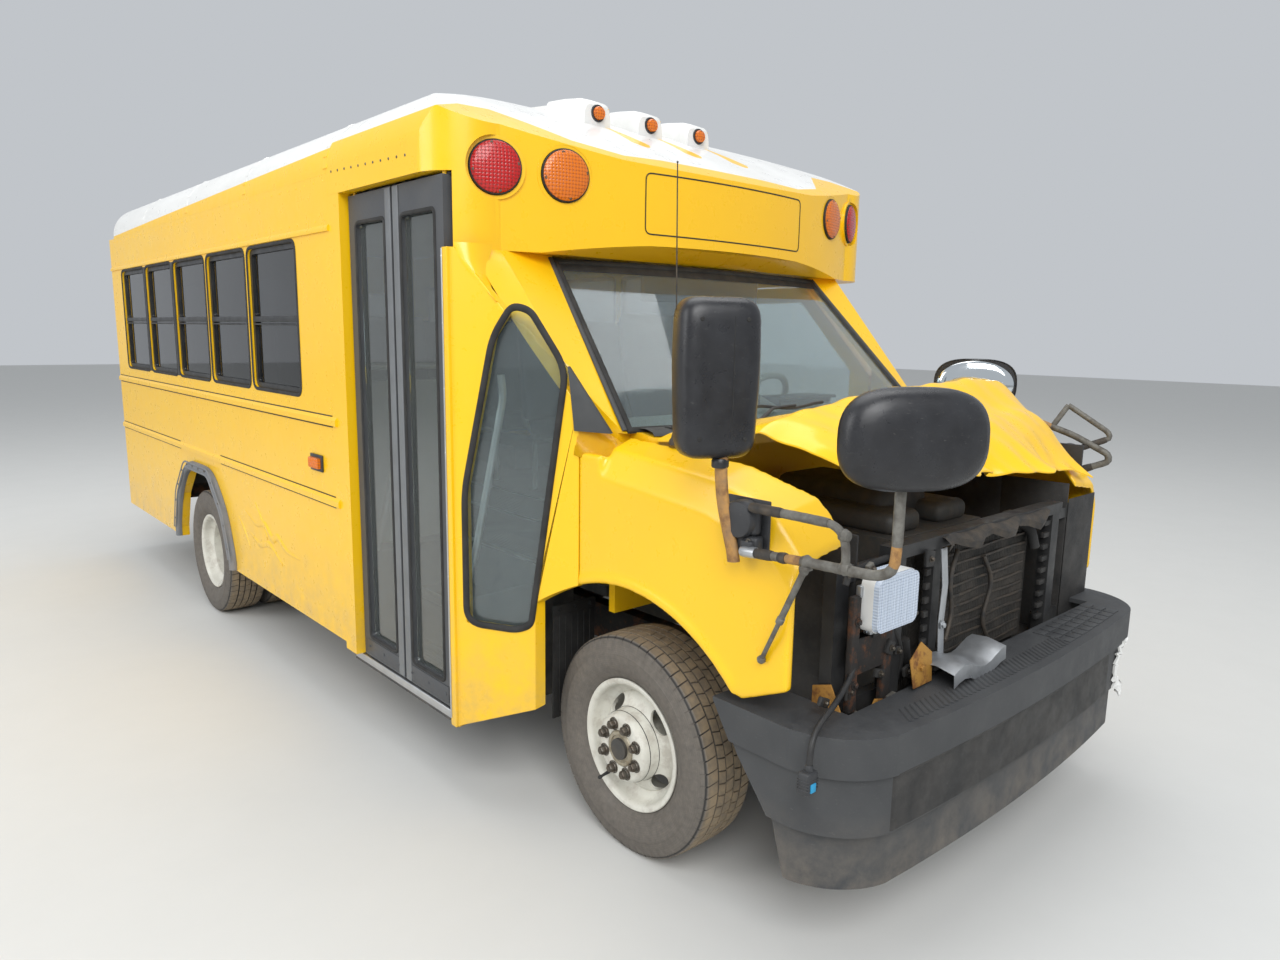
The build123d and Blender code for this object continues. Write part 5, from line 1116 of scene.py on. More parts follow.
def applied(piece: bpy.types.Object) -> bpy.types.Mesh:
    """Replace a piece's mesh by its evaluated one and drop the modifiers.

    Args:
        piece: Object with live modifiers.

    Returns:
        The object's new mesh.
    """
    bpy.context.view_layer.update()
    ready = piece.evaluated_get(bpy.context.evaluated_depsgraph_get())
    mesh = bpy.data.meshes.new_from_object(ready)
    piece.modifiers.clear()
    piece.data = mesh
    return mesh


def rounded_loop(
    corners: Sequence[tuple[float, float]], radius: float, steps: int = 5,
) -> list[tuple[float, float]]:
    """Closed outline with its corners rounded, in the corners' own units.

    Args:
        corners: Corners in order.
        radius: Corner radius.
        steps: Steps in each corner.

    Returns:
        Points of the outline.
    """
    result = []
    count = len(corners)
    for index in range(count):
        corner = Vector((*corners[index], 0.0))
        to_before = Vector((*corners[index - 1], 0.0)) - corner
        to_after = Vector((*corners[(index + 1) % count], 0.0)) - corner
        reach = min(radius, to_before.length * 0.45, to_after.length * 0.45)
        start = corner + to_before.normalized() * reach
        end = corner + to_after.normalized() * reach
        for step in range(steps + 1):
            share = step / steps
            point = start.lerp(corner, share).lerp(corner.lerp(end, share), share)
            result.append((point.x, point.y))
    return result


def eased(points: Points, radius: float, steps: int = 6) -> list[Vector]:
    """Open path with rounded corners, for bent metal tube.

    Args:
        points: Points of the path in metres.
        radius: Bend radius in metres.
        steps: Steps in each bend.

    Returns:
        Points in metres.
    """
    result = [points[0]]
    for before, corner, after in zip(points, points[1:], points[2:]):
        reach = min(radius, (before - corner).length * 0.48, (after - corner).length * 0.48)
        start = corner + (before - corner).normalized() * reach
        end = corner + (after - corner).normalized() * reach
        for step in range(steps + 1):
            share = step / steps
            result.append(start.lerp(corner, share).lerp(corner.lerp(end, share), share))
    result.append(points[-1])
    return result


FLAT_STRIP = [(-0.5, 0.0), (-0.5, 0.7), (-0.35, 1.0), (0.35, 1.0), (0.5, 0.7), (0.5, 0.0)]


def strip_section(width: float, height: float) -> list[tuple[float, float]]:
    """Low strip with eased edges, in millimetres to metres."""
    return [(a * width * MM, b * height * MM) for a, b in FLAT_STRIP]


def bead_section(width: float, height: float, steps: int = 6) -> list[tuple[float, float]]:
    """Half-round bead standing on its base.

    Args:
        width: Width in millimetres.
        height: Height in millimetres.
        steps: Steps in the half round.

    Returns:
        Points of the outline.
    """
    return [
        (-0.5 * width * MM * math.cos(math.pi * k / steps), height * MM * math.sin(math.pi * k / steps))
        for k in range(steps + 1)
    ]


@dataclass
class Assembly:
    """A group of pieces that is built together.

    Attributes:
        palette: Finishes to take materials from.
    """

    palette: Palette
    pieces: list[bpy.types.Object] = field(default_factory=list, init=False)

    def add(
        self, shape: Shape, name: str, body: Body, finish: str, slot: str, smooth: float = 38.0,
        replaces: Sequence[str] = (),
    ) -> bpy.types.Object:
        """Finish one piece: object, material and body."""
        return self.keep(shape.object(name, smooth), body, finish, slot, replaces)

    def keep(
        self, piece: bpy.types.Object, body: Body, finish: str, slot: str, replaces: Sequence[str] = (),
    ) -> bpy.types.Object:
        """Give an object its material, body and slot.

        Args:
            piece: Object to keep.
            body: Body that the pieces ride on.
            finish: Name of the finish.
            slot: Not used.
            replaces: Nodes of the CAD that the piece replaces.

        Returns:
            The object.
        """
        piece.data.materials.clear()
        piece.data.materials.append(self.palette[finish])
        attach(piece, body.value)
        if replaces:
            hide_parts(*replaces)
        self.pieces.append(piece)
        return piece

    def build(self) -> list[bpy.types.Object]:
        """Make the pieces."""
        raise NotImplementedError


# Stage
@dataclass
class Stage:
    """Floor, sky light, lamps and the camera of the photograph."""

    lens: float = 24.39
    sensor: float = 36.0
    place: tuple[float, float, float] = (-2.69227, -4.199335, 1.717662)
    azimuth: float = 0.7338927956
    pitch: float = -0.1677982386
    roll: float = -0.0158342169

    def build(self) -> None:
        """Make camera, world, lights and floor."""
        self.camera()
        self.world()
        self.lights()
        self.floor()

    def camera(self) -> None:
        """Camera where the photographer stood."""
        data = bpy.data.cameras.new("camera")
        data.sensor_fit = "HORIZONTAL"
        data.sensor_width = self.sensor
        data.lens = self.lens
        data.clip_end = 200.0
        forward = Vector((
            math.sin(self.azimuth) * math.cos(self.pitch), math.cos(self.azimuth) * math.cos(self.pitch),
            math.sin(self.pitch),
        ))
        right = forward.cross(UP).normalized()
        down = forward.cross(right)
        c, s = math.cos(self.roll), math.sin(self.roll)
        right, down = right * c + down * s, down * c - right * s
        camera = bpy.data.objects.new("camera", data)
        basis = Matrix((right, -down, -forward)).transposed()
        camera.matrix_world = Matrix.Translation(self.place) @ basis.to_4x4()
        bpy.context.scene.collection.objects.link(camera)
        bpy.context.scene.camera = camera

    def world(self) -> None:
        """Even pale light all round."""
        world = bpy.data.worlds.new("studio")
        world.use_nodes = True
        background = world.node_tree.nodes["Background"]
        background.inputs["Color"].default_value = (0.86, 0.90, 0.95, 1.0)
        background.inputs["Strength"].default_value = 0.62
        bpy.context.scene.world = world
        bpy.context.scene.view_settings.view_transform = "Standard"

    def lights(self) -> None:
        """A large soft key from the front left and a weak fill over the entrance side."""
        self.area("key", (-6.5, -9.5, 8.5), (0.0, -0.5, 1.2), 7.0, 1080.0)
        self.area("fill", (-10.0, 2.5, 5.0), (0.0, 1.0, 1.2), 6.0, 360.0)
        self.area("top", (1.0, 0.5, 10.5), (0.0, 0.5, 1.0), 9.0, 540.0)

    def area(
        self, name: str, at: Sequence[float], target: Sequence[float], size: float, power: float
    ) -> None:
        """One square lamp that faces a point.

        Args:
            name: Name of the lamp.
            at: Place of the lamp in metres.
            target: Point that it faces.
            size: Edge length in metres.
            power: Power in watts.
        """
        data = bpy.data.lights.new(name, "AREA")
        data.size = size
        data.energy = power
        lamp = bpy.data.objects.new(name, data)
        away = Vector(at) - Vector(target)
        lamp.matrix_world = Matrix.Translation(at) @ away.to_track_quat("Z", "Y").to_matrix().to_4x4()
        bpy.context.scene.collection.objects.link(lamp)

    def floor(self) -> None:
        """Plain pale ground."""
        shape = Shape()
        shape.band([
            [Vector((x, y, 0.0)) for x in (-40.0, 0.0, 40.0)] for y in (-40.0, 0.0, 40.0)
        ])
        floor = shape.object("floor_stage")
        floor.data.materials.append(
            Finish(
                "studio_floor", (0.62, 0.62, 0.60), (0.58, 0.58, 0.56), 3, 0.3, (0.75, 0.9), depth=0.0
            ).build()
        )


@dataclass
class CadFinishes:
    """Materials of the nodes that keep their own shape."""

    palette: Palette
    finishes: dict[str, str] = field(default_factory=lambda: {
        "frame_rails": "chassis", "powertrain": "cast", "exhaust": "exhaust", "fuel_tank": "chassis",
        "front_suspension": "chassis", "knuckle_left": "cast", "knuckle_right": "cast",
        "rear_axle": "chassis",
        "tyre_front_left": "tyre_front", "tyre_front_right": "tyre_front", "tyres_rear_left": "tyre_rear",
        "tyres_rear_right": "tyre_rear", "rim_front_left": "wheel", "rim_front_right": "wheel",
        "rims_rear_left": "wheel", "rims_rear_right": "wheel", "floor": "floor_rubber",
        "side_wall_right": "paint_yellow", "side_wall_left": "paint_yellow", "rear_wall": "paint_yellow",
        "roof": "paint_roof", "front_cap": "paint_cap", "cab_panel_right": "paint_yellow",
        "cab_side_left": "paint_yellow", "windshield_frame": "paint_yellow", "fenders": "paint_yellow",
        "hood": "paint_yellow", "radiator_support": "paint_black", "radiator": "core",
        "headlamp_right": "lens_clear", "front_bumper": "bumper", "rear_bumper": "paint_black",
        "side_sashes": "sash", "body_glass": "glass", "flares": "flare", "lamps_red": "lens_red",
        "lamps_amber": "lens_amber", "dashboard": "dash", "seats": "seat_blue", "mirrors": "mirror",
        "entrance_leaf_front": "door_grey", "entrance_leaf_rear": "door_grey",
        "entrance_glass_front": "door_glass", "entrance_glass_rear": "door_glass",
        "driver_door": "paint_yellow", "driver_door_glass": "door_glass", "emergency_door": "paint_yellow",
        "emergency_glass": "glass", "stop_arm": "stop_red", "lamp_wiring": "rubber", "wiring_plugs": "mirror",
    })

    def build(self) -> None:
        """Put a material on every node of the frame."""
        for name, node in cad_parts.items():
            node.data.materials.clear()
            node.data.materials.append(self.palette[self.finishes[name]])


# Wheels
@dataclass
class Tyres(Assembly):
    """Tyres with five ribs, four grooves and slanted sipes.

    Attributes:
        radius: Outer radius in millimetres.
        pitches: Tread pattern repeats round the tyre.
        groove: Depth of the grooves in millimetres.
    """

    radius: float = 372.0
    half_width: float = 112.5
    bead: float = 79.0
    pitches: int = 58
    groove: float = 9.0
    sipe: float = 5.0

    def build(self) -> list[bpy.types.Object]:
        """Build every piece of the assembly.

        Returns:
            The pieces, in order.
        """
        for side, body in ((Side.LEFT, Body.FRONT_LEFT), (Side.RIGHT, Body.FRONT_RIGHT)):
            shape = Shape()
            self.tyre(shape, Vector((side.value * FRONT_TRACK * MM, FRONT_AXLE_Y, AXLE_Z)))
            name = side.name.lower()
            self.add(
                shape, f"tyre_tread_front_{name}", body, "tyre_front", "tyre_rubber", 30.0,
                (f"tyre_front_{name}",)
            )
        for side, body in ((Side.LEFT, Body.REAR_LEFT), (Side.RIGHT, Body.REAR_RIGHT)):
            shape = Shape()
            for x in (REAR_INNER * MM, REAR_OUTER * MM):
                self.tyre(shape, Vector((side.value * x, REAR_AXLE_Y, AXLE_Z)))
            name = side.name.lower()
            self.add(
                shape, f"tyre_tread_rear_{name}", body, "tyre_rear", "tyre_rubber", 30.0,
                (f"tyres_rear_{name}",)
            )
        return self.pieces

    def columns(self) -> list[tuple[float, float, int]]:
        """Section from bead to bead as (x, radius, rib), rib -1 where the tread pattern doesn't reach.

        Returns:
            One row for each point of the section.
        """
        top = self.radius
        wall = [
            (self.bead - 12, 205, -1), (self.bead, 206, -1), (self.bead + 2, 224, -1),
            (self.bead + 12, 234, -1),
            (self.bead + 22, 252, -1), (self.bead + 25, 256, -1), (self.bead + 31, 276, -1),
            (self.half_width, 296, -1), (self.half_width, 312, -1), (self.half_width - 2.5, 316, -1),
            (self.half_width - 3, 328, -1), (self.half_width - 7, 342, -1), (self.half_width - 8, 346, 2),
            (self.half_width - 12, 360, 2), (self.half_width - 20, top - 3.5, 2),
        ]
        ribs = [(78.0, 55.0, 2), (47.0, 21.0, 1), (14.0, -14.0, 0), (-21.0, -47.0, 1), (-55.0, -78.0, 2)]
        tread: list[tuple[float, float, int]] = []
        for outer, inner, rib in ribs:
            bottom = top - self.groove
            crown = [top - 2.2 * (abs(x) / 80.0) ** 2 for x in (outer, inner)]
            if abs(outer) < 78:
                tread.append((outer + 1.2, bottom, -1))
            tread += [
                (outer, crown[0], rib),
                ((outer + inner) / 2, top - 1.6 * (abs(outer + inner) / 160.0) ** 2, rib)
            ]
            tread.append((inner, crown[1], rib))
            if abs(inner) < 78:
                tread.append((inner - 1.2, bottom, -1))
        right = [(-x, radius, rib) for x, radius, rib in reversed(wall)]
        inside = [(-60.0, top - 22, -1), (60.0, top - 22, -1)]
        return wall + tread + right + [(-self.bead + 14, 212, -1)] + inside + [(self.bead - 14, 212, -1)]

    def tyre(self, shape: Shape, centre: Vector) -> None:
        """One tyre about its centre.

        Args:
            shape: Shape that the geometry goes into.
            centre: Centre in metres.
        """
        columns = self.columns()
        rows = []
        # where a tread block ends and its sipe starts and ends, as shares of one pitch
        marks = ((0.0, 0.0), (0.86, 0.0), (0.90, 1.0), (0.97, 1.0))
        for pitch in range(self.pitches):
            for share, cut in marks:
                row = []
                for x, radius, rib in columns:
                    slant = 0.0 if rib < 0 else (0.35 if rib == 1 else -0.35) * x / 80.0 + 0.25 * rib
                    turn = math.tau * (pitch + share + slant) / self.pitches
                    depth = self.sipe * cut if rib >= 0 else 0.0
                    size = (radius - depth) * MM
                    row.append(centre + Vector((x * MM, math.cos(turn) * size, math.sin(turn) * size)))
                rows.append(row)
        shape.band(rows, closed=True, wrap=True)


@dataclass
class WheelParts(Assembly):
    """Nuts, studs and valve of each wheel."""

    pitch_radius: float = 82.55
    count: int = 8

    def build(self) -> list[bpy.types.Object]:
        """Build every piece of the assembly.

        Returns:
            The pieces, in order.
        """
        places = (
            (Body.FRONT_LEFT, 1, 949.0, FRONT_AXLE_Y), (Body.FRONT_RIGHT, -1, 949.0, FRONT_AXLE_Y),
            (Body.REAR_LEFT, 1, 968.0, REAR_AXLE_Y), (Body.REAR_RIGHT, -1, 968.0, REAR_AXLE_Y),
        )
        for body, side, face, axle_y in places:
            self.nuts(body, side, face, axle_y)
            self.valve(body, side, face, axle_y)
        return self.pieces

    def nuts(self, body: Body, side: int, face: float, axle_y: float) -> None:
        """Wheel nuts with washers and stud ends.

        Args:
            body: Body that the pieces ride on.
            side: 1 for the left side, -1 for the right.
            face: X of the disc's face in millimetres.
            axle_y: Y of the axle in metres.
        """
        shape = Shape()
        out = Vector((side, 0, 0))
        for k in range(self.count):
            turn = math.tau * (k + 0.5) / self.count
            spread = self.pitch_radius * MM
            base = Vector(
                (side * (face + 0.5) * MM, axle_y + math.cos(turn) * spread, AXLE_Z + math.sin(turn) * spread)
            )
            shape.lathe([(0.0215, -0.002), (0.0215, 0.0012), (0.0195, 0.0022), (0.0185, 0.0)], base, out, 24)
            shape.lathe([(0.0175, 0.0), (0.0175, 0.004), (0.0155, 0.0065)], base, out, 20)
            shape.lathe([(0.0148, 0.004), (0.0148, 0.018), (0.0125, 0.022), (0.0085, 0.0225)], base, out, 6)
            shape.lathe([(0.0085, 0.0215), (0.0085, 0.0245), (0.0, 0.0245)], base, out, 12)
        self.add(shape, f"wheel_nuts_{body.value}", body, "nut", "wheel_paint")

    def valve(self, body: Body, side: int, face: float, axle_y: float) -> None:
        """Valve stem through the disc.

        Args:
            body: Body that the pieces ride on.
            side: 1 for the left side, -1 for the right.
            face: X of the disc's face in millimetres.
            axle_y: Y of the axle in metres.
        """
        shape = Shape()
        start = Vector((side * (face - 30) * MM, axle_y + 0.09, AXLE_Z - 0.128))
        end = start + Vector((side * 0.030, 0.004, -0.008))
        shape.tube([start, start.lerp(end, 0.6), end], 0.005, 10, (1.3, 1.0, 0.9))
        shape.lathe([(0.0058, 0.0), (0.0062, 0.010), (0.004, 0.013), (0.0, 0.013)], end, end - start, 12)
        self.add(shape, f"valve_{body.value}", body, "rubber", "tyre_rubber")


# Sides
@dataclass
class SideTrim(Assembly):
    """Rib edges, drip moulding, rivets, window rubbers, marker lamps of both side walls.

    Attributes:
        rib_zs: Lower edges of the two pressed ribs.
        rib_height: Height of a rib.
        rib_front: Distance at which the ribs start.
        rib_gap: Distance that the lower rib keeps from the rear axle.
        window_front: Front edge of the first window.
        pitch: Distance between the windows.
        width: Width of a window.
        low: Lower edge of the windows.
        high: Upper edge of the windows.
        count: Number of windows.
    """

    rib_zs: tuple[float, float] = (963.0, 1310.0)
    rib_height: float = 40.0
    rib_front: float = 1560.0
    rib_gap: float = 400.0
    window_front: float = 1892.0
    pitch: float = 660.0
    width: float = 612.0
    low: float = 1423.0
    high: float = 2089.0
    count: int = 5

    def build(self) -> list[bpy.types.Object]:
        """Build every piece of the assembly.

        Returns:
            The pieces, in order.
        """
        for side in Side:
            self.ribs(side)
            self.drip(side)
            self.rivets(side)
            self.rubbers(side)
            self.posts(side)
            self.marker(side)
            self.flare_screws(side)
        return self.pieces

    def ribs(self, side: Side) -> None:
        """Thin dark strips of painted shadow along both edges of each pressed rib.

        Args:
            side: Side of the bus.
        """
        shape = Shape()
        normal = Vector((side.value, 0, 0))
        spans = {
            self.rib_zs[0]: [
                (self.rib_front, WHEELBASE - self.rib_gap), (WHEELBASE + self.rib_gap, BODY_REAR - 20),
            ],
            self.rib_zs[1]: [(self.rib_front, BODY_REAR - 20)],
        }
        for rib, runs in spans.items():
            # painted shadow: a dark strip just below and just above each rib
            for z in (rib - 3.5, rib + self.rib_height + 2.5):
                for start, end in runs:
                    if side is Side.LEFT and rib == self.rib_zs[0]:
                        start = max(start, 2030.0)
                    path = [spot(side.value * HALF, y, z) for y in (start, (start + end) / 2, end)]
                    shape.sweep(path, strip_section(5.0, 1.4), normal)
        self.add(shape, f"rib_sealer_{side.name.lower()}", Body.BODY, "rubber", "black_paint")

    def drip(self, side: Side) -> None:
        """Moulding over the windows, where the upper panel laps the window band.

        Args:
            side: Side of the bus.
        """
        shape = Shape()
        normal = Vector((side.value, 0, 0))
        path = [spot(side.value * HALF, y, 2114.0) for y in (WALL_FRONT + 2, 3500.0, BODY_REAR - 4)]
        section = [(-0.010, 0.0), (-0.010, 0.0075), (0.0, 0.009), (0.010, 0.006), (0.016, 0.0)]
        shape.sweep(path, section, normal)
        self.add(shape, f"drip_moulding_{side.name.lower()}", Body.BODY, "paint_yellow", "body_paint")

    def rivets(self, side: Side) -> None:
        """Rows of rivets along the panel laps.

        Args:
            side: Side of the bus.
        """
        shape = Shape()
        normal = Vector((side.value, 0, 0))
        places = []
        for z in (2150.0, 2300.0):
            places += [spot(side.value * HALF, WALL_FRONT + 40 + 96.0 * k, z) for k in range(40)]
        places += [spot(side.value * HALF, WALL_FRONT + 60 + 128.0 * k, 1384.0) for k in range(30)]
        for y in (WALL_FRONT + 26, BODY_REAR - 30):
            places += [
                spot(side.value * HALF, y, 420.0 + 118.0 * k) for k in range(15) if not 1300 < 420
                + 118 * k < 1360
            ]
        for z in (905.0, 400.0):
            places += [
                spot(side.value * HALF, WALL_FRONT + 70 + 150.0 * k, z) for k in range(26)
                if abs(WALL_FRONT + 70 + 150.0 * k - WHEELBASE) > 620
            ]
        shape.rivets(places, normal, 0.0042, 0.0018)
        self.add(shape, f"side_rivets_{side.name.lower()}", Body.BODY, "paint_yellow", "body_paint")

    def window_loops(self, grow: float) -> Iterable[list[tuple[float, float]]]:
        """Rounded outline of each window as (distance, Z).

        Args:
            grow: Millimetres that the outline grows.

        Returns:
            One outline for each window.
        """
        for k in range(self.count):
            y0 = self.window_front + self.pitch * k - grow
            y1 = y0 + self.width + 2 * grow
            yield rounded_loop(
                [
                    (y0, self.low - grow), (y1, self.low - grow), (y1, self.high + grow),
                    (y0, self.high + grow)
                ], 45 + grow,
            )

    def rubbers(self, side: Side) -> None:
        """Black rubber round each window opening, and the inner bead that holds the sash.

        Args:
            side: Side of the bus.
        """
        normal = Vector((side.value, 0, 0))
        shape = Shape()
        for loop in self.window_loops(5.0):
            path = [spot(side.value * (HALF - 0.5), y, z) for y, z in loop]
            shape.sweep(path, bead_section(17.0, 5.5), normal, closed=True)
        self.add(shape, f"window_rubber_{side.name.lower()}", Body.BODY, "rubber", "black_paint")
        shape = Shape()
        middle = (self.low + self.high) / 2
        depth = HALF - 45 + 4 + 30
        for k in range(self.count):
            y0 = self.window_front + self.pitch * k + 20
            y1 = y0 + self.width - 40
            for z, height in ((middle, 24.0), (middle - 24, 9.0)):
                path = [spot(side.value * depth, y, z) for y in (y0, (y0 + y1) / 2, y1)]
                shape.sweep(path, strip_section(height, 6.0), normal)
        self.add(shape, f"sash_rails_{side.name.lower()}", Body.BODY, "sash", "sash_metal")

    def posts(self, side: Side) -> None:
        """Black covers on the posts between the three rearmost windows.

        Args:
            side: Side of the bus.
        """
        shape = Shape()
        for k in (3, 4):
            edge = self.window_front + self.pitch * k
            gap = self.pitch - self.width
            low = spot(side.value * (HALF - 0.4), edge - gap + 2, self.low - 4)
            high = spot(side.value * (HALF + 3.6), edge - 2, self.high + 4)
            shape.block(low, high, 0.0015)
        self.add(shape, f"post_covers_{side.name.lower()}", Body.BODY, "paint_black", "black_paint")

    def marker(self, side: Side) -> None:
        """Bezel and ridged lens of the side marker lamp.

        Args:
            side: Side of the bus.
        """
        shape = Shape()
        low = spot(side.value * HALF, 1676.0, 1098.0)
        high = spot(side.value * (HALF + 9), 1804.0, 1172.0)
        shape.block(low, high, 0.003)
        self.add(shape, f"marker_base_{side.name.lower()}", Body.BODY, "mirror", "black_paint")
        shape = Shape()
        for k in range(7):
            y = 1696.0 + 14.5 * k
            low = spot(side.value * (HALF + 9), y, 1113.0)
            high = spot(side.value * (HALF + 24), y + 12.0, 1157.0)
            shape.block(low, high, 0.004, 3)
        self.add(shape, f"marker_lens_{side.name.lower()}", Body.BODY, "lens_amber", "amber_lens")

    def flare_screws(self, side: Side) -> None:
        """Screws and the raised beads of the rubber flare.

        Args:
            side: Side of the bus.
        """
        shape = Shape()
        corners = self.arch(30.0)
        places = []
        for (ya, za), (yb, zb) in zip(corners[1:], corners[2:-1]):
            count = max(1, round(math.hypot(yb - ya, zb - za) / 130))
            places += [
                spot(
                    side.value * (HALF + 32), ya + (yb - ya) * (k + 0.5) / count,
                    za + (zb - za) * (k + 0.5) / count
                )
                for k in range(count)
            ]
        shape.screws(places, Vector((side.value, 0, 0)), 0.007)
        self.add(shape, f"flare_screws_{side.name.lower()}", Body.BODY, "nut", "flare_rubber")
        shape = Shape()
        path = [spot(side.value * (HALF + 31.5), y, z) for y, z in self.arch(44.0)[1:-1]]
        shape.sweep(eased(path, 0.05), bead_section(11.0, 5.0), Vector((side.value, 0, 0)))
        path = [spot(side.value * (HALF + 31.5), y, z) for y, z in self.arch(9.0)[1:-1]]
        shape.sweep(eased(path, 0.05), bead_section(13.0, 6.0), Vector((side.value, 0, 0)))
        self.add(shape, f"flare_beads_{side.name.lower()}", Body.BODY, "flare", "flare_rubber")

    def arch(self, grow: float) -> list[tuple[float, float]]:
        """Wheel opening grown outward, as (distance, Z).

        Args:
            grow: Millimetres that the outline grows.

        Returns:
            Points of the outline.
        """
        middle, bottom, top, corner = WHEELBASE, 520.0, 225.0, 95.0
        return [
            (middle - bottom - grow, 385.0), (middle - bottom - grow, 435.0),
            (middle - bottom + corner - grow, 670 + grow / 2), (middle - top - grow / 3, 860 + grow),
            (middle + top + grow / 3, 860 + grow), (middle + bottom - corner + grow, 670 + grow / 2),
            (middle + bottom + grow, 435.0), (middle + bottom + grow, 385.0),
        ]


@dataclass
class RoofTrim(Assembly):
    """Lap joints across the roof, with their rivets."""

    joints: tuple[float, ...] = (1530.0, 2500.0, 3480.0, 4460.0)

    def section(self, lift: float, share: float) -> Vector:
        """A point of the roof's outer line, share from 0 at the middle to 1 at the eave (X, Z in mm).

        Args:
            lift: Millimetres above the skin.
            share: Share from the middle to the eave.

        Returns:
            The point as (X, 0, Z) in millimetres.
        """
        half, eave_z, rise, eave_r = 1220.0, 2345.0, 355.0, 200.0
        crown_r = ((half - eave_r) ** 2 + rise ** 2 - eave_r ** 2) / (2 * (rise - eave_r))
        crown_z = eave_z + rise - crown_r
        lean = math.atan2(half - eave_r, eave_z - crown_z)
        long_run = crown_r * lean
        short_run = eave_r * (math.pi / 2 - lean)
        run = share * (long_run + short_run)
        if run <= long_run:
            turn = run / crown_r
            return Vector(((crown_r + lift) * math.sin(turn), 0, crown_z + (crown_r + lift) * math.cos(turn)))
        turn = lean + (run - long_run) / eave_r
        return Vector(
            (half - eave_r + (eave_r + lift) * math.sin(turn), 0, eave_z + (eave_r + lift) * math.cos(turn))
        )

    def across(self, distance: float, lift: float, steps: int = 24, reach: float = 1.0) -> list[Vector]:
        """Line over the roof from eave to eave.

        Args:
            distance: Millimetres rearward from the front axle.
            lift: Millimetres above the skin.
            steps: Number of steps over the roof.
            reach: Share of the half width that the line reaches.

        Returns:
            Points in metres.
        """
        result = []
        for k in range(-steps, steps + 1):
            point = self.section(lift, abs(k) / steps * reach)
            result.append(spot(math.copysign(point.x, k) if k else 0.0, distance, point.z))
        return result

    def build(self) -> list[bpy.types.Object]:
        """Build every piece of the assembly.

        Returns:
            The pieces, in order.
        """
        bands = Shape()
        rivets = Shape()
        for distance in self.joints:
            rows = [
                self.across(distance - 22, 0.3), self.across(distance - 20, 1.9),
                self.across(distance + 20, 1.9),
                self.across(distance + 22, 0.3),
            ]
            bands.band(rows)
            for offset in (-11.0, 11.0):
                line = self.across(distance + offset, 1.9, 30)
                for point in line:
                    normal = Vector((point.x, 0, point.z - 0.55)).normalized()
                    rivets.rivets([point], normal, 0.004, 0.0016)
        self.add(bands, "roof_joints", Body.BODY, "paint_roof", "white_paint")
        self.add(rivets, "roof_rivets", Body.BODY, "paint_roof", "white_paint")
        return self.pieces


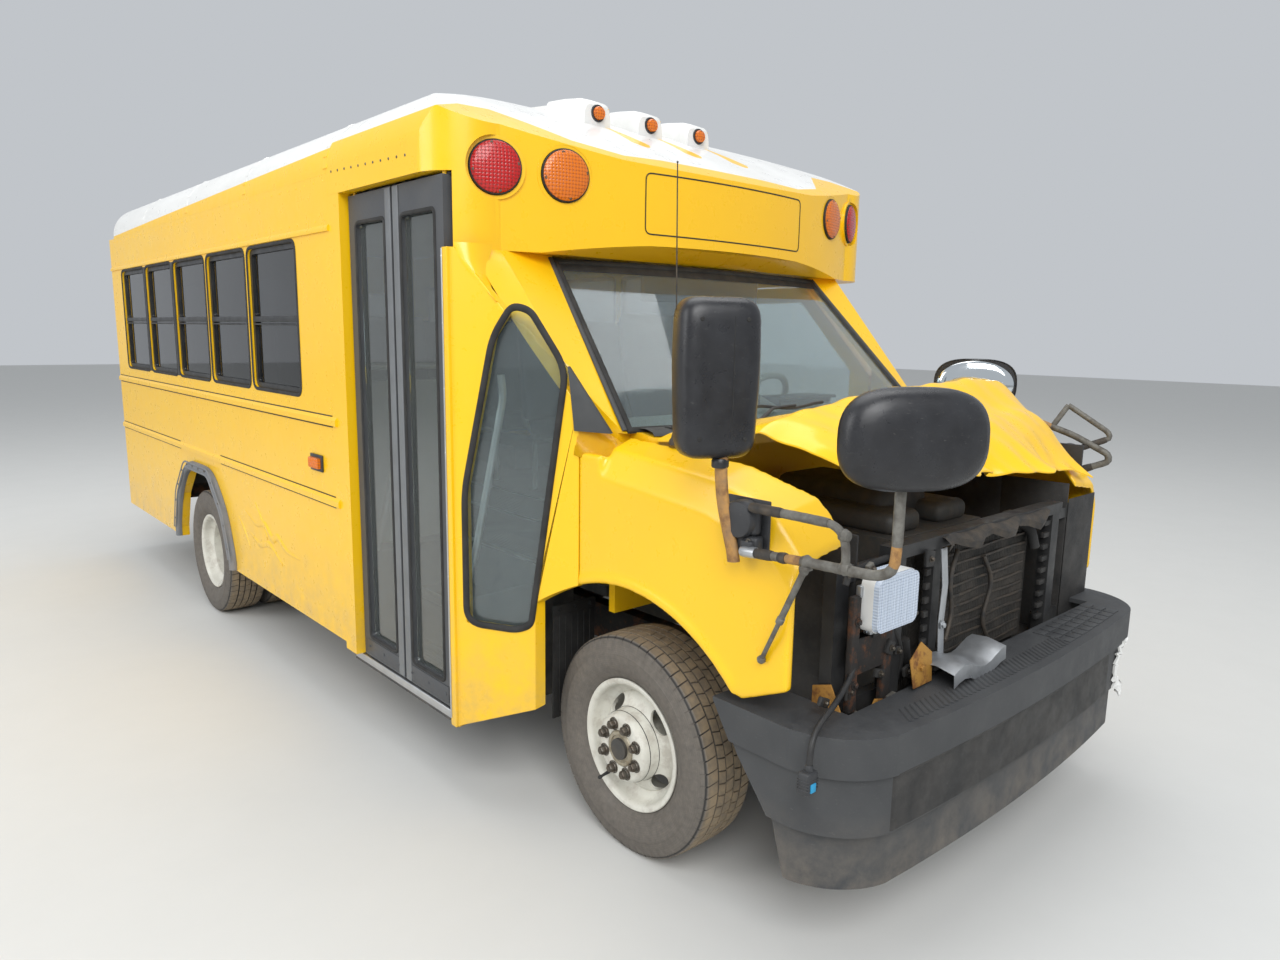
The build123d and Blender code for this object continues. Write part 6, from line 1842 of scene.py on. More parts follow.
# Front cap
@dataclass
class CapTrim(Assembly):
    """Blank sign field, warning lamps, roof lamps and header rivets of the front cap."""

    lamp_radius: float = 89.0
    lamps: tuple[tuple[float, float, float, str], ...] = (
        (1014.0, 613.0, 2262.0, "red"), (772.0, 545.0, 2256.0, "amber"),
    )
    roof_lamp_xs: tuple[float, ...] = (-298.0, 0.0, 298.0)
    sign_half: float = 456.0
    sign_low: float = 2082.0
    sign_high: float = 2300.0

    def build(self) -> list[bpy.types.Object]:
        """Build every piece of the assembly.

        Returns:
            The pieces, in order.
        """
        self.sign()
        for side in Side:
            for x, distance, z, colour in self.lamps:
                self.lamp(side, x, distance, z, colour)
        self.roof_lamps()
        self.rivets()
        return self.pieces

    def nose(self, x: float, out: float) -> float:
        """Distance from the front axle of the cap's curved face at an X, moved outward.

        Args:
            x: Millimetres from the middle.
            out: Millimetres outward from the face.

        Returns:
            The value in millimetres.
        """
        corner_x, corner, middle = 1000.0, 600.0, 428.0
        sag = corner - middle
        radius = (corner_x ** 2 + sag ** 2) / (2 * sag)
        return middle + radius - math.sqrt((radius + out) ** 2 - x ** 2)

    def sign(self) -> None:
        """Thin black border of the blank sign field."""
        loop = rounded_loop(
            [(-self.sign_half, self.sign_low), (self.sign_half, self.sign_low),
                (self.sign_half, self.sign_high),
             (-self.sign_half, self.sign_high)], 26.0,
        )
        dense = self.dense(loop)
        shape = Shape()
        path = [spot(x, self.nose(x, 0.4), z) for x, z in dense]
        shape.sweep(path, strip_section(5.0, 1.2), AHEAD, closed=True)
        self.add(shape, "sign_border", Body.BODY, "rubber", "black_paint")

    def dense(self, loop: Sequence[tuple[float, float]], step: float = 40.0) -> list[tuple[float, float]]:
        """The loop with points added so that it follows the curved face.

        Args:
            loop: Closed loop as (X, Z) in millimetres.
            step: Longest step in millimetres.

        Returns:
            Points of the outline.
        """
        result = []
        for (xa, za), (xb, zb) in zip(loop, list(loop[1:]) + [loop[0]]):
            count = max(1, round(math.hypot(xb - xa, zb - za) / step))
            result += [(xa + (xb - xa) * k / count, za + (zb - za) * k / count) for k in range(count)]
        return result

    def lamp(self, side: Side, x: float, distance: float, z: float, colour: str) -> None:
        """Domed lens with a rim, four screws, on its dark ring.

        Args:
            side: Side of the bus.
            x: Millimetres from the middle.
            distance: Millimetres rearward from the front axle.
            z: Millimetres above the ground.
            colour: Name of the lens finish.
        """
        turn = math.radians(14 if x < 900 else 22)
        axis = Vector((side.value * math.sin(turn), -math.cos(turn), 0))
        centre = spot(side.value * x, distance, z)
        name = f"{colour}_{side.name.lower()}"
        ring = Shape()
        r = self.lamp_radius * MM
        ring.lathe(
            [
                (r + 0.0015, -0.010), (r + 0.0015, 0.021), (r - 0.001, 0.024), (r - 0.008, 0.024),
                (r - 0.010, 0.020)
            ],
            centre, axis, 48,
        )
        self.add(ring, f"lamp_ring_{name}", Body.BODY, "rubber", "black_paint")
        lens = Shape()
        lens.lathe(
            [(r - 0.003, 0.020), (r - 0.004, 0.026), (r - 0.009, 0.030), (r * 0.72, 0.0345),
                (r * 0.4, 0.0372),
             (0.0, 0.0382)], centre, axis, 48,
        )
        self.add(lens, f"lamp_lens_{name}", Body.BODY, f"lens_{colour}", f"{colour}_lens")
        screws = Shape()
        across = axis.cross(UP).normalized()
        places = [
            centre + axis * 0.0285 + across * (math.cos(a) * r * 0.86)
            + Vector((0, 0, math.sin(a) * r * 0.86))
            for a in (math.radians(v) for v in (80, 170, 260, 350))
        ]
        screws.screws(places, axis, 0.0065)
        self.add(screws, f"lamp_screws_{name}", Body.BODY, "nut", "black_paint")

    def roof_lamps(self) -> None:
        """Small amber lenses in black holders on the front of the roof humps."""
        holder = Shape()
        lens = Shape()
        for x in self.roof_lamp_xs:
            face = spot(x, 946.0, 2612.0)
            holder.lathe(
                [(0.034, -0.003), (0.035, 0.003), (0.033, 0.009), (0.027, 0.009), (0.026, 0.004)], face,
                AHEAD, 28,
            )
            lens.lathe(
                [(0.026, -0.004), (0.026, 0.016), (0.021, 0.023), (0.010, 0.0265), (0.0, 0.027)], face,
                AHEAD, 24,
            )
        self.add(holder, "roof_lamp_holders", Body.BODY, "mirror", "black_paint")
        self.add(lens, "roof_lamp_lenses", Body.BODY, "lens_amber", "amber_lens")

    def rivets(self) -> None:
        """Rivets over the doorway and over the driver's door."""
        shape = Shape()
        for side in Side:
            places = [spot(side.value * HALF, 850.0 + 62.0 * k, 2306.0 + 2.0 * k) for k in range(11)]
            shape.rivets(places, Vector((side.value, 0, 0)), 0.0055, 0.0022)
        self.add(shape, "header_rivets", Body.BODY, "nut", "body_paint")


# Glass and doors
@dataclass
class GlassTrim(Assembly):
    """Windshield rubber, wipers, cowl grille, tear-drop rubber and the grey sail patch."""

    base_z: float = 1402.5
    top_z: float = 1976.0
    base: float = 83.0
    top: float = 625.0
    bow: float = 90.0

    def build(self) -> list[bpy.types.Object]:
        """Build every piece of the assembly.

        Returns:
            The pieces, in order.
        """
        self.screen_rubber()
        self.shade_band()
        self.cowl()
        self.wipers()
        self.tear_drop()
        self.sail_patch()
        self.inner_mirror()
        return self.pieces

    def half(self, z: float) -> float:
        """Half width of the glass at a height."""
        share = (z - 1399.0) / (1989.7 - 1399.0)
        return 860 + (758 - 860) * share

    def on_screen(self, across: float, up: float, out: float = 0.0) -> Vector:
        """Point of the glass's outer face.

        Args:
            across: From -1 at the right pillar to 1 at the left pillar.
            up: From 0 at the cowl to 1 at the cap.
            out: Millimetres in front of the glass.

        Returns:
            The point in metres.
        """
        z = self.base_z + (self.top_z - self.base_z) * up
        half = self.half(z)
        radius = (half ** 2 + self.bow ** 2) / (2 * self.bow)
        x = across * half
        bulge = math.sqrt(radius ** 2 - x ** 2) - (radius - self.bow)
        lean = math.atan2(self.top - self.base, self.top_z - self.base_z)
        distance = self.base + (self.top - self.base) * up - bulge
        return spot(x, distance - out * math.cos(lean), z + out * math.sin(lean))

    def screen_rubber(self) -> None:
        """Black rubber round the glass and the grey trim along the pillars."""
        edge = [(-1 + 2 * k / 24, 0.0) for k in range(25)] + [(1.0, k / 10) for k in range(1, 10)]
        edge += [(1 - 2 * k / 24, 1.0) for k in range(25)] + [(-1.0, 1 - k / 10) for k in range(1, 10)]
        lean = math.atan2(self.top - self.base, self.top_z - self.base_z)
        normal = Vector((0, -math.cos(lean), math.sin(lean)))
        shape = Shape()
        path = [self.on_screen(a * 0.992, 0.006 + b * 0.986, 1.0) for a, b in edge]
        shape.sweep(path, bead_section(26.0, 9.0), normal, closed=True)
        self.add(shape, "windshield_rubber", Body.BODY, "rubber", "black_paint")
        shape = Shape()
        for across in (-1.0, 1.0):
            path = [self.on_screen(across * 1.018, k / 12, 6.0) for k in range(13)]
            shape.sweep(path, bead_section(20.0, 7.0), normal)
        self.add(shape, "pillar_trim", Body.BODY, "dash_dark", "black_paint")

    def shade_band(self) -> None:
        """Black printed band inside the glass along its top."""
        shape = Shape()
        rows = [
            [self.on_screen(-0.985 + 1.97 * k / 24, up, 0.6) for k in range(25)]
            for up in (0.985, 0.955, 0.93)
        ]
        shape.band(rows)
        self.add(shape, "windshield_band", Body.BODY, "rubber", "black_paint")

    def cowl(self) -> None:
        """Grey cowl moulding with its row of air slots."""
        shape = Shape()
        slots = Shape()
        rows = []
        for share in range(25):
            across = -0.96 + 1.92 * share / 24
            top = self.on_screen(across, 0.0, 12.0)
            rows.append([
                top + Vector((0, 0.004, 0.004)), top + Vector((0, -0.030, 0.004)),
                top + Vector((0, -0.062, -0.004)),
                top + Vector((0, -0.072, -0.016)),
            ])
        shape.band(rows)
        for k in range(60):
            across = -0.86 + 1.72 * k / 59
            if abs(across) < 0.04:
                continue
            top = self.on_screen(across, 0.0, 12.0) + Vector((0, -0.030, 0.0035))
            slots.block(top + Vector((-0.0035, -0.022, 0.0)), top + Vector((0.0035, 0.016, 0.0025)), 0.001)
        self.add(shape, "cowl_moulding", Body.BODY, "dash_dark", "black_paint")
        self.add(slots, "cowl_slots", Body.BODY, "rubber", "black_paint")

    def wipers(self) -> None:
        """Two wiper arms with blades parked low on the glass."""
        for name, pivot, far, low, high in (
            ("right", -0.42, -0.10, 0.028, 0.075), ("left", 0.12, 0.72, 0.030, 0.085),
        ):
            shape = Shape()
            root = self.on_screen(pivot, 0.0, 20.0) + Vector((0, -0.028, -0.002))
            middle = self.on_screen((pivot + far) / 2, (low + high) / 2 + 0.01, 26.0)
            tip = self.on_screen(far, high, 22.0)
            shape.lathe(
                [(0.016, -0.012), (0.018, 0.0), (0.015, 0.012), (0.0, 0.015)], root, Vector((0, -0.5, 0.8)),
                20
            )
            shape.tube([root, root.lerp(middle, 0.5), middle, tip], 0.0065, 8, (1.4, 1.2, 0.9, 0.7))
            lean = Vector((0, -0.72, 0.69))
            blade = [
                self.on_screen(far + (k / 8 - 0.62) * 0.56, high + 0.012 * math.sin(k), 13.0)
                for k in range(9)
            ]
            shape.sweep(
                blade, [(-0.004, 0.0), (-0.006, 0.006), (0.0, 0.010), (0.006, 0.006), (0.004, 0.0)], lean
            )
            self.add(shape, f"wiper_{name}", Body.BODY, "mirror", "black_paint")

    def panel(self, distance: float, z: float, out: float) -> Vector:
        """Point of the slanted panel's outer face, moved outward.

        Args:
            distance: Millimetres rearward from the front axle.
            z: Millimetres above the ground.
            out: Millimetres outward from the face.

        Returns:
            The point in metres.
        """
        rear, front, rear_x, front_x = 617.0, 190.0, -1196.0, -976.0
        x = front_x + (rear_x - front_x) * (distance - front) / (rear - front)
        normal = Vector((-(rear - front), rear_x - front_x, 0)).normalized()
        return spot(x, distance, z) + normal * out * MM

    def tear_drop(self) -> None:
        """Black rubber round the tall window in the slanted panel."""
        corners = [
            (575, 700), (575, 1170), (470, 1700), (405, 1800), (345, 1785), (232, 1600), (348, 725),
            (400, 700),
        ]
        loop = rounded_loop(corners, 60.0, 6)
        normal = Vector((-427.0, -220.0, 0)).normalized()
        shape = Shape()
        path = [self.panel(distance, z, 0.5) for distance, z in loop]
        shape.sweep(path, bead_section(24.0, 9.0), normal, closed=True)
        self.add(shape, "tear_drop_rubber", Body.BODY, "rubber", "black_paint")

    def sail_patch(self) -> None:
        """Grey triangular moulding between the pillar and the slanted panel."""
        shape = Shape()
        a = Vector((-0.9905, FRONT_AXLE_Y + 0.196, 1.404))
        b = Vector((-0.925, FRONT_AXLE_Y + 0.075, 1.404))
        c = Vector((-0.986, FRONT_AXLE_Y + 0.232, 1.610))
        out = Vector((-0.9, -0.42, 0)).normalized()
        shape.plate([a + out * 0.004, b + out * 0.026, c + out * 0.010], out * -0.02, 0.002)
        self.add(shape, "sail_patch", Body.BODY, "dash_dark", "black_paint")

    def inner_mirror(self) -> None:
        """Wide mirror over the driver on its stem."""
        shape = Shape()
        centre = spot(120.0, 720.0, 1900.0)
        shape.block(centre + Vector((-0.36, -0.012, -0.055)), centre + Vector((0.36, 0.012, 0.055)), 0.010, 3)
        shape.tube(
            [centre + Vector((0, 0, 0.03)), centre + Vector((0, 0.02, 0.10)), spot(120.0, 735.0, 2035.0)],
            0.009, 10
        )
        self.add(shape, "inner_mirror", Body.BODY, "mirror", "mirror_plastic")
        shape = Shape()
        shape.block(
            centre + Vector((-0.35, 0.0115, -0.046)), centre + Vector((0.35, 0.0135, 0.046)), 0.004, 3
        )
        self.add(shape, "inner_mirror_face", Body.BODY, "mirror_face", "mirror_plastic")


@dataclass
class EntranceTrim(Assembly):
    """Rubbers, centre seals and jamb trims of the entrance, its steps and grab rails."""

    outer: float = 1186.0
    leaf: float = 40.0
    low: float = 350.0
    high: float = 2228.0
    edges: tuple[tuple[float, float], tuple[float, float]] = ((659.0, 1022.5), (1034.5, 1398.0))

    def build(self) -> list[bpy.types.Object]:
        """Build every piece of the assembly.

        Returns:
            The pieces, in order.
        """
        out = Vector((-1, 0, 0))
        for (near, far), body in zip(self.edges, (Body.LEAF_FRONT, Body.LEAF_REAR)):
            name = "front" if body is Body.LEAF_FRONT else "rear"
            shape = Shape()
            for x, grow in ((-self.outer - 0.2, 3.0), (-self.outer + self.leaf + 0.2, 3.0)):
                loop = rounded_loop(
                    [(near + 62 - grow, 440 - grow), (far - 62 + grow, 440 - grow),
                        (far - 62 + grow, 2120 + grow),
                     (near + 62 - grow, 2120 + grow)], 24.0, 4,
                )
                normal = out if x < -self.outer else -out
                shape.sweep([spot(x, d, z) for d, z in loop], bead_section(15.0, 5.0), normal, closed=True)
            self.add(shape, f"leaf_rubber_{name}", body, "rubber", "dark_frame")
            meeting = far if body is Body.LEAF_FRONT else near
            inward = -1 if body is Body.LEAF_FRONT else 1
            strip = Shape()
            path = [
                spot(-self.outer - 0.2, meeting + inward * 24, z)
                for z in (self.low + 6, 1300.0, self.high - 4)
            ]
            strip.sweep(path, strip_section(44.0, 3.5), out)
            self.add(strip, f"leaf_plate_{name}", body, "door_centre", "dark_frame")
            seal = Shape()
            path = [
                spot(-self.outer + 14, meeting - inward * 1.5, z)
                for z in (self.low + 4, 1300.0, self.high - 2)
            ]
            seal.tube(path, 0.0042, 10)
            self.add(seal, f"leaf_seal_{name}", body, "rubber", "dark_frame")
            kick = Shape()
            kick.block(
                spot(-self.outer - 2.5, near + 30, self.low + 12), spot(-self.outer, far - 30, self.low + 74),
                0.002,
            )
            kick.screws(
                [spot(-self.outer - 2.5, d, self.low + 43) for d in (near + 50, (near + far) / 2, far - 50)],
                out, 0.006,
            )
            self.add(kick, f"leaf_kick_{name}", body, "door_grey", "dark_frame")
        self.jambs()
        self.steps()
        self.rails()
        return self.pieces

    def jambs(self) -> None:
        """Bright trim with rivets on the front jamb and the dark header rubber."""
        shape = Shape()
        out = Vector((-1, 0, 0))
        path = [spot(-1206.5, 640.0, z) for z in (330.0, 1200.0, 1986.0)]
        shape.sweep(path, strip_section(9.0, 2.5), out)
        shape.rivets([spot(-1208.8, 640.0, 420.0 + 220 * k) for k in range(8)], out, 0.0035, 0.0015)
        self.add(shape, "jamb_trim", Body.BODY, "aluminium", "sash_metal")
        shape = Shape()
        path = [spot(-1150.0, d, 2236.0) for d in (655.0, 1030.0, 1404.0)]
        shape.sweep(path, strip_section(26.0, 10.0), Vector((0, 0, -1)))
        self.add(shape, "header_rubber", Body.BODY, "rubber", "dark_frame")

    def steps(self) -> None:
        """Ribbed treads and bright nosings of the steps."""
        shape = Shape()
        for x0, x1, z in ((-1128.0, -898.0, 336.0), (-884.0, -668.0, 561.0), (-640.0, -420.0, 761.0)):
            for k in range(13):
                x = x0 + (x1 - x0) * (k + 0.5) / 13
                shape.sweep(
                    [spot(x, d, z) for d in (672.0, 1030.0, 1490.0)], strip_section(9.0, 2.5), UP,
                )
        self.add(shape, "step_treads", Body.BODY, "floor_rubber", "floor_mat")
        shape = Shape()
        for x, z in ((-1180.0, 336.0), (-890.0, 561.0), (-640.0, 761.0)):
            shape.block(spot(x - 8, 660.0, z - 30), spot(x + 26, 1496.0, z + 3), 0.004, 3)
        self.add(shape, "step_nosings", Body.BODY, "aluminium", "sash_metal")

    def rails(self) -> None:
        """Bright grab rails inside the doorway and the panel behind the steps."""
        shape = Shape()
        for distance in (700.0, 1440.0):
            path = [
                spot(-1100.0, distance, 780.0), spot(-1060.0, distance, 900.0),
                spot(-930.0, distance, 1480.0),
                spot(-940.0, distance, 1560.0),
            ]
            shape.tube(eased(path, 0.09), 0.0145, 12)
        path = [spot(-620.0, 1500.0, 770.0), spot(-620.0, 1500.0, 1560.0), spot(-1130.0, 1500.0, 1560.0)]
        shape.tube(eased(path, 0.12), 0.0145, 12)
        self.add(shape, "grab_rails", Body.BODY, "aluminium", "sash_metal")
        shape = Shape()
        shape.block(spot(-1130.0, 1506.0, 790.0), spot(-640.0, 1512.0, 1500.0), 0.002)
        self.add(shape, "modesty_panel", Body.BODY, "inner_grey", "floor_mat")


# Nose
@dataclass
class Hood(Assembly):
    """Crumpled hood sheet with a rolled edge, folds and a torn front corner.

    Attributes:
        stations: Distance, left X, right X, left Z, right Z and crown of each station.
    """

    stations: tuple[tuple[float, ...], ...] = (
        (-22.0, 830.0, -830.0, 1404.0, 1402.0, 30.0),
        (-190.0, 840.0, -760.0, 1470.0, 1410.0, 40.0),
        (-330.0, 850.0, -700.0, 1545.0, 1440.0, 46.0),
        (-480.0, 840.0, -640.0, 1420.0, 1400.0, 40.0),
        (-700.0, 800.0, -440.0, 1240.0, 1310.0, 26.0),
    )
    rows: int = 90
    columns: int = 110
    sheet: float = 5.0

    def build(self) -> list[bpy.types.Object]:
        """Build every piece of the assembly.

        Returns:
            The pieces, in order.
        """
        shape = Shape()
        top = [
            [self.point(r / self.rows, c / self.columns) for c in range(self.columns + 1)]
            for r in range(self.rows + 1)
        ]
        under = [[point + Vector((0, 0.001, -self.sheet * MM)) for point in row] for row in top]
        grid = [[shape.bm.verts.new(p) for p in row] for row in top]
        below = [[shape.bm.verts.new(p) for p in row] for row in under]
        for r in range(self.rows):
            for c in range(self.columns):
                shape.bm.faces.new((grid[r][c], grid[r][c + 1], grid[r + 1][c + 1], grid[r + 1][c]))
                shape.bm.faces.new((below[r][c], below[r + 1][c], below[r + 1][c + 1], below[r][c + 1]))
        rim = [(0, c) for c in range(self.columns + 1)] + [(r, self.columns) for r in range(1, self.rows + 1)]
        rim += [(self.rows, c) for c in range(self.columns - 1, -1, -1)] + [
            (r, 0) for r in range(self.rows - 1, 0, -1)
        ]
        for (ra, ca), (rb, cb) in zip(rim, rim[1:] + rim[:1]):
            shape.bm.faces.new((grid[ra][ca], below[ra][ca], below[rb][cb], grid[rb][cb]))
        self.add(shape, "hood_sheet", Body.BODY, "paint_yellow", "body_paint", 50.0, ("hood",))
        return self.pieces

    def point(self, along: float, across: float) -> Vector:
        """Point of the sheet: along from the cowl to the nose, across from right to left.

        Args:
            along: 0 at the cowl, 1 at the nose.
            across: 0 at the right edge, 1 at the left.

        Returns:
            The point in metres.
        """
        at = along * (len(self.stations) - 1)
        index = min(int(at), len(self.stations) - 2)
        share = at - index
        eased_share = share * share * (3 - 2 * share) * 0.55 + share * 0.45
        near, far = self.stations[index], self.stations[index + 1]
        values = [a + (b - a) * eased_share for a, b in zip(near, far)]
        left, right, left_z, right_z, crown = values[1:]
        distance = near[0] + (far[0] - near[0]) * share
        x = right + (left - right) * across
        arc = 1 - abs(2 * across - 1) ** 2.6
        z = right_z + (left_z - right_z) * across + crown * arc
        fade = min(1.0, along * 5.0)
        fold = math.sin(along * 21.0 + across * 5.0) * 7.0 * fade * along
        crease = -13.0 * math.exp(-((along - 0.34 - 0.12 * across) / 0.045) ** 2)
        crease += 11.0 * math.exp(-((along - 0.52 + 0.16 * across) / 0.06) ** 2)
        crease += -10.0 * math.exp(-((across - 0.28 - 0.20 * along) / 0.035) ** 2) * along
        rough = self.rumple(x * 0.006, distance * 0.006) * 9.0 * fade * (0.25 + along)
        z += fold + crease * fade + rough
        edge = max(0.0, along - 0.86) / 0.14
        distance += self.rumple(across * 9.0, 3.1) * 34.0 * edge + 22.0 * edge * math.sin(across * 17.0)
        z -= 16.0 * edge ** 2 * (0.4 + across)
        side_edge = max(0.0, 0.05 - min(across, 1 - across)) / 0.05
        z -= 15.0 * side_edge ** 2
        return spot(x, distance, z - 2.0)

    def rumple(self, u: float, v: float) -> float:
        """Smooth repeatable unevenness between about -1 and 1.

        Args:
            u: Place along the sheet.
            v: Place across the sheet.

        Returns:
            A value between about -1 and 1.
        """
        return (
            math.sin(u * 1.7 + v * 2.3) + 0.6 * math.sin(u * 4.1 - v * 3.2 + 1.1)
            + 0.35 * math.sin(u * 8.3 + v * 6.9 + 2.0)
        ) / 1.6


def bumper_front(x: float, grow: float) -> float:
    """Distance of the bumper's outer face at an X for a grown outline.

    Args:
        x: Millimetres from the middle.
        grow: Millimetres that the outline grows.

    Returns:
        The value in millimetres.
    """
    half = 985.0 + grow
    front = -950.0 - grow
    bend = half - 190
    if abs(x) <= bend:
        sag = 34.0
        radius = (bend ** 2 + sag ** 2) / (2 * sag)
        return front + radius - math.sqrt(radius ** 2 - x ** 2)
    a = Vector((bend, front + 34, 0))
    b = Vector((half - 70, -850.0 - grow, 0))
    c = Vector((half, -700.0, 0))
    share = min(1.0, (abs(x) - bend) / (half - bend))
    low, high = 0.0, 1.0
    for _ in range(30):
        t = (low + high) / 2
        point = a.lerp(b, t).lerp(b.lerp(c, t), t)
        if point.x < bend + share * (half - bend):
            low = t
        else:
            high = t
    return point.y


@dataclass
class BumperTrim(Assembly):
    """Shelf flutes, step pads, band lines and the torn left edge of the front bumper.

    Attributes:
        top: Height of the shelf.
        flute_pitch: Distance between the flutes.
        flute_start: X of the first flute.
        flute_end: X after which no flute stands.
    """

    top: float = 712.0
    flute_pitch: float = 24.0
    flute_start: float = -700.0
    flute_end: float = 240.0

    def build(self) -> list[bpy.types.Object]:
        """Build every piece of the assembly.

        Returns:
            The pieces, in order.
        """
        self.flutes()
        self.pads()
        self.lower_bands()
        self.torn_edge()
        return self.pieces

    def flutes(self) -> None:
        """Slanted shallow flutes on the shelf's front edge."""
        shape = Shape()
        for k in range(int((self.flute_end - self.flute_start) // self.flute_pitch) + 1):
            x = self.flute_start + self.flute_pitch * k
            start = spot(x, bumper_front(x, 0) + 34, self.top + 0.4)
            end = spot(x + 46, bumper_front(x + 46, 0) + 96, self.top + 0.4)
            shape.sweep([start, start.lerp(end, 0.5), end], bead_section(13.0, 3.0, 4), UP)
        self.add(shape, "bumper_flutes", Body.BODY, "bumper", "bumper_plastic")

    def pads(self) -> None:
        """Rows of low step pads on the shelf."""
        shape = Shape()
        for row in range(3):
            for k in range(9):
                x = 262.0 + 56.0 * k
                y = bumper_front(x + 25, 0) + 34 + 44.0 * row
                if y > -765:
                    continue
                shape.block(spot(x, y, self.top - 0.5), spot(x + 49, y + 38, self.top + 3.2), 0.0025)
        self.add(shape, "bumper_pads", Body.BODY, "bumper", "bumper_plastic")

    def lower_bands(self) -> None:
        """Dark middle band over the cover, and the seam lines between the bands."""
        shape = Shape()
        for z, grow, width in ((600.0, -3.0, 9.0), (430.0, -16.0, 7.0)):
            xs = [-905.0 + 1470.0 * k / 60 for k in range(61)]
            path = [spot(x, bumper_front(x, grow) - 0.5, z) for x in xs]
            shape.sweep(path, bead_section(width, 3.5, 4), AHEAD)
        self.add(shape, "bumper_seams", Body.BODY, "bumper_dark", "bumper_plastic")
        shape = Shape()
        xs = [-940.0 + 1560.0 * k / 70 for k in range(71)]
        rows = [
            [spot(x, bumper_front(x, -11.0) - 0.8, z) for x in xs]
            for z in (594.0, 560.0, 520.0, 480.0, 436.0)
        ]
        shape.band(rows)
        self.add(shape, "bumper_middle", Body.BODY, "bumper_dark", "bumper_plastic")

    def torn_edge(self) -> None:
        """Whitened ragged lip round the hole at the left end."""
        shape = Shape()
        path = []
        for k in range(37):
            share = k / 36
            turn = math.pi * (0.15 + 1.5 * share)
            x = 815.0 + 118.0 * math.cos(turn) + 9 * math.sin(k * 2.7)
            z = 505.0 + 100.0 * math.sin(turn) + 8 * math.sin(k * 1.9 + 1)
            y = bumper_front(x, -4.0) + 6 + 6 * math.sin(k * 3.3)
            path.append(spot(x, y, z))
        shape.sweep(
            path, [(-0.011, 0.0), (-0.009, 0.006), (0.002, 0.011), (0.010, 0.004), (0.008, -0.003)],
            Vector((0.3, -1, 0))
        )
        self.add(shape, "bumper_torn_lip", Body.BODY, "sign_white", "bumper_plastic")


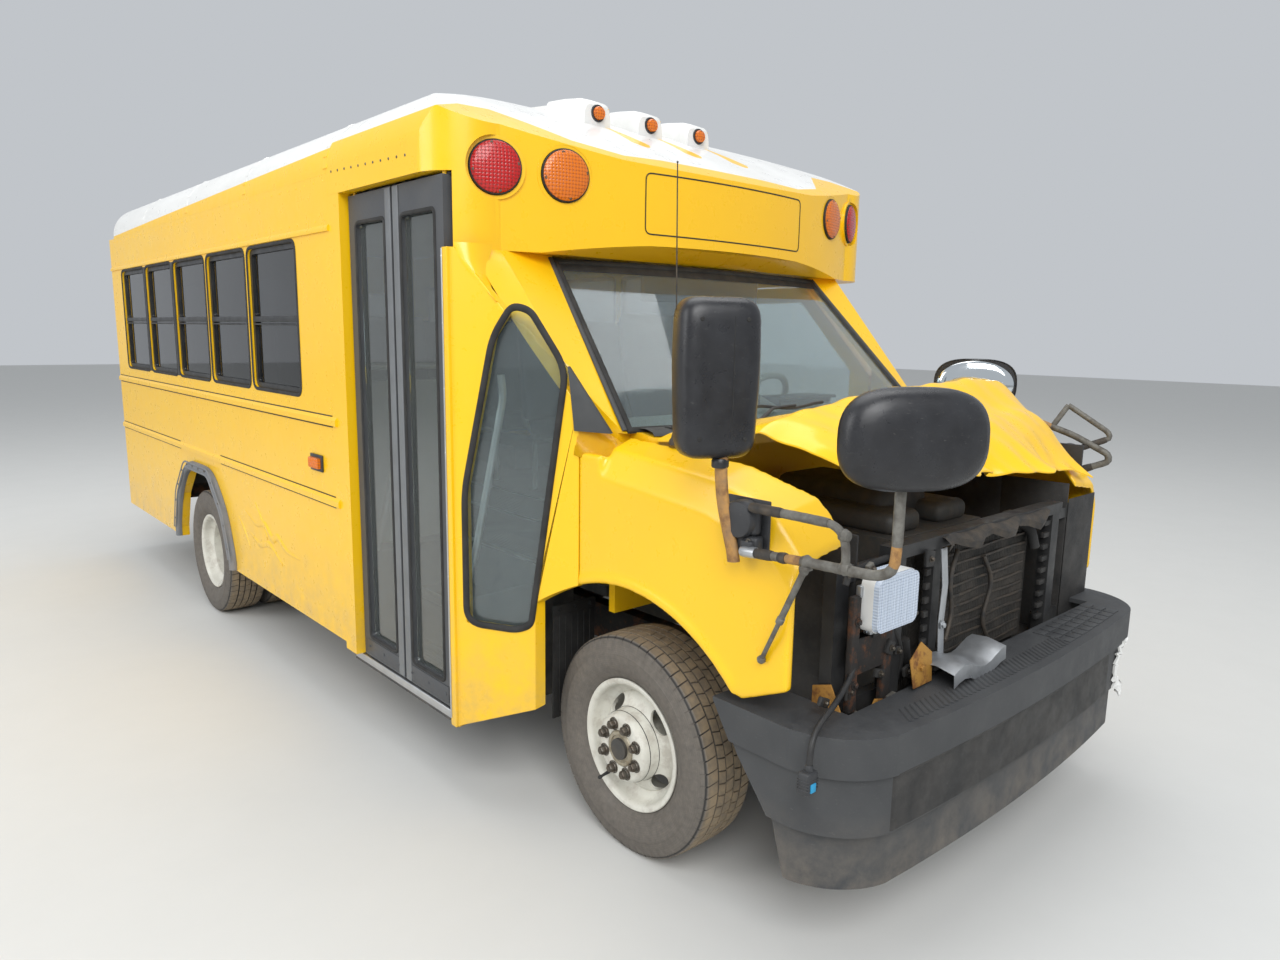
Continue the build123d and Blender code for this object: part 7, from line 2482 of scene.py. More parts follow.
@dataclass
class EngineBay(Assembly):
    """What the missing grille shows: condenser lines, brackets, straps and the lamp's surround."""

    def build(self) -> list[bpy.types.Object]:
        """Build every piece of the assembly.

        Returns:
            The pieces, in order.
        """
        self.lamp()
        self.condenser()
        self.brackets()
        self.straps()
        self.engine()
        return self.pieces

    def lamp(self) -> None:
        """Bright surround, lens ribs and adjusting screws of the right headlamp."""
        x, z, face = -632.0, 1005.0, -790.0
        shape = Shape()
        loop = rounded_loop(
            [(x - 101, z - 76), (x + 101, z - 76), (x + 101, z + 76), (x - 101, z + 76)], 28.0, 5
        )
        shape.sweep(
            [spot(a, -752.0, b) for a, b in loop],
            [(-0.004, -0.016), (-0.007, 0.0), (-0.004, 0.020), (0.002, 0.024), (0.002, -0.016)], AHEAD,
            closed=True
        )
        self.add(shape, "headlamp_surround", Body.BODY, "sign_white", "chrome_lamp")
        shape = Shape()
        for k in range(-4, 5):
            path = [spot(x + 20 * k, face - 0.3, z + t) for t in (-62.0, 0.0, 62.0)]
            shape.sweep(path, bead_section(9.0, 1.6, 4), AHEAD)
        self.add(shape, "headlamp_ribs", Body.BODY, "lens_clear", "chrome_lamp")
        shape = Shape()
        shape.block(spot(x - 112, -744.0, z + 20), spot(x - 92, -726.0, z + 52), 0.003)
        shape.block(spot(x - 60, -746.0, z - 96), spot(x - 20, -722.0, z - 74), 0.003)
        shape.block(spot(x + 30, -746.0, z - 96), spot(x + 62, -722.0, z - 74), 0.003)
        shape.bolts([spot(x - 40, -746.0, z - 85), spot(x + 46, -746.0, z - 85)], AHEAD, 0.006)
        self.add(shape, "headlamp_clips", Body.BODY, "sheet_bright", "chrome_lamp")

    def condenser(self) -> None:
        """Fin rows, bent pipes and a dented shroud in front of the core."""
        shape = Shape()
        for k in range(11):
            z = 672.0 + 36.0 * k
            path = [spot(x, -671.5 + 3.0 * math.sin(x * 0.02 + k), z) for x in range(-285, 391, 45)]
            shape.sweep(path, strip_section(9.0, 4.0), AHEAD)
        self.add(shape, "condenser_tubes", Body.BODY, "tube_dark", "core_metal")
        pipes = Shape()
        for x, top, foot, bend in (
            (-240.0, 1075.0, 700.0, 60.0), (-120.0, 1050.0, 760.0, -50.0), (60.0, 1000.0, 690.0, 70.0)
        ):
            path = [spot(x, -684.0, top), spot(x + bend, -690.0, (top + foot) / 2 + 60),
                spot(x + bend * 0.2, -686.0, foot + 80),
                    spot(x + bend, -690.0, foot)]
            pipes.tube(eased(path, 0.06), 0.0075, 10)
        self.add(pipes, "condenser_pipes", Body.BODY, "tube_dark", "core_metal")
        shroud = Shape()
        rows = []
        for k in range(13):
            x = -300.0 + 60.0 * k
            wave = 14.0 * math.sin(k * 1.7)
            rows.append([
                spot(x, -700.0 + wave * 0.3, 1128.0), spot(x, -735.0 + wave, 1122.0 + wave * 0.6),
                spot(x + 8, -752.0 + wave, 1104.0 + wave), spot(x + 4, -748.0 + wave, 1082.0 + wave),
            ])
        shroud.band(rows)
        self.add(shroud, "tie_bar_shroud", Body.BODY, "tube_dark", "black_paint")

    def brackets(self) -> None:
        """Rusty yellow corner brackets under the right lamp, with bolts."""
        shape = Shape()
        outline = [(-790, 610), (-690, 640), (-640, 700), (-600, 690), (-600, 622), (-700, 612)]
        shape.plate([spot(x, -742.0, z + 8) for x, z in outline], Vector((0, 0.004, 0)), 0.0015)
        shape.plate(
            [
                spot(-800.0, d, z) for d,
                z in ((-742, 618), (-742, 700), (-700, 780), (-640, 760), (-640, 618))
            ],
            Vector((0.005, 0, 0)), 0.0015,
        )
        shape.plate(
            [
                spot(x, -790.0 + (z - 620) * 0.2, z + 100) for x,
                z in ((-520, 620), (-420, 620), (-400, 700), (-450, 740), (-520, 700))
            ],
            Vector((0, 0.004, 0)), 0.0015,
        )
        shape.bolts(
            [spot(-740.0, -743.0, 650.0), spot(-660.0, -743.0, 670.0), spot(-470.0, -779.0, 770.0)], AHEAD,
            0.009
        )
        self.add(shape, "corner_brackets", Body.BODY, "rust_bracket", "black_paint")
        dark = Shape()
        dark.plate(
            [
                spot(x, -735.0, z) for x,
                z in ((-760, 800), (-600, 800), (-560, 880), (-570, 930), (-640, 900), (-760, 905))
            ],
            Vector((0, 0.005, 0)), 0.0015,
        )
        dark.block(spot(-770.0, -742.0, 700.0), spot(-736.0, -722.0, 1030.0), 0.004)
        dark.block(spot(-600.0, -736.0, 640.0), spot(-560.0, -716.0, 900.0), 0.004)
        dark.bolts(
            [spot(-752.0, -743.0, 780.0), spot(-752.0, -743.0, 960.0), spot(-580.0, -737.0, 860.0)], AHEAD,
            0.008
        )
        self.add(dark, "lamp_brackets", Body.BODY, "chassis", "black_paint")

    def straps(self) -> None:
        """Bright upright strap in front of the condenser and the folded sheet on the shelf."""
        shape = Shape()
        path = [
            spot(-300.0, -732.0, 1092.0), spot(-296.0, -742.0, 980.0), spot(-290.0, -734.0, 860.0),
            spot(-286.0, -740.0, 720.0)
        ]
        shape.sweep(path, strip_section(34.0, 3.0), AHEAD)
        shape.bolts([spot(-292.0, -741.0, 850.0), spot(-288.0, -742.0, 745.0)], AHEAD, 0.009)
        self.add(shape, "upright_strap", Body.BODY, "sheet_bright", "core_metal")
        shape = Shape()
        rows = []
        for k in range(11):
            x = -420.0 + 32.0 * k
            z = 716.0 + 16.0 * math.sin(k * 0.8)
            rows.append([
                spot(x, -860.0, z - 2), spot(x, -858.0, z + 40),
                spot(x, -800.0 + 8 * math.sin(k * 1.3), z + 52), spot(x + 8, -740.0, z + 44),
            ])
        shape.band(rows)
        self.add(shape, "folded_sheet", Body.BODY, "sheet_bright", "core_metal")

    def engine(self) -> None:
        """Covers, intake and belt drive on the engine block, seen under the hood."""
        shape = Shape()
        shape.block(spot(-250.0, -520.0, 1075.0), spot(-60.0, -40.0, 1150.0), 0.030, 4)
        shape.block(spot(60.0, -520.0, 1075.0), spot(250.0, -40.0, 1150.0), 0.030, 4)
        shape.block(spot(-150.0, -420.0, 1080.0), spot(150.0, 60.0, 1210.0), 0.045, 4)
        self.add(shape, "engine_covers", Body.BODY, "cast", "cast")
        drive = Shape()
        for x, z, r in (
            (0.0, 640.0, 0.10), (150.0, 860.0, 0.07), (-160.0, 900.0, 0.075), (0.0, 980.0, 0.085)
        ):
            drive.lathe(
                [(r * 0.3, -0.004), (r, -0.004), (r, 0.004), (r * 0.93, 0.010), (r, 0.016), (r, 0.026),
                    (r * 0.5, 0.026),
                 (0.0, 0.020)], spot(x, -551.0, z), AHEAD, 32,
            )
        self.add(drive, "belt_drive", Body.BODY, "tube_dark", "cast")


@dataclass
class WheelRims(Assembly):
    """Steel disc wheels: rolled flanges, drop well, coned disc with four hand holes and a raised drum.

    Attributes:
        offset: Distance from a rim's middle to the disc's outer face, in millimetres; not used.
        hand_radius: Distance of the hand holes from the axle.
        hand_long: Half length of a hand hole.
        hand_wide: Half width of a hand hole.
    """

    offset: float = 127.0
    hand_radius: float = 146.0
    hand_long: float = 45.0
    hand_wide: float = 25.0
    barrel: tuple[tuple[float, float], ...] = (
        (221, 80), (223, 84), (223, 88), (220, 90.5), (213, 90), (206, 87), (201, 81), (198, 72), (195, 56),
        (188, 46), (176, 38), (169, 32), (168, 0), (169, -32), (176, -38), (188, -46), (195, -56), (198, -72),
        (201, -81), (206, -87), (213, -90), (220, -90.5), (223, -88), (223, -84), (221, -80), (205, -78),
        (203, -58), (192, -48), (177, -36), (176, 0), (177, 36), (192, 48), (203, 58), (205, 78), (221, 80),
    )
    dish: tuple[tuple[float, float], ...] = (
        (172, 18), (171, 30), (166, 38), (157, 45), (145, 51), (134, 55.5), (127, 60), (123, 66), (121, 75),
        (119, 95), (117, 108), (113, 118), (107, 124.5), (100, 127), (66, 127.5), (61, 126), (60, 122),
        (60, 118), (98, 118), (106, 113), (110, 104), (113, 74), (116, 62), (122, 53), (138, 45), (152, 37),
        (161, 28), (163, 18), (172, 18),
    )

    def build(self) -> list[bpy.types.Object]:
        """Build every piece of the assembly.

        Returns:
            The pieces, in order.
        """
        for side, body in ((Side.LEFT, Body.FRONT_LEFT), (Side.RIGHT, Body.FRONT_RIGHT)):
            name = side.name.lower()
            shape = Shape()
            self.rim(shape, side.value * FRONT_TRACK, side.value, FRONT_AXLE_Y)
            self.hub(shape, side.value, FRONT_AXLE_Y, 770.0, 941.0)
            self.add(
                shape, f"rim_front_dressed_{name}", body, "wheel", "wheel_paint", 32.0, (f"rim_front_{name}",)
            )
            self.centre(body, side.value, FRONT_AXLE_Y, 943.0, False)
        for side, body in ((Side.LEFT, Body.REAR_LEFT), (Side.RIGHT, Body.REAR_RIGHT)):
            name = side.name.lower()
            shape = Shape()
            self.rim(shape, side.value * REAR_INNER, side.value, REAR_AXLE_Y)
            self.rim(shape, side.value * REAR_OUTER, -side.value, REAR_AXLE_Y)
            self.hub(shape, side.value, REAR_AXLE_Y, 848.0, 960.0)
            self.add(
                shape, f"rims_rear_dressed_{name}", body, "wheel", "wheel_paint", 32.0, (f"rims_rear_{name}",)
            )
            self.centre(body, side.value, REAR_AXLE_Y, 966.0, True)
        return self.pieces

    def rim(self, shape: Shape, x: float, out: int, axle_y: float) -> None:
        """Add one rim whose dish points along out.

        Args:
            shape: Mesh that takes the rim.
            x: Middle of the rim in millimetres.
            out: Sign of X that the disc's face looks at.
            axle_y: Y of the axle in metres.
        """
        centre = Vector((x * MM, axle_y, AXLE_Z))
        axis = Vector((out, 0, 0))
        shape.lathe([(r * MM, a * MM) for r, a in self.barrel], centre, axis, 72)
        disc = Shape()
        disc.lathe([(r * MM, a * MM) for r, a in self.dish], centre, axis, 72)
        bmesh.ops.remove_doubles(disc.bm, verts=disc.bm.verts, dist=1e-5)
        piece = disc.object("disc_blank")
        cutter = self.cutter(centre, axis)
        cut = piece.modifiers.new("hand_holes", "BOOLEAN")
        cut.operation = "DIFFERENCE"
        cut.solver = "EXACT"
        cut.object = cutter
        mesh = applied(piece)
        shape.bm.from_mesh(mesh)
        bmesh.ops.remove_doubles(shape.bm, verts=shape.bm.verts, dist=1e-5)
        for spare in (piece, cutter):
            bpy.data.objects.remove(spare)
        bpy.data.meshes.remove(mesh)

    def cutter(self, centre: Vector, axis: Vector) -> bpy.types.Object:
        """Four oval bars where the hand holes go.

        Args:
            centre: Centre in metres.
            axis: Direction of the axis.

        Returns:
            The object.
        """
        shape = Shape()
        for k in range(4):
            turn = math.radians(45.0 + 90.0 * k)
            radial = Vector((0.0, math.cos(turn), math.sin(turn)))
            across = axis.cross(radial)
            base = centre + radial * (self.hand_radius * MM)
            rows = []
            for along in (0.005, 0.085):
                rows.append([
                    base + axis * along + across * (math.cos(a) * self.hand_long * MM)
                    + radial * (math.sin(a) * self.hand_wide * MM)
                    for a in (math.tau * i / 28 for i in range(28))
                ])
            shape.band(rows, closed=True, caps=True)
        return shape.object("hand_hole_bars")

    def hub(self, shape: Shape, side: int, axle_y: float, inner: float, face: float) -> None:
        """Hub barrel and its flange behind the disc.

        Args:
            shape: Shape that the geometry goes into.
            side: 1 for the left side, -1 for the right.
            axle_y: Y of the axle in metres.
            inner: X of the barrel's inner end in millimetres.
            face: X of the disc's face in millimetres.
        """
        base = Vector((side * inner * MM, axle_y, AXLE_Z))
        length = (face - inner) * MM
        shape.lathe(
            [(0.0, 0.0), (0.062, 0.0), (0.067, 0.006), (0.067, length - 0.03), (0.096, length - 0.024),
             (0.099, length - 0.018), (0.099, length - 0.0005), (0.0, length - 0.0005)],
            base, Vector((side, 0, 0)), 48,
        )

    def centre(self, body: Body, side: int, axle_y: float, face: float, axle: bool) -> None:
        """Greasy hub centre, flush in front and a bolted axle flange behind; front wheels also get thin dark
        rings of painted shade in the disc's creases.

        Args:
            body: Body that the pieces ride on.
            side: 1 for the left side, -1 for the right.
            axle_y: Y of the axle in metres.
            face: X of the disc's face in millimetres.
            axle: Whether it has a rear axle's flange.
        """
        shape = Shape()
        out = Vector((side, 0, 0))
        base = Vector((side * face * MM, axle_y, AXLE_Z))
        if axle:
            shape.lathe(
                [(0.056, 0.0), (0.056, 0.030), (0.052, 0.036), (0.050, 0.036), (0.050, 0.046), (0.046, 0.050),
                 (0.020, 0.051), (0.016, 0.056), (0.0, 0.056)], base, out, 40,
            )
            heads = [
                base + out * 0.036 + Vector((0, math.cos(a), math.sin(a))) * 0.0435
                for a in (math.tau * k / 8 for k in range(8))
            ]
            shape.bolts(heads, out, 0.0055)
        else:
            shape.lathe(
                [(0.0595, -0.006), (0.0595, 0.004), (0.056, 0.008), (0.046, 0.0085), (0.044, 0.005),
                    (0.030, 0.0045),
                 (0.026, 0.007), (0.012, 0.008), (0.0, 0.006)], base, out, 40,
            )
        self.add(shape, f"hub_centre_{body.value}", body, "hub_grease", "wheel_paint")
        if not axle:
            # painted shade: thin dark rings on the drum's side, where the drum meets the cone and where the
            # disc meets the rim
            dark_marks = Shape()
            rim_face = Vector((side * FRONT_TRACK * MM, axle_y, AXLE_Z))
            for radius, along in ((0.1183, 0.100), (0.1232, 0.0655), (0.1712, 0.0305)):
                dark_marks.lathe(
                    [
                        (radius + 0.0002, along - 0.0016), (radius + 0.0012, along),
                        (radius + 0.0002, along + 0.0016)
                    ],
                    rim_face, out, 72,
                )
            self.add(dark_marks, f"drum_seam_{body.value}", body, "rubber", "wheel_paint")


@dataclass
class Mirrors(Assembly):
    """Both outside mirror sets: moulded heads, brackets, taped and rusted tubes, loose strut."""

    def build(self) -> list[bpy.types.Object]:
        """Build every piece of the assembly.

        Returns:
            The pieces, in order.
        """
        self.head("mirror_flat_right", (-1050.0, -480.0, 1605.0), (225.0, 415.0, 95.0), -28.0, 58.0)
        self.cross_head("mirror_cross_right", (-1053.0, -1058.0, 1505.0), -30.0)
        self.cross_head("mirror_cross_left", (948.0, -150.0, 1520.0), 120.0)
        self.base(Side.RIGHT)
        self.base(Side.LEFT)
        self.right_arms()
        self.left_arms()
        self.strut()
        return self.pieces

    def local(self, centre: Sequence[float], turn: float, u: float, v: float, w: float) -> Vector:
        """Point of a head: u across, v up, w towards the glass, in millimetres.

        Args:
            centre: Centre of the head in millimetres.
            turn: Turn of the head in degrees.
            u: Millimetres across.
            v: Millimetres up.
            w: Millimetres towards the glass.

        Returns:
            The point in metres.
        """
        angle = math.radians(turn)
        x = centre[0] + u * math.cos(angle) - w * math.sin(angle)
        y = centre[1] + u * math.sin(angle) + w * math.cos(angle)
        return spot(x, y, centre[2] + v)

    def head(
        self, name: str, centre: Sequence[float], size: Sequence[float], turn: float, corner: float,
    ) -> None:
        """Tall flat-glass head with a domed shell, seam, screws and recessed glass.

        Args:
            name: Name of the piece.
            centre: Middle as (x, distance, z).
            size: Width, height and depth in millimetres.
            turn: Degrees about the vertical.
            corner: Radius of the outline's corners.
        """
        width, height, depth = size
        shape = Shape()
        rows = []
        levels = (
            (depth / 2 - 10, 14.0), (depth / 2 - 2, 9.0), (depth / 2, 5.0), (depth / 2 - 2, 1.5),
            (depth / 2 - 8, 0.0),
            (6.0, 0.5), (-12.0, 3.0), (-26.0, 8.0), (-36.0, 16.0), (-43.0, 28.0), (-46.5, 44.0),
            (-depth / 2, 62.0),
        )
        for w, inset in levels:
            a = width / 2 - inset * 0.9
            b = height / 2 - inset
            taper = 10.0
            corners = [
                (-a + taper, -b), (a - taper, -b), (a, b * 0.2), (a - 4, b), (-a + 4, b), (-a, b * 0.2)
            ]
            loop = rounded_loop(corners, max(10.0, min(corner, a * 0.92) - inset * 0.35), 7)
            rows.append([self.local(centre, turn, u, v, w) for u, v in loop])
        shape.band(rows, closed=True, caps=True)
        self.add(shape, name, Body.BODY, "mirror_gloss", "mirror_plastic", 40.0, ("mirrors",))
        seam = Shape()
        path = [
            self.local(centre, turn, 26.0, v, w) for v, w in (
                (-height / 2 + 6, -18.0), (-height / 2 + 22, -38.0), (-height / 2 + 48, -46.6), (0.0, -48.3),
                (height / 2 - 48, -46.6), (height / 2 - 22, -38.0), (height / 2 - 6, -18.0),
            )
        ]
        seam.tube(eased(path, 0.02, 5), 0.0013, 6)
        normal = self.local(centre, turn, 0, 0, -1.0) - self.local(centre, turn, 0, 0, 0.0)
        seam.screws(
            [
                self.local(centre, turn, u, v, -46.5) for u,
                v in ((-60, -150), (62, -150), (-60, 150), (62, 150))
            ],
            normal, 0.006,
        )
        self.add(seam, f"{name}_seam", Body.BODY, "rubber", "mirror_plastic", replaces=("mirrors",))
        glass = Shape()
        loop = rounded_loop(
            [(-width / 2 + 13, -height / 2 + 14), (width / 2 - 13, -height / 2 + 14),
             (width / 2 - 13, height / 2 - 14), (-width / 2 + 13, height / 2 - 14)], 44.0, 7,
        )
        glass.plate(
            [self.local(centre, turn, u, v, depth / 2 - 8) for u, v in loop],
            self.local(centre, turn, 0, 0, 4.0) - self.local(centre, turn, 0, 0, 0.0),
        )
        self.add(glass, f"{name}_glass", Body.BODY, "mirror_face", "mirror_plastic", replaces=("mirrors",))

    def cross_head(self, name: str, centre: Sequence[float], turn: float) -> None:
        """Oval cross-view head: deep domed back, rolled rim and bulging glass.

        Args:
            name: Name of the pieces.
            centre: Centre of the head in millimetres.
            turn: Turn of the head in degrees.
        """
        shape = Shape()
        half_u, half_v = 170.0, 111.0
        levels = (
            (24.0, 0.955), (29.0, 0.985), (26.0, 1.0), (14.0, 1.0), (0.0, 0.985), (-14.0, 0.935),
            (-26.0, 0.84),
            (-34.0, 0.68), (-38.5, 0.46), (-40.0, 0.22),
        )
        rows = []
        for w, scale in levels:
            row = []
            for k in range(48):
                a = math.tau * k / 48
                c, s = math.cos(a), math.sin(a)
                u = half_u * scale * math.copysign(abs(c) ** 0.64, c)
                v = half_v * scale * math.copysign(abs(s) ** 0.74, s)
                row.append(self.local(centre, turn, u, v, w))
            rows.append(row)
        shape.band(rows, closed=True, caps=True)
        self.add(shape, name, Body.BODY, "mirror_gloss", "mirror_plastic", 42.0, ("mirrors",))
        glass = Shape()
        rows = []
        for w, scale in ((22.0, 0.95), (30.0, 0.90), (36.0, 0.74), (39.0, 0.5), (40.0, 0.2)):
            rows.append([
                self.local(
                    centre, turn, half_u * scale * math.cos(math.tau * k / 48),
                    half_v * scale * math.sin(math.tau * k / 48), w,
                ) for k in range(48)
            ])
        glass.band(rows, closed=True, caps=True)
        self.add(glass, f"{name}_glass", Body.BODY, "mirror_face", "mirror_plastic", replaces=("mirrors",))

    def base(self, side: Side) -> None:
        """Two-part moulded bracket on the cab side with the post up to the flat mirror.

        Args:
            side: Side of the bus.
        """
        s = side.value
        shape = Shape()
        shape.block(spot(s * 980.6, -618, 1152), spot(s * 988, -472, 1298), 0.004, 3)
        upper = [
            (44.0, 0.0), (48.0, 4.0), (50.0, 12.0), (50.0, 44.0), (46.0, 51.0), (36.0, 54.0), (0.0, 54.0)
        ]
        shape.lathe(
            [(r * MM, a * MM) for r, a in upper], spot(s * 986, -548, 1246), Vector((s, 0, 0)), 36,
        )
        shape.block(spot(s * 988, -600, 1205), spot(s * 1022, -500, 1280), 0.016, 4)
        shape.block(spot(s * 988, -606, 1158), spot(s * 1024, -520, 1206), 0.010, 3)
        shape.block(spot(s * 1012, -600, 1160), spot(s * 1036, -560, 1196), 0.006, 3)
        self.add(
            shape, f"mirror_base_{side.name.lower()}", Body.BODY, "mirror", "mirror_plastic", 40.0,
            ("mirrors",)
        )
        screws = Shape()
        screws.bolts(
            [spot(s * 1024, -582, 1192), spot(s * 1022, -530, 1176)], Vector((s, 0, 0)), 0.006,
        )
        self.add(
            screws, f"mirror_base_bolts_{side.name.lower()}", Body.BODY, "nut", "chassis_steel",
            replaces=("mirrors",)
        )
        if side is Side.RIGHT:
            post = Shape()
            path = [
                spot(-1040, -492, 1412), spot(-1040, -492, 1360), spot(-1039, -500, 1290),
                spot(-1034, -516, 1220),
                spot(-1028, -530, 1160), spot(-1026, -534, 1130),
            ]
            section = [
                (0.020 * math.cos(a), 0.012 * math.sin(a)) for a in (math.tau * k / 16 for k in range(16))
            ]
            post.sweep(eased(path, 0.03, 5), section, LEFTWARD)
            self.add(
                post, "mirror_post_right", Body.BODY, "tube_rust", "mirror_plastic", replaces=("mirrors",)
            )
            collar = Shape()
            collar.lathe(
                [(0.021, 0.0), (0.023, 0.004), (0.023, 0.018), (0.020, 0.024), (0.0, 0.024)],
                spot(-1042, -490, 1376), UP, 24,
            )
            self.add(
                collar, "mirror_post_collar", Body.BODY, "mirror_gloss", "mirror_plastic",
                replaces=("mirrors",)
            )

    def wrapped(
        self, name: str, path: Points, radius: float, spans: Sequence[tuple[float, float, float, str]]
    ) -> None:
        """Tube with sleeves: each span is (start, end, extra radius, finish) as shares of the path.

        Args:
            name: Name of the tube; each span adds a number to it.
            path: Middle line in metres.
            radius: Bare radius in metres.
            spans: Parts of the tube in their own finishes.
        """
        line = eased(path, 0.03, 6)
        lengths = [0.0]
        for a, b in zip(line, line[1:]):
            lengths.append(lengths[-1] + (b - a).length)
        total = lengths[-1]

        def at_share(share: float) -> Vector:
            """Point of the path at a share of its length.

            Args:
                share: Share from 0 to 1.

            Returns:
                The point in metres.
            """
            goal = share * total
            for index in range(len(line) - 1):
                if lengths[index + 1] >= goal:
                    span = lengths[index + 1] - lengths[index]
                    return line[index].lerp(line[index + 1], (goal - lengths[index]) / span)
            return line[-1]

        for number, (start, end, extra, finish) in enumerate(spans):
            steps = max(3, int((end - start) * total / 0.012))
            points = [at_share(start + (end - start) * k / steps) for k in range(steps + 1)]
            taper = [
                1.0 - 0.10 * (k in (0, steps)) + 0.02 * math.sin(k * 2.1 + number) for k in range(steps + 1)
            ]
            shape = Shape()
            shape.tube(points, radius + extra, 16, taper)
            self.add(shape, f"{name}_{number + 1}", Body.BODY, finish, "mirror_plastic", 50.0, ("mirrors",))

    def right_arms(self) -> None:
        """Tubes that carry the cross-view mirror forward, with clamps and the head's plate."""
        lower = [
            spot(-1030, -566, 1166), spot(-1036, -770, 1180), spot(-1041, -975, 1190),
            spot(-1046, -1018, 1212),
            spot(-1046, -1022, 1262), spot(-1046, -1022, 1404),
        ]
        self.wrapped("arm_lower", lower, 0.0115, (
            (0.0, 0.075, 0.004, "sheet_bright"), (0.07, 0.16, 0.0025, "tube_dark"),
            (0.155, 0.20, 0.0005, "tube_grey"),
            (0.195, 0.23, 0.003, "tube_dark"), (0.225, 0.34, 0.0005, "tube_rust"),
            (0.33, 0.72, 0.001, "tube_grey"),
            (0.71, 0.80, 0.0005, "tube_rust"), (0.79, 1.0, 0.001, "tube_grey"),
        ))
        upper = [
            spot(-1030, -592, 1285), spot(-1038, -760, 1288), spot(-1041, -850, 1288),
            spot(-1042, -882, 1268),
            spot(-1042, -890, 1230), spot(-1042, -890, 1188),
        ]
        self.wrapped("arm_upper", upper, 0.0105, (
            (0.0, 0.28, 0.003, "tube_dark"), (0.27, 0.66, 0.0015, "tube_grey"), (0.65, 1.0, 0.0, "tube_grey"),
        ))
        fittings = Shape()
        for at, radius in (
            ((-1042, -884, 1266), 0.017), ((-1041, -890, 1190), 0.018), ((-1036, -776, 1180), 0.019)
        ):
            fittings.lathe(
                [
                    (0.0, -radius), (radius * 0.7, -radius * 0.7), (radius, 0.0),
                    (radius * 0.7, radius * 0.7), (0.0, radius)
                ],
                spot(*at), REARWARD, 18,
            )
        fittings.block(spot(-1052, -790, 1160), spot(-1026, -764, 1172), 0.003)
        self.add(
            fittings, "arm_clamps_right", Body.BODY, "tube_grey", "mirror_plastic", replaces=("mirrors",)
        )
        plate = Shape()
        plate.block(spot(-1068, -1040, 1398), spot(-1024, -1012, 1518), 0.008, 3)
        plate.block(spot(-1063, -1050, 1440), spot(-1030, -1036, 1500), 0.004, 2)
        self.add(
            plate, "cross_mirror_plate_right", Body.BODY, "mirror", "mirror_plastic", replaces=("mirrors",)
        )
        nuts = Shape()
        nuts.bolts([spot(-1046, -1041, 1412), spot(-1046, -1041, 1424)], AHEAD, 0.006)
        self.add(nuts, "cross_mirror_nuts_right", Body.BODY, "nut", "chassis_steel", replaces=("mirrors",))

    def left_arms(self) -> None:
        """Bent tubes that hold the left cross-view mirror back over the fender."""
        lower = [
            spot(1026, -566, 1176), spot(1056, -692, 1232), spot(1052, -690, 1262), spot(1020, -560, 1330),
            spot(960, -240, 1440),
        ]
        self.wrapped("arm_left_lower", lower, 0.0125, (
            (0.0, 0.12, 0.003, "tube_dark"), (0.11, 0.62, 0.001, "tube_grey"), (0.61, 1.0, 0.0, "tube_rust"),
        ))
        upper = [
            spot(1026, -592, 1281), spot(1072, -684, 1326), spot(1066, -676, 1350), spot(1040, -520, 1450)
        ]
        self.wrapped(
            "arm_left_upper", upper, 0.011, ((0.0, 0.3, 0.002, "tube_dark"), (0.29, 1.0, 0.0, "tube_grey"))
        )
        self.wrapped("arm_left_tie", [spot(1040, -520, 1450), spot(1004, -476, 1358)], 0.011, (
            (0.0, 1.0, 0.0, "tube_grey"),
        ))
        plate = Shape()
        plate.block(spot(935, -262, 1418), spot(978, -158, 1472), 0.010, 3)
        self.add(
            plate, "cross_mirror_plate_left", Body.BODY, "mirror", "mirror_plastic", replaces=("mirrors",)
        )

    def strut(self) -> None:
        """Brace that hangs from the lower arm's clamp and lies against the fender."""
        top = spot(-1038, -778, 1172)
        foot = spot(-991, -612, 874)
        shape = Shape()
        middle = top.lerp(foot, 0.56)
        shape.tube([top, top.lerp(foot, 0.5), middle], 0.0085, 14)
        shape.tube([middle, middle.lerp(foot, 0.5), foot], 0.0062, 14)
        along = (foot - top).normalized()
        for place, radius, length in ((middle, 0.0105, 0.020), (top.lerp(foot, 0.03), 0.0115, 0.030)):
            shape.lathe(
                [
                    (radius * 0.7, -length / 2), (radius, -length * 0.4), (radius, length * 0.4),
                    (radius * 0.7, length / 2)
                ],
                place, along, 16,
            )
        shape.lathe(
            [(0.0, -0.012), (0.009, -0.008), (0.0125, 0.0), (0.009, 0.008), (0.0, 0.012)], foot, along, 18
        )
        self.add(shape, "loose_strut", Body.BODY, "tube_grey", "mirror_plastic")


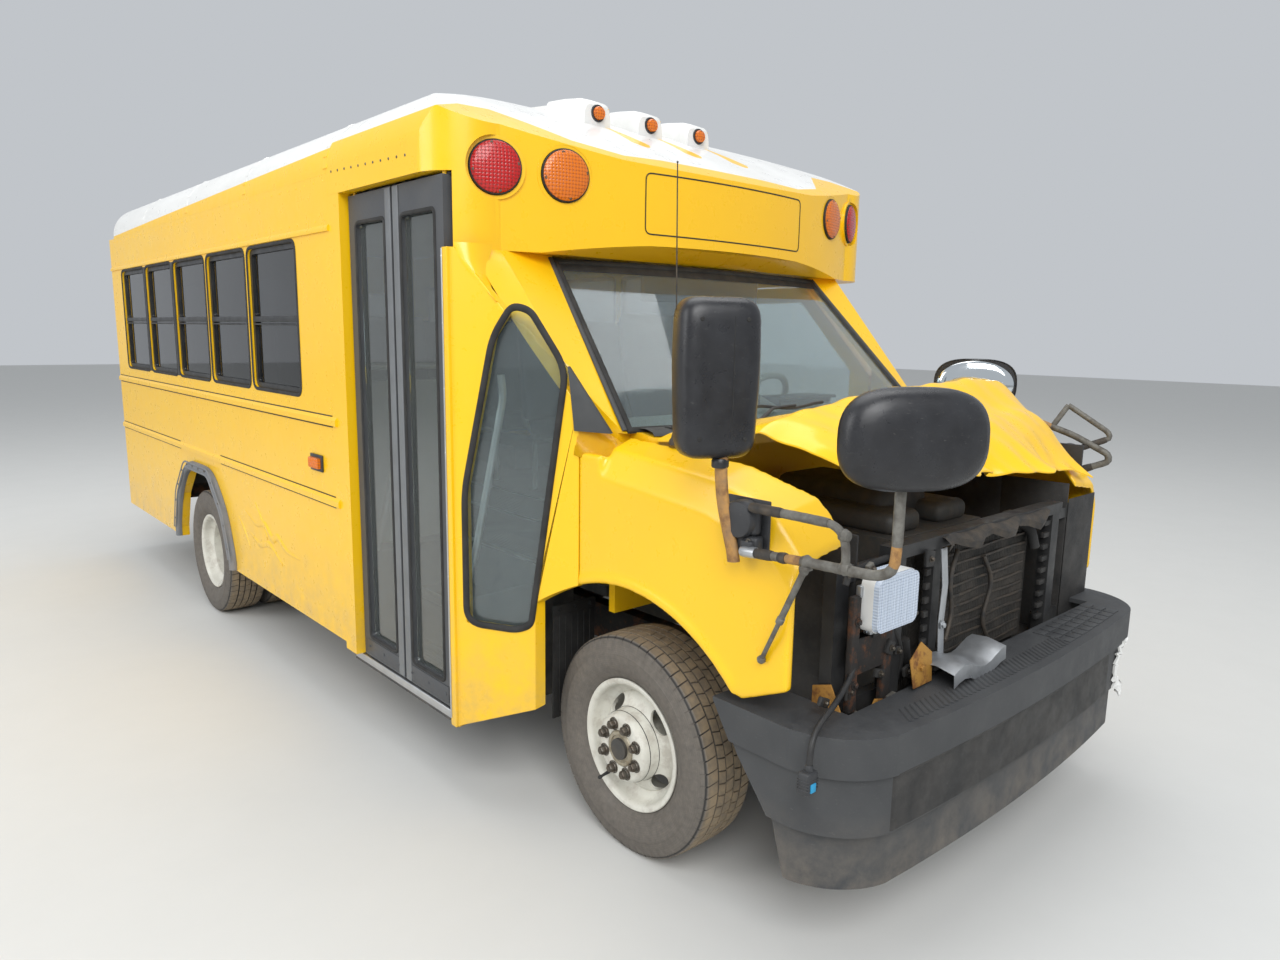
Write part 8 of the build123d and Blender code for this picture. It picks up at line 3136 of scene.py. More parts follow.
@dataclass
class Loom(Assembly):
    """Headlamp wiring loom that hangs out of the front, with its plug and clip.

    Attributes:
        route: Control points of the loom as (x, distance, z) in millimetres, the part source's own.
        radius: Half the loom's diameter in metres.
    """

    route: tuple[tuple[float, float, float], ...] = (
        (-704, -702, 868), (-724, -728, 850), (-768, -740, 806), (-826, -751, 772), (-886, -763, 752),
        (-944, -776, 742), (-988, -788, 722), (-1005, -792, 682), (-1007, -793, 650),
    )
    radius: float = 0.008

    def build(self) -> list[bpy.types.Object]:
        """Build every piece of the assembly.

        Returns:
            The pieces, in order.
        """
        plug, clip = self.plug(), self.clip()
        data = bpy.data.curves.new("lamp_loom", "CURVE")
        data.dimensions = "3D"
        line = data.splines.new("NURBS")
        line.points.add(len(self.route) - 1)
        for point, place in zip(line.points, self.route):
            point.co = (*spot(*place), 1.0)
        line.order_u = 3
        line.use_endpoint_u = True
        data.resolution_u = 24
        data.bevel_depth = self.radius
        data.bevel_resolution = 4
        data.use_fill_caps = True
        piece = bpy.data.objects.new("lamp_loom", data)
        bpy.context.scene.collection.objects.link(piece)
        self.keep(piece, Body.BODY, "loom", "wire_cover", ("lamp_wiring",))
        tuple(spot(*self.route[0]))
        return self.pieces

    def plug(self) -> bpy.types.Object:
        """Rounded plug body with a collar and ribs, in the place of its solid.

        Returns:
            The object.
        """
        low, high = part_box("wiring_plugs")
        low, high = Vector(low), Vector(high)
        middle = (low + high) / 2
        shape = Shape()
        top = spot(*self.route[-1])
        shape.lathe(
            [
                (0.0085, 0.004), (0.0105, 0.0), (0.011, -0.012), (0.0105, -0.018), (0.012, -0.020),
                (0.0, -0.020)
            ],
            top, UP, 20,
        )
        half = (high - low) / 2
        body_top = top.z - 0.012
        shape.block(
            Vector((middle.x - half.x * 0.92, middle.y - half.y * 0.84, low.z + 0.002)),
            Vector((middle.x + half.x * 0.92, middle.y + half.y * 0.84, body_top)), 0.006, 3,
        )
        for k in range(4):
            z = low.z + 0.016 + 0.008 * k
            shape.block(
                Vector((middle.x - half.x * 0.97, middle.y - half.y * 0.89, z)),
                Vector((middle.x + half.x * 0.97, middle.y + half.y * 0.89, z + 0.003)), 0.001, 1,
            )
        return self.add(shape, "loom_plug", Body.BODY, "mirror", "wire_cover", replaces=("wiring_plugs",))

    def clip(self) -> bpy.types.Object:
        """Blue lock on the plug's face.

        Returns:
            The object.
        """
        low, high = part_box("wiring_plugs")
        shape = Shape()
        x = (low[0] + high[0]) / 2
        shape.block(
            Vector((x - 0.010, low[1] - 0.0005, low[2] + 0.010)),
            Vector((x + 0.010, low[1] + 0.006, low[2] + 0.034)),
            0.002,
        )
        return self.add(shape, "loom_clip", Body.BODY, "clip_blue", "wire_cover", replaces=("wiring_plugs",))


@dataclass
class FrontExtras(Assembly):
    """Whip aerial on the cowl's right end."""

    def build(self) -> list[bpy.types.Object]:
        """Build every piece of the assembly.

        Returns:
            The pieces, in order.
        """
        base = spot(-826, -101, 1388)
        shape = Shape()
        shape.lathe(
            [(0.020, -0.01), (0.020, 0.004), (0.014, 0.012), (0.009, 0.030), (0.005, 0.040), (0.0, 0.040)],
            base,
            UP, 20,
        )
        tip = spot(-838, -96, 2214)
        shape.tube([base + Vector((0, 0, 0.03)), base.lerp(tip, 0.5), tip], 0.0022, 8, (1.3, 1.0, 0.8))
        shape.lathe([(0.0, -0.004), (0.004, 0.0), (0.0, 0.004)], tip, UP, 10)
        self.add(shape, "aerial", Body.BODY, "tube_dark", "dark_frame")
        return self.pieces


@dataclass
class Seats(Assembly):
    """Padded passenger benches and driver's seat on steel frames.

    Attributes:
        rows: Number of bench rows.
        first: Distance of the first row from the front axle.
        pitch: Distance between the rows.
        voxel: Grid size of the padding before it is inflated, in metres.
        swell: Furthest that a point of the padding may move, in metres.
        driver_front: Distance of the driver's seat's front.
        driver_inner: Inner face of the driver's back rest.
        rail: Height of the cushion rails.
        plate: Bottom of the floor plates.
        legs: Inner and outer leg of a bench from the middle.
    """

    rows: int = 5
    first: float = 1960.0
    pitch: float = 700.0
    voxel: float = 0.013
    swell: float = 0.014
    driver_front: float = 850.0
    driver_inner: float = 262.0
    rail: float = 1086.0
    plate: float = 760.5
    legs: tuple[float, float] = (340.0, 1086.0)

    def build(self) -> list[bpy.types.Object]:
        """Build every piece of the assembly.

        Returns:
            The pieces, in order.
        """
        cushion = self.pad("bench_cushion", self.cushion_blank(302, 1138, 12, 392, 1098, 1182), self.voxel)
        back = self.pad("bench_back", self.back_blank(302, 1138, self.first), self.voxel)
        for row in range(self.rows):
            for side in Side:
                for source, word in ((cushion, "cushion"), (back, "back")):
                    self.copy(source, f"bench_{word}_{side.name.lower()}_{row + 1}", side, row)
        for source in (cushion, back):
            bpy.data.objects.remove(source)
        self.driver()
        self.frames()
        return self.pieces

    def cushion_blank(self, x0: float, x1: float, y0: float, y1: float, z0: float, z1: float) -> Shape:
        """Rounded block that becomes a cushion; distances count from the first row.

        Args:
            x0: Inner X.
            x1: Outer X.
            y0: Front distance.
            y1: Rear distance.
            z0: Lowest Z.
            z1: Highest Z.

        Returns:
            The blank.
        """
        shape = Shape()
        shape.block(spot(x0, self.first + y0, z0), spot(x1, self.first + y1, z1), 0.032, 4)
        return shape

    def back_blank(self, x0: float, x1: float, start: float) -> Shape:
        """Leaning back rest with a rounded top.

        Args:
            x0: Inner X.
            x1: Outer X.
            start: Distance of the back's foot.

        Returns:
            The blank.
        """
        shape = Shape()
        outline = [
            spot(x0, start + 388, 1172), spot(x0, start + 462, 1172), spot(x0, start + 516, 1770),
            spot(x0, start + 508, 1796), spot(x0, start + 486, 1802), spot(x0, start + 470, 1794),
            spot(x0, start + 464, 1770),
        ]
        shape.plate(outline, Vector(((x1 - x0) * MM, 0, 0)), 0.016)
        return shape

    def pad(self, name: str, shape: Shape, voxel: float) -> bpy.types.Object:
        """Inflate a blank as stitched upholstery by a cloth simulation.

        Args:
            name: Name of the padded piece.
            shape: Closed blank, a little smaller than the pad.
            voxel: Remesh size in metres.

        Returns:
            The padded object with its simulation applied.
        """
        piece = shape.object(name, 60.0)
        remesh = piece.modifiers.new("grid", "REMESH")
        remesh.mode = "VOXEL"
        remesh.voxel_size = voxel
        remesh.use_smooth_shade = True
        mesh = applied(piece)
        rest = [vert.co.copy() for vert in mesh.vertices]
        cloth = piece.modifiers.new("padding", "CLOTH")
        cloth.settings.use_pressure = True
        cloth.settings.uniform_pressure_force = 4.0
        cloth.settings.effector_weights.gravity = 0.0
        cloth.settings.quality = 4
        for step in range(1, 21):
            bpy.context.scene.frame_set(step)
        mesh = applied(piece)
        bpy.context.scene.frame_set(1)
        for vert, place in zip(mesh.vertices, rest):
            move = vert.co - place
            if move.length > self.swell:
                vert.co = place + move.normalized() * self.swell
        for face in piece.data.polygons:
            face.use_smooth = True
        return piece

    def copy(self, source: bpy.types.Object, name: str, side: Side, row: int) -> None:
        """One bench's own pad, mirrored for the entrance side.

        Args:
            source: Pad of the first row.
            name: Name of the piece.
            side: Side of the bus.
            row: Number of the row.
        """
        bm = bmesh.new()
        bm.from_mesh(source.data)
        bmesh.ops.transform(
            bm,
            matrix=Matrix.Translation((0, self.pitch * row * MM, 0)) @ Matrix.Diagonal((side.value, 1, 1, 1)),
            verts=bm.verts,
        )
        bmesh.ops.recalc_face_normals(bm, faces=bm.faces)
        mesh = bpy.data.meshes.new(name)
        bm.to_mesh(mesh)
        bm.free()
        for face in mesh.polygons:
            face.use_smooth = True
        piece = bpy.data.objects.new(name, mesh)
        bpy.context.scene.collection.objects.link(piece)
        self.keep(piece, Body.BODY, "seat_blue", "seat_cloth", ("seats",))

    def driver(self) -> None:
        """Driver's seat: crowned cushion, tall back and pedestal."""
        start = self.driver_front
        shape = Shape()
        shape.block(spot(250, start + 12, 1070), spot(690, start + 470, 1168), 0.036, 4)
        cushion = self.pad("driver_cushion", shape, 0.010)
        back_shape = Shape()
        outline = [
            spot(self.driver_inner, start + along, z) for along, z in (
                (452, 1172), (548, 1172), (622, 1790), (606, 1826), (584, 1830), (570, 1800), (556, 1560),
                (500, 1300),
            )
        ]
        back_shape.plate(outline, Vector((0.416, 0, 0)), 0.020)
        back = self.pad("driver_back", back_shape, 0.010)
        for piece in (cushion, back):
            self.keep(piece, Body.BODY, "seat_grey", "seat_cloth", ("seats",))
        post = Shape()
        post.block(spot(300, start + 60, 761), spot(640, start + 440, 775), 0.004)
        post.block(spot(345, start + 110, 775), spot(595, start + 400, 1010), 0.030, 4)
        for k in range(5):
            z = 800.0 + 38.0 * k
            post.block(spot(338, start + 103, z), spot(602, start + 407, z + 18), 0.008, 3)
        post.block(spot(265, start + 40, 1012), spot(675, start + 440, 1064), 0.010, 3)
        self.add(post, "driver_pedestal", Body.BODY, "paint_black", "chassis_steel", replaces=("seats",))
        belt = Shape()
        belt.tube(
            [spot(232, start + 560, 1700), spot(236, start + 500, 1400), spot(236, start + 380, 1160)], 0.004,
            8,
        )
        belt.block(spot(228, start + 360, 1100), spot(244, start + 392, 1180), 0.005, 3)
        self.add(belt, "driver_buckle", Body.BODY, "rubber", "seat_cloth", replaces=("seats",))

    def frames(self) -> None:
        """Bent tube legs, floor plates, cushion rails and wall brackets of the benches."""
        for side in Side:
            shape = Shape()
            plates = Shape()
            s = side.value
            for row in range(self.rows):
                y = self.first + self.pitch * row
                over_arch = abs(y + 300 - WHEELBASE) < 760
                for x in self.legs[:1] if over_arch else self.legs:
                    leg = [
                        spot(s * x, y + 70, 764), spot(s * x, y + 86, self.rail),
                        spot(s * x, y + 345, self.rail), spot(s * x, y + 352, 764),
                    ]
                    shape.tube(eased(leg, 0.045, 5), 0.0135, 12)
                    for foot in (y + 70, y + 352):
                        top = self.plate + 5
                        plates.block(
                            spot(s * x - 26, foot - 36, self.plate), spot(s * x + 26, foot + 36, top), 0.002
                        )
                        plates.bolts([spot(s * x, foot - 26, top), spot(s * x, foot + 26, top)], UP, 0.006)
                for along in (y + 70, y + 340):
                    rails = [spot(s * x, along, self.rail + 1) for x in (315, 1186)]
                    shape.tube(rails, 0.0125, 12)
                post = [
                    spot(s * 336, y + along, z) for along, z in ((350, self.rail), (424, 1150), (450, 1260))
                ]
                shape.tube(post, 0.012, 10)
                plates.block(
                    spot(s * 1180, y + 40, self.rail - 20), spot(s * 1188, y + 370, self.rail + 20), 0.002
                )
            self.add(
                shape, f"bench_frames_{side.name.lower()}", Body.BODY, "inner_grey", "seat_cloth", 50.0,
                ("seats",)
            )
            self.add(
                plates, f"bench_feet_{side.name.lower()}", Body.BODY, "nut", "chassis_steel",
                replaces=("seats",)
            )


@dataclass
class Cab(Assembly):
    """Dash fittings, driver's controls and the engine cover."""

    wheel: tuple[float, float, float] = (450.0, 677.0, 1379.0)

    def build(self) -> list[bpy.types.Object]:
        """Build every piece of the assembly.

        Returns:
            The pieces, in order.
        """
        self.steering()
        self.instruments()
        self.pedals()
        self.heater()
        return self.pieces

    def steering(self) -> None:
        """Boss cover, column shroud and stalks."""
        centre = spot(*self.wheel)
        axis = (centre - spot(450.0, 467.0, 1239.0)).normalized()
        shape = Shape()
        shape.lathe(
            [(0.0, 0.034), (0.045, 0.032), (0.060, 0.024), (0.064, 0.010), (0.060, -0.016), (0.0, -0.018)],
            centre, axis, 32,
        )
        foot = centre - axis * 0.20
        shape.lathe(
            [(0.0, 0.0), (0.052, 0.0), (0.056, 0.02), (0.050, 0.14), (0.036, 0.165), (0.0, 0.165)], foot,
            axis, 24,
        )
        side = LEFTWARD
        for sign in (-1, 1):
            root = foot + axis * 0.13 + side * (sign * 0.04)
            shape.tube([root, root + side * (sign * 0.09) + Vector((0, 0, 0.012))], 0.006, 10)
            shape.tube(
                [
                    root + side * (sign * 0.085) + Vector((0, 0, 0.011)),
                    root + side * (sign * 0.14) + Vector((0, 0, 0.018))
                ],
                0.010, 10,
            )
        self.add(shape, "column_shroud", Body.BODY, "dash_dark", "dash_plastic")

    def instruments(self) -> None:
        """Binnacle hood with round dials, vents and a row of switches."""
        hood = Shape()
        hood.block(spot(262, 478, 1420), spot(638, 502, 1450), 0.008, 3)
        hood.block(spot(262, 352, 1438), spot(638, 500, 1452), 0.006, 3)
        for x in (262.0, 622.0):
            hood.block(spot(x, 380, 1352), spot(x + 16, 500, 1446), 0.006, 2)
        self.add(hood, "dial_hood", Body.BODY, "dash_dark", "dash_plastic")
        rings = Shape()
        for x, radius in ((340.0, 0.040), (450.0, 0.046), (560.0, 0.040)):
            rings.lathe(
                [
                    (radius, 0.0), (radius, 0.006), (radius - 0.004, 0.008), (radius - 0.006, 0.002),
                    (0.0, 0.002)
                ],
                spot(x, 496, 1390), Vector((0, 1, 0.12)), 28,
            )
        self.add(rings, "dial_rings", Body.BODY, "aluminium", "dash_plastic")
        vents = Shape()
        for x in (-560.0, -180.0, 120.0, 760.0):
            for k in range(5):
                vents.block(spot(x - 50, 482, 1300 + 12 * k), spot(x + 50, 490, 1304 + 12 * k), 0.001, 1)
            vents.block(spot(x - 56, 478, 1292), spot(x + 56, 484, 1358), 0.003, 2)
        for k in range(10):
            x = -60.0 + 30.0 * k
            vents.block(spot(x, 476, 1226), spot(x + 20, 486, 1254), 0.003, 2)
        self.add(vents, "dash_vents", Body.BODY, "dash_dark", "dash_plastic")

    def pedals(self) -> None:
        """Brake and accelerator on their arms."""
        shape = Shape()
        for x, width in ((330.0, 45.0), (470.0, 32.0)):
            shape.tube([spot(x, 240, 1120), spot(x, 300, 980), spot(x, 340, 900)], 0.008, 10)
            shape.block(
                spot(x - width, 336, 860), spot(x + width, 350, 922), 0.006, 2, Matrix.Rotation(0.4, 3, "X")
            )
        self.add(shape, "pedals", Body.BODY, "dash_dark", "dash_plastic")

    def heater(self) -> None:
        """Engine cover between the seats with its rubber edge."""
        shape = Shape()
        shape.block(spot(-150, 460, 761), spot(170, 1000, 1120), 0.060, 5)
        self.add(shape, "engine_cover", Body.BODY, "dash_dark", "dash_plastic")
        trim = Shape()
        trim.block(spot(-158, 452, 760.5), spot(178, 1008, 790), 0.010, 3)
        self.add(trim, "engine_cover_edge", Body.BODY, "rubber", "dash_plastic")


@dataclass
class Saloon(Assembly):
    """Aisle runner of the passenger body.

    Attributes:
        start: Distance of the runner's front end.
        end: Distance of the runner's rear end.
        floor: Height of the floor.
        ribs: Number of ribs across the aisle.
        spacing: Distance between the ribs.
        trim: Middle of a trim strip from the middle.
    """

    start: float = 1560.0
    end: float = 5380.0
    floor: float = 760.0
    ribs: int = 13
    spacing: float = 25.0
    trim: float = 176.0

    def build(self) -> list[bpy.types.Object]:
        """Build every piece of the assembly."""
        self.aisle()
        return self.pieces

    def aisle(self) -> None:
        """Ribbed aisle runner with trim strips along it."""
        shape = Shape()
        for k in range(self.ribs):
            x = (k - (self.ribs - 1) / 2) * self.spacing
            shape.block(
                spot(x - 4, self.start, self.floor + 0.2), spot(x + 4, self.end, self.floor + 3.2), 0.001, 1
            )
        self.add(shape, "aisle_runner", Body.BODY, "floor_rubber", "floor_mat")
        strips = Shape()
        for x in (-self.trim, self.trim):
            path = [spot(x, distance, self.floor + 0.5) for distance in (self.start, 3400, self.end)]
            strips.sweep(path, strip_section(26, 4), UP)
        self.add(strips, "aisle_strips", Body.BODY, "aluminium", "floor_mat")


@dataclass
class RearTrim(Assembly):
    """Rear wall: window rubbers, door hardware, lamp rims, reflectors, blank plate, bolts and rivets.

    Attributes:
        wall: Distance of the wall's outer face.
        lamp_x: Tail lamps, turn lamps and reflectors from the middle.
        warning_xs: Warning lamps from the middle.
        door_half: Half the width of the door's seal.
    """

    wall: float = BODY_REAR
    lamp_x: float = 1040.0
    warning_xs: tuple[float, float] = (740.0, 960.0)
    door_half: float = 422.0

    def build(self) -> list[bpy.types.Object]:
        """Build every piece of the assembly.

        Returns:
            The pieces, in order.
        """
        self.windows()
        self.lamps()
        self.door()
        self.wall_marks()
        self.bumper()
        return self.pieces

    def frame_at(self, x0: float, x1: float, z0: float, z1: float, out: float, radius: float = 55.0) -> list[
        Vector
    ]:
        """Rounded rectangle on the rear wall."""
        return [
            spot(x, self.wall + out, z) for x,
            z in rounded_loop([(x0, z0), (x1, z0), (x1, z1), (x0, z1)], radius, 6)
        ]

    def windows(self) -> None:
        """Rubber round the two side windows on the wall and the two of the door."""
        shape = Shape()
        for x0, x1 in ((-1044.0, -556.0), (556.0, 1044.0)):
            shape.sweep(self.frame_at(x0, x1, 1419, 2033, 0.0), bead_section(20, 9), REARWARD, closed=True)
        self.add(shape, "rear_window_rubbers", Body.BODY, "rubber", "black_paint")
        door = Shape()
        for z0, z1 in ((896.0, 1294.0), (1419.0, 2104.0)):
            door.sweep(self.frame_at(-307, 307, z0, z1, 1.0), bead_section(18, 8), REARWARD, closed=True)
        self.add(door, "rear_door_rubbers", Body.EMERGENCY_DOOR, "rubber", "black_paint")

    def lamps(self) -> None:
        """Black rims behind the warning lamps and grey rims round tail and turn lamps."""
        rims = Shape()
        for x in (-self.warning_xs[1], -self.warning_xs[0], *self.warning_xs):
            rims.lathe(
                [(0.124, 0.0), (0.124, 0.005), (0.118, 0.009), (0.094, 0.009), (0.092, 0.004)],
                spot(x, self.wall, 2245), REARWARD, 40,
            )
        for x in (-self.lamp_x, self.lamp_x):
            rims.lathe(
                [(0.094, 0.0), (0.094, 0.010), (0.088, 0.014), (0.080, 0.012)], spot(x, self.wall, 1180),
                REARWARD, 36
            )
            rims.lathe(
                [(0.060, 0.0), (0.060, 0.008), (0.054, 0.012), (0.048, 0.010)], spot(x, self.wall, 960),
                REARWARD, 30
            )
        self.add(rims, "rear_lamp_rims", Body.BODY, "rubber", "black_paint")
        reflectors = Shape()
        for x in (-self.lamp_x, self.lamp_x):
            reflectors.lathe(
                [(0.038, 0.0), (0.038, 0.006), (0.032, 0.009), (0.0, 0.009)], spot(x, self.wall, 820),
                REARWARD, 26,
            )
        self.add(reflectors, "rear_reflectors", Body.BODY, "lens_red", "red_lens")

    def door(self) -> None:
        """Door edge rubber, handle and rivets."""
        shape = Shape()
        shape.sweep(
            self.frame_at(-self.door_half, self.door_half, 798, 2232, 0.0, 40.0), bead_section(14, 7),
            REARWARD, closed=True
        )
        self.add(shape, "rear_door_seal", Body.BODY, "rubber", "black_paint")
        handle = Shape()
        handle.lathe(
            [(0.036, 0.0), (0.036, 0.006), (0.028, 0.014), (0.0, 0.016)], spot(-345, self.wall + 2, 1350),
            REARWARD, 26
        )
        handle.block(spot(-356, self.wall + 14, 1345), spot(-220, self.wall + 30, 1365), 0.007, 3)
        self.add(handle, "rear_door_handle", Body.EMERGENCY_DOOR, "aluminium", "chrome_lamp")
        rivets = Shape()
        places = [spot(s * 395, self.wall + 2, 850.0 + 110.0 * k) for s in (-1, 1) for k in range(12)]
        places += [
            spot(-330.0 + 110.0 * k, self.wall + 2, z) for z in (840.0, 1356.0, 2180.0) for k in range(7)
        ]
        rivets.rivets(places, REARWARD, 0.005, 0.002)
        self.add(rivets, "rear_door_rivets", Body.EMERGENCY_DOOR, "paint_yellow", "body_paint")

    def wall_marks(self) -> None:
        """Rows of rivets, black rub rails and the blank plate with its lamp."""
        rivets = Shape()
        places = [
            spot(s * x, self.wall, z) for s in (-1, 1) for z in (720.0, 1330.0, 1370.0, 2130.0, 2380.0)
            for x in (500.0, 600.0, 700.0, 800.0, 900.0, 1000.0, 1100.0)
        ]
        places += [spot(s * 1178, self.wall, 720.0 + 120.0 * k) for s in (-1, 1) for k in range(13)]
        rivets.rivets(places, REARWARD, 0.005, 0.002)
        self.add(rivets, "rear_wall_rivets", Body.BODY, "paint_yellow", "body_paint")
        rails = Shape()
        for s in (-1, 1):
            for z in (1345.0, 1065.0):
                rails.sweep(
                    [spot(s * 440, self.wall, z), spot(s * 800, self.wall, z), spot(s * 1190, self.wall, z)],
                    strip_section(36, 11), REARWARD,
                )
        self.add(rails, "rear_rub_rails", Body.BODY, "paint_black", "black_paint")
        plate = Shape()
        plate.block(spot(648, self.wall + 1, 1112), spot(952, self.wall + 4, 1264), 0.002)
        self.add(plate, "rear_blank_plate", Body.BODY, "sign_white", "white_paint")
        lamp = Shape()
        lamp.block(spot(760, self.wall, 1272), spot(840, self.wall + 34, 1294), 0.008, 3)
        lamp.screws([spot(x, self.wall + 4, z) for x in (672, 928) for z in (1130, 1246)], REARWARD, 0.006)
        self.add(lamp, "rear_plate_lamp", Body.BODY, "rubber", "black_paint")

    def bumper(self) -> None:
        """Bolts of the channel bumper."""
        shape = Shape()
        places = [
            spot(s * x, self.wall + 80, z) for s in (-1, 1) for x in (260.0, 420.0, 900.0)
            for z in (480.0, 590.0)
        ]
        shape.bolts(places, REARWARD, 0.011)
        self.add(shape, "rear_bumper_bolts", Body.BODY, "nut", "chassis_steel")


@dataclass
class StopArmTrim(Assembly):
    """White border, two red lamps and hinge screws of the blank stop arm."""

    hinge: float = 1990.0
    height: float = 1180.0
    width: float = 450.0

    def build(self) -> list[bpy.types.Object]:
        """Build every piece of the assembly.

        Returns:
            The pieces, in order.
        """
        centre = (self.hinge + 60 + self.width / 2, self.height)
        face = 1220 + 26 + 8
        border = Shape()
        for out, flip in ((face, 1), (face - 8, -1)):
            path = [
                spot(out, centre[0] + math.cos(a) * 226, centre[1] + math.sin(a) * 226)
                for a in (math.radians(22.5 + 45 * k) for k in range(8))
            ]
            border.sweep(path, strip_section(16, 0.9), Vector((flip, 0, 0)), closed=True)
        self.add(border, "stop_border", Body.STOP_ARM, "sign_white", "white_paint")
        lamps = Shape()
        rims = Shape()
        for z in (centre[1] + 150, centre[1] - 150):
            lamps.lathe(
                [(0.046, 0.0), (0.046, 0.012), (0.040, 0.019), (0.022, 0.023), (0.0, 0.024)],
                spot(face, centre[0], z), LEFTWARD, 30,
            )
            rims.lathe(
                [(0.054, 0.0), (0.054, 0.006), (0.050, 0.010), (0.046, 0.010)],
                spot(face, centre[0], z), LEFTWARD, 30,
            )
        self.add(lamps, "stop_lamps", Body.STOP_ARM, "lens_red", "red_lens")
        rims.bolts(
            [spot(face, self.hinge + 26 + 30 * k, self.height + z) for k in range(2) for z in (-40, 40)],
            LEFTWARD, 0.006,
        )
        self.add(rims, "stop_lamp_rims", Body.STOP_ARM, "rubber", "black_paint")
        motor = Shape()
        motor.block(
            spot(1221, self.hinge - 110, self.height - 80), spot(1250, self.hinge - 24, self.height + 80),
            0.010, 3
        )
        motor.bolts(
            [spot(1250, self.hinge - 96 + 58 * k, self.height + z) for k in range(2) for z in (-62, 62)],
            LEFTWARD, 0.005,
        )
        self.add(motor, "stop_arm_motor", Body.BODY, "paint_black", "black_paint")
        return self.pieces


@dataclass
class LeftSide(Assembly):
    """Driver's side: fuel flap, battery flap, latches, vent slots and the door handle."""

    def build(self) -> list[bpy.types.Object]:
        """Build every piece of the assembly.

        Returns:
            The pieces, in order.
        """
        flap = Shape()
        loop = rounded_loop([(2420.0, 640.0), (2640.0, 640.0), (2640.0, 860.0), (2420.0, 860.0)], 26.0, 5)
        flap.plate([spot(1220.5, y, z) for y, z in loop], Vector((0.0035, 0, 0)), 0.0012)
        battery = rounded_loop([(4350.0, 470.0), (4950.0, 470.0), (4950.0, 880.0), (4350.0, 880.0)], 22.0, 5)
        flap.plate([spot(1220.5, y, z) for y, z in battery], Vector((0.0035, 0, 0)), 0.0012)
        self.add(flap, "side_flaps_left", Body.BODY, "paint_yellow", "body_paint")
        latches = Shape()
        for y, z in ((2440.0, 750.0), (4420.0, 840.0), (4880.0, 840.0)):
            latches.lathe(
                [(0.016, 0.0), (0.016, 0.004), (0.012, 0.006), (0.0, 0.006)], spot(1224, y, z), LEFTWARD, 20
            )
        for k in range(6):
            latches.block(spot(1220, 2140, 560 + 20 * k), spot(1226, 2300, 566 + 20 * k), 0.001, 1)
        self.add(latches, "side_latches_left", Body.BODY, "aluminium", "chrome_lamp")
        handle = Shape()
        handle.block(spot(985, 1140, 1120), spot(1004, 1270, 1150), 0.007, 3)
        self.add(handle, "driver_door_handle", Body.DRIVER_DOOR, "rubber", "black_paint")
        return self.pieces


@dataclass
class Underbody(Assembly):
    """Floor sills, brake pipes and the rear axle's cover bolts under the bus.

    Attributes:
        sill_half: Half the length of a sill.
        sill_low: Height of the sills' lower face.
        sill_pitch: Distance between the sills.
        bolt_ring: Radius of the cover's bolt circle.
    """

    sill_half: float = 1160.0
    sill_low: float = 700.0
    sill_pitch: float = 360.0
    bolt_ring: float = 132.0

    def build(self) -> list[bpy.types.Object]:
        """Build every piece of the assembly.

        Returns:
            The pieces, in order.
        """
        self.outriggers()
        self.pipes()
        self.axle_parts()
        return self.pieces

    def outriggers(self) -> None:
        """Thin channel cross sills below the floor."""
        shape = Shape()
        for k in range(11):
            y = 1650.0 + self.sill_pitch * k
            if abs(y - WHEELBASE) < 430:
                continue
            corner = spot(-self.sill_half, y - 20, self.sill_low)
            shape.block(corner, spot(self.sill_half, y + 20, self.sill_low + 5), 0.002)
            shape.block(corner, spot(self.sill_half, y - 16, self.sill_low + 52), 0.002)
        self.add(shape, "floor_sills", Body.BODY, "chassis", "chassis_steel")

    def pipes(self) -> None:
        """Brake and fuel pipes along the left rail."""
        shape = Shape()
        for drop, across in ((640.0, 372.0), (625.0, 376.0), (610.0, 380.0)):
            path = [spot(across, y, drop + 3.0 * math.sin(y / 400.0)) for y in range(300, 5000, 200)]
            shape.tube(path, 0.004, 8)
        self.add(shape, "brake_pipes", Body.BODY, "tube_dark", "chassis_steel")

    def axle_parts(self) -> None:
        """Cover bolts of the rear axle."""
        shape = Shape()
        places = [
            spot(math.cos(a) * self.bolt_ring, WHEELBASE + 152, AXLE_Z / MM + math.sin(a) * self.bolt_ring)
            for a in (math.tau * k / 12 for k in range(12))
        ]
        shape.bolts(places, REARWARD, 0.007)
        self.add(shape, "axle_cover_bolts", Body.BODY, "nut", "chassis_steel")


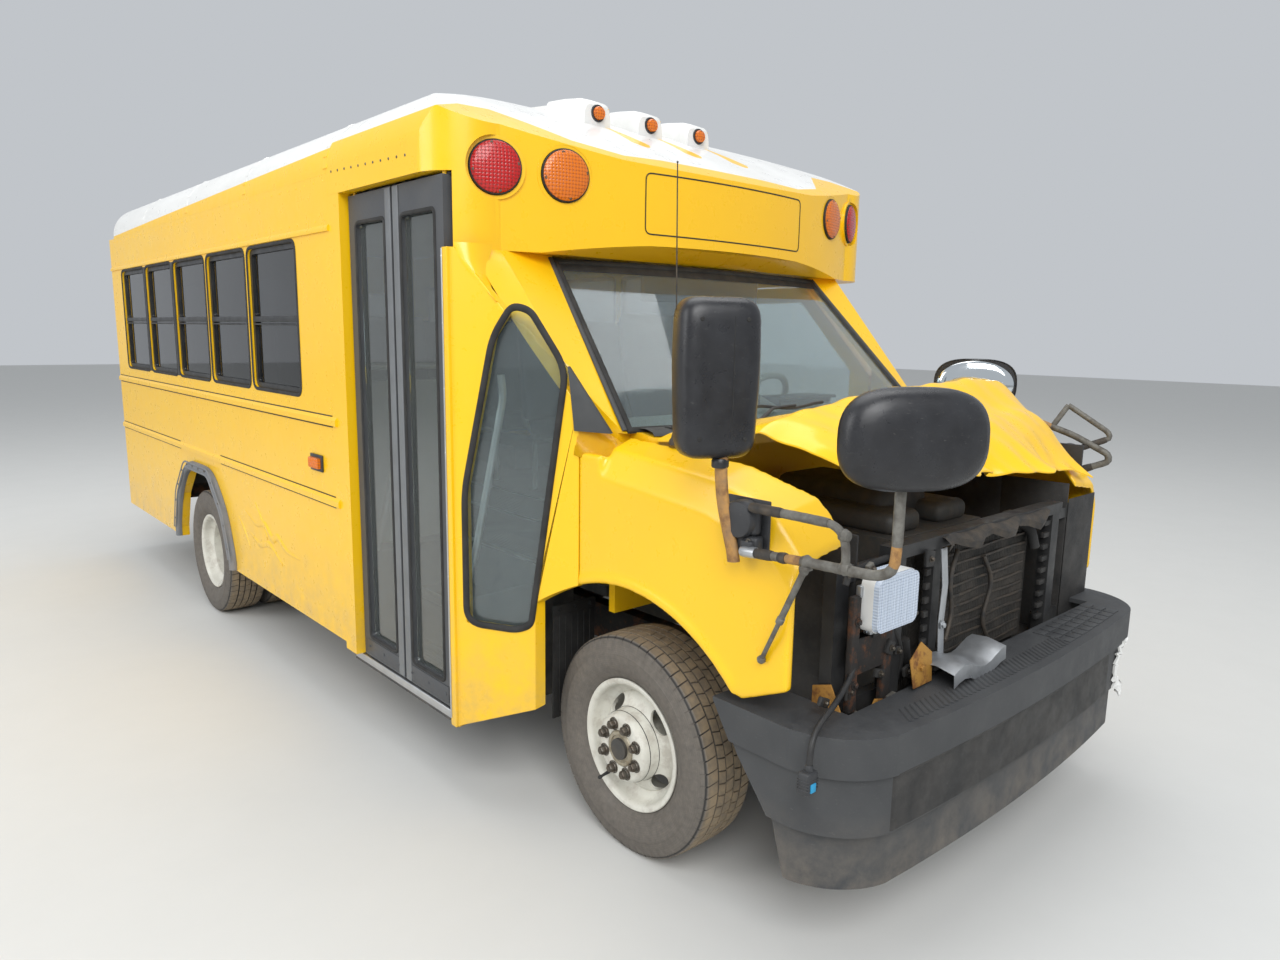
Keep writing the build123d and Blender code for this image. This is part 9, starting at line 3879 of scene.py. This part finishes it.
@dataclass
class RoundedForms(Assembly):
    """Panels of the solid model with their sheet-metal edges rounded.

    Attributes:
        forms: Node, edge radius in metres, finish and slot of each panel.
        grid: Size of the even grid on the fenders, in metres.
        passes: Number of easing passes over the fenders.
    """

    forms: tuple[tuple[str, float, str, str], ...] = (
        ("cab_panel_right", 0.010, "paint_yellow", "body_paint"),
        ("cab_side_left", 0.010, "paint_yellow", "body_paint"),
        ("windshield_frame", 0.012, "paint_yellow", "body_paint"),
        ("front_cap", 0.012, "paint_cap", "body_paint"),
        ("front_bumper", 0.010, "bumper", "bumper_plastic"),
        ("rear_bumper", 0.006, "paint_black", "black_paint"),
        ("powertrain", 0.010, "cast", "cast"),
        ("fuel_tank", 0.012, "chassis", "chassis_steel"),
    )
    grid: float = 0.006
    passes: int = 26

    def build(self) -> list[bpy.types.Object]:
        """Build every piece of the assembly.

        Returns:
            The pieces, in order.
        """
        for node, radius, finish, slot in self.forms:
            self.rounded(node, radius, finish, slot)
        for side in Side:
            self.pressed("fenders", side)
        return self.pieces

    def pressed(self, node: str, side: Side) -> None:
        """One side of a pressed sheet form, remeshed evenly and eased so that its facets run together.

        Args:
            node: Name of the CAD node.
            side: Which half of the node to take.
        """
        shape = Shape()
        shape.bm.from_mesh(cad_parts[node].data)
        bmesh.ops.remove_doubles(shape.bm, verts=shape.bm.verts, dist=2e-5)
        other = [vert for vert in shape.bm.verts if vert.co.x * side.value < 0.02]
        bmesh.ops.delete(shape.bm, geom=other, context="VERTS")
        piece = shape.object(f"{node}_{side.name.lower()}_pressed", 60.0)
        even = piece.modifiers.new("even_grid", "REMESH")
        even.mode = "VOXEL"
        even.voxel_size = self.grid
        even.use_smooth_shade = True
        ease = piece.modifiers.new("eased", "SMOOTH")
        ease.factor = 0.5
        ease.iterations = self.passes
        for face in applied(piece).polygons:
            face.use_smooth = True
        self.keep(piece, Body.BODY, "paint_yellow", "body_paint", (node,))

    def rounded(self, node: str, radius: float, finish: str, slot: str) -> None:
        """Copy one node, merge it, bevel its sharp edges and shade it smooth.

        Args:
            node: Name of the CAD node.
            radius: Width of the rounding in metres.
            finish: Finish of the copy.
            slot: Material slot of the copy.
        """
        shape = Shape()
        shape.bm.from_mesh(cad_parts[node].data)
        bm = shape.bm
        bmesh.ops.remove_doubles(bm, verts=bm.verts, dist=2e-5)
        bmesh.ops.dissolve_limit(bm, angle_limit=math.radians(0.6), verts=bm.verts, edges=bm.edges)
        sharp = [
            edge for edge in bm.edges
            if len(edge.link_faces) == 2 and edge.calc_face_angle(0.0) > math.radians(14)
            and edge.calc_length() > 0.012
        ]
        bmesh.ops.bevel(
            bm, geom=sharp, offset=radius, segments=3, profile=0.5, affect="EDGES", clamp_overlap=True,
            material=-1,
        )
        bmesh.ops.remove_doubles(bm, verts=bm.verts, dist=1e-5)
        piece = shape.object(f"{node}_rounded", 40.0)
        ease = piece.modifiers.new("even_shading", "WEIGHTED_NORMAL")
        ease.keep_sharp = True
        self.keep(piece, Body.BODY, finish, slot, (node,))


@dataclass
class Flares(Assembly):
    """Moulded grey flares over the rear wheels and the flaps behind the front wheels.

    Attributes:
        half: Half the length of the wheel opening.
        top: Height of the opening's top.
        centre: Distance of the opening's middle.
        face: A flare's middle line from the middle of the bus.
        flap_inner: Inner edge of a flap from the middle.
        flap_outer: Outer edge of a flap from the middle.
        flap_front: Distance of the hanger strip's front face.
    """

    half: float = 520.0
    top: float = 860.0
    centre: float = WHEELBASE
    face: float = 1231.0
    flap_inner: float = 702.0
    flap_outer: float = 898.0
    flap_front: float = 436.0

    def build(self) -> list[bpy.types.Object]:
        """Build every piece of the assembly.

        Returns:
            The pieces, in order.
        """
        for side in Side:
            self.arch(side)
            self.flap(side)
        return self.pieces

    def arch(self, side: Side) -> None:
        """One flare: rounded band that follows the opening, thick at its outer lip.

        Args:
            side: Side of the bus.
        """
        s = side.value
        rise = [
            (-self.half - 20, 378), (-self.half - 18, 455), (-self.half + 78, 690), (-232, self.top + 22),
        ]
        places = rise + [(0, self.top + 26)] + [(-along, z) for along, z in reversed(rise)]
        path = [spot(s * self.face, self.centre + along, z) for along, z in places]
        line = eased(path, 0.16, 10)
        section = [
            (-0.026, -0.010), (-0.026, 0.006), (-0.022, 0.016), (-0.010, 0.021), (0.006, 0.020),
            (0.016, 0.014),
            (0.023, 0.006), (0.026, -0.004), (0.026, -0.010),
        ]
        shape = Shape()
        shape.sweep(line, section, Vector((s, 0, 0)))
        self.add(shape, f"flare_{side.name.lower()}", Body.BODY, "flare", "flare_rubber", 50.0, ("flares",))

    def flap(self, side: Side) -> None:
        """Rubber flap behind the front wheel with its ribs and hanger strip.

        Args:
            side: Side of the bus.
        """
        s = side.value
        shape = Shape()
        front = self.flap_front
        shape.block(
            spot(s * self.flap_inner, front + 4.5, 302), spot(s * self.flap_outer, front + 11.5, 738), 0.003
        )
        for k in range(6):
            rib = self.flap_inner + 22 + 28 * k
            shape.block(spot(s * rib, front + 1.5, 330), spot(s * (rib + 6), front + 5, 690), 0.0015, 1)
        shape.block(spot(s * self.flap_inner, front, 700), spot(s * self.flap_outer, front + 5, 736), 0.002)
        shape.bolts([spot(s * x, front, 718) for x in (730, 800, 870)], AHEAD, 0.006)
        self.add(
            shape, f"mud_flap_{side.name.lower()}", Body.BODY, "rubber", "flare_rubber", replaces=("flares",)
        )


@dataclass
class BodyMends(Assembly):
    """Sheet metal between the cap, the cab panel, the pillar and the fender, and the dents of the side.

    Attributes:
        sheet: Thickness of the sheets in metres.
        gusset_bulge: How far the corner gusset stands out, in millimetres.
        hump_height: Height of a lamp hump over the cap, in millimetres.
    """

    sheet: float = 0.003
    gusset_bulge: float = 17.0
    hump_height: float = 118.0

    def build(self) -> list[bpy.types.Object]:
        """Build every piece of the assembly.

        Returns:
            The pieces, in order.
        """
        self.corner()
        self.cowl_end()
        self.humps()
        self.creases()
        self.liners()
        return self.pieces

    def corner(self) -> None:
        """Smooth gusset where the cap runs down into the panel, on the entrance side."""
        shape = Shape()
        outer = [
            (1186, 600, 2004), (1176, 574, 1945), (1156, 540, 1892), (1128, 512, 1852), (1107, 468, 1816)
        ]
        inner = [
            (1052, 566, 2004), (1072, 566, 1945), (1088, 540, 1892), (1096, 506, 1852), (1098, 462, 1812)
        ]
        rows = []
        for (xa, da, za), (xb, db, zb) in zip(outer, inner):
            row = []
            for t in (0.0, 0.2, 0.4, 0.6, 0.8, 1.0):
                bulge = self.gusset_bulge * math.sin(math.pi * t)
                x = xa + (xb - xa) * t + bulge
                row.append(spot(-x, da + (db - da) * t - bulge, za + (zb - za) * t))
            rows.append(row)
        shape.band(rows)
        bmesh.ops.recalc_face_normals(shape.bm, faces=shape.bm.faces)
        bmesh.ops.solidify(shape.bm, geom=shape.bm.faces[:], thickness=self.sheet)
        self.add(shape, "corner_gusset_right", Body.BODY, "paint_yellow", "body_paint", 60.0)

    def cowl_end(self) -> None:
        """Short sheet that closes the gap between the cowl's end and the fender."""
        shape = Shape()
        top = [(-979, 200, 1428), (-958, 160, 1424), (-932, 128, 1408), (-908, 96, 1388), (-900, 60, 1372)]
        low = [(-986, 214, 1325), (-979, 168, 1318), (-968, 124, 1312), (-955, 86, 1310), (-942, 52, 1310)]
        rows = [
            [spot(*(Vector(a).lerp(Vector(b), t))) for a, b in zip(top, low)] for t in (0.0, 0.33, 0.66, 1.0)
        ]
        shape.band(rows)
        bmesh.ops.solidify(shape.bm, geom=shape.bm.faces[:], thickness=self.sheet)
        self.add(shape, "cowl_end_sheet", Body.BODY, "paint_yellow", "body_paint", 60.0)

    def humps(self) -> None:
        """White rounded lamp humps on the cap."""
        shape = Shape()
        for x in (-298.0, 0.0, 298.0):
            rows = []
            for y, z, half in (
                (943, 2648, 70), (950, 2662, 74), (1000, 2676, 76), (1100, 2690, 78), (1200, 2698, 80)
            ):
                row = []
                for k in range(13):
                    turn = math.pi * k / 12
                    across = -math.copysign(abs(math.cos(turn)) ** 0.4, math.cos(turn))
                    rise = max(0.0, math.sin(turn)) ** 0.4
                    lift = self.hump_height * rise * (1.0 if y > 950 else 0.96)
                    row.append(spot(x + half * across, y, z - self.hump_height + lift))
                rows.append(row)
            shape.band(rows)
            shape.bm.faces.new([shape.bm.verts.new(point) for point in rows[0]])
        self.add(shape, "lamp_humps", Body.BODY, "sign_white", "white_paint", 50.0)

    def creases(self) -> None:
        """Shallow ridges of the dented skirt ahead of the rear wheel."""
        shape = Shape()
        runs = (
            ((2768, 753), (2600, 700), (2480, 735), (2360, 660), (2304, 700), (2180, 640), (2012, 636)),
            ((2700, 640), (2560, 600), (2420, 640), (2250, 560)),
            ((2600, 820), (2500, 730), (2440, 660)),
            ((2880, 700), (2790, 640), (2720, 560)),
        )
        for number, run in enumerate(runs):
            path = eased([spot(-1219.5, y, z) for y, z in run], 0.05, 4)
            section = bead_section(46.0 - 6 * number, 7.0 - number, 6)
            rows = []
            count = len(path)
            for index, point in enumerate(path):
                size = math.sin(math.pi * (index + 0.4) / count) ** 0.5
                rows.append([point + Vector((-b * size, 0, a * size)) for a, b in section])
            shape.band(rows)
        self.add(shape, "skirt_creases", Body.BODY, "paint_yellow", "body_paint", 60.0)

    def liners(self) -> None:
        """Dark inner liners on both sides of the engine bay."""
        shape = Shape()
        for s in (-1, 1):
            shape.block(spot(s * 690, -690, 560), spot(s * 696, -430, 1180), 0.002)
            shape.block(spot(s * 690, -430, 775), spot(s * 696, -60, 1180), 0.002)
        shape.block(spot(696, -694, 620), spot(940, -690, 1120), 0.002)
        self.add(shape, "bay_liners", Body.BODY, "bumper_dark", "black_paint")


@dataclass
class BayClutter(Assembly):
    """Tabs and hoses around the radiator support, and the torn end of the bumper."""

    def build(self) -> list[bpy.types.Object]:
        """Build every piece of the assembly.

        Returns:
            The pieces, in order.
        """
        self.tabs()
        self.hoses()
        self.crumple()
        return self.pieces

    def tabs(self) -> None:
        """Small bent tabs, boxes and bolts along the support."""
        dark = Shape()
        grey = Shape()
        bolts = Shape()
        for k in range(16):
            x = -860.0 + 34.0 * k + random.uniform(-8, 8)
            z = random.choice((690.0, 760.0, 840.0, 910.0, 1080.0)) + random.uniform(-20, 20)
            d = -716.0 - random.uniform(0, 26)
            w, h, t = random.uniform(18, 46), random.uniform(22, 60), random.uniform(6, 18)
            target = grey if k % 4 == 1 else dark
            target.block(
                spot(x - w / 2, d - t, z - h / 2), spot(x + w / 2, d, z + h / 2), 0.003, 2,
                Matrix.Rotation(random.uniform(-0.5, 0.5), 3, "Y"),
            )
            bolts.bolts([spot(x, d - t, z)], AHEAD, 0.0065)
        for k in range(9):
            z = 700.0 + 44.0 * k
            dark.block(spot(448, -716, z), spot(500, -702, z + 18), 0.002, 2)
            dark.block(spot(-352, -712, z), spot(-326, -700, z + 20), 0.002, 2)
        self.add(dark, "bay_tabs_dark", Body.BODY, "bumper_dark", "black_paint")
        self.add(grey, "bay_tabs_grey", Body.BODY, "tube_grey", "black_paint")
        self.add(bolts, "bay_bolts", Body.BODY, "nut", "chassis_steel")

    def hoses(self) -> None:
        """Radiator hoses, a pipe across the support and the lamp harness behind it."""
        shape = Shape()
        runs = (
            ([(300, -560, 1040), (330, -640, 1080), (380, -690, 1060), (410, -700, 980)], 0.019),
            ([(-260, -560, 720), (-330, -650, 700), (-400, -690, 730), (-420, -690, 820)], 0.017),
            ([(-700, -690, 1085), (-560, -704, 1100), (-420, -704, 1092), (-300, -700, 1110)], 0.010),
            ([(-540, -712, 900), (-500, -724, 840), (-470, -716, 760), (-500, -708, 690)], 0.008),
        )
        for points, radius in runs:
            shape.tube(eased([spot(*p) for p in points], 0.05, 6), radius, 12)
        self.add(shape, "bay_hoses", Body.BODY, "rubber", "black_paint", 50.0)

    def crumple(self) -> None:
        """Pale torn edge of the bumper's left end."""
        shape = Shape()
        rows = []
        for k in range(19):
            z = 456.0 + 10.5 * k
            inner = 884.0 + 22.0 * abs(k / 9.0 - 1.0) + 4.0 * math.sin(k * 2.1)
            row = []
            for j in range(11):
                x = inner + (983.0 - inner) * j / 10
                roll = 16.0 * math.sin(math.pi * j / 10) + 3.0 * math.sin(k * 1.3 + j * 1.1)
                row.append(spot(x, bumper_front(x, 0.0) + 6.0 - roll, z + 3.0 * math.sin(j * 1.4)))
            rows.append(row)
        shape.band(rows)
        bmesh.ops.solidify(shape.bm, geom=shape.bm.faces[:], thickness=0.004)
        self.add(shape, "bumper_crumple", Body.BODY, "sheet_pale", "bumper_plastic", 25.0)


def main() -> None:
    """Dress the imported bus: stage, finishes, then each assembly in order."""
    logging.basicConfig(level=logging.INFO, format="%(message)s")
    random.seed(7)
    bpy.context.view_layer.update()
    palette = Palette()
    Stage().build()
    CadFinishes(palette).build()
    assemblies = [
        Tyres(palette), WheelParts(palette), SideTrim(palette), RoofTrim(palette), CapTrim(palette),
        GlassTrim(palette), EntranceTrim(palette), Hood(palette), BumperTrim(palette), EngineBay(palette),
        WheelRims(palette), Mirrors(palette), Loom(palette), FrontExtras(palette), Seats(palette),
        Cab(palette),
        Saloon(palette), RearTrim(palette), StopArmTrim(palette), LeftSide(palette), Underbody(palette),
        RoundedForms(palette), Flares(palette), BodyMends(palette), BayClutter(palette),
    ]
    for assembly in assemblies:
        for piece in assembly.build():
            LOG.info("%s: %s", type(assembly).__name__, piece.name)


if __name__ == "__main__":
    main()
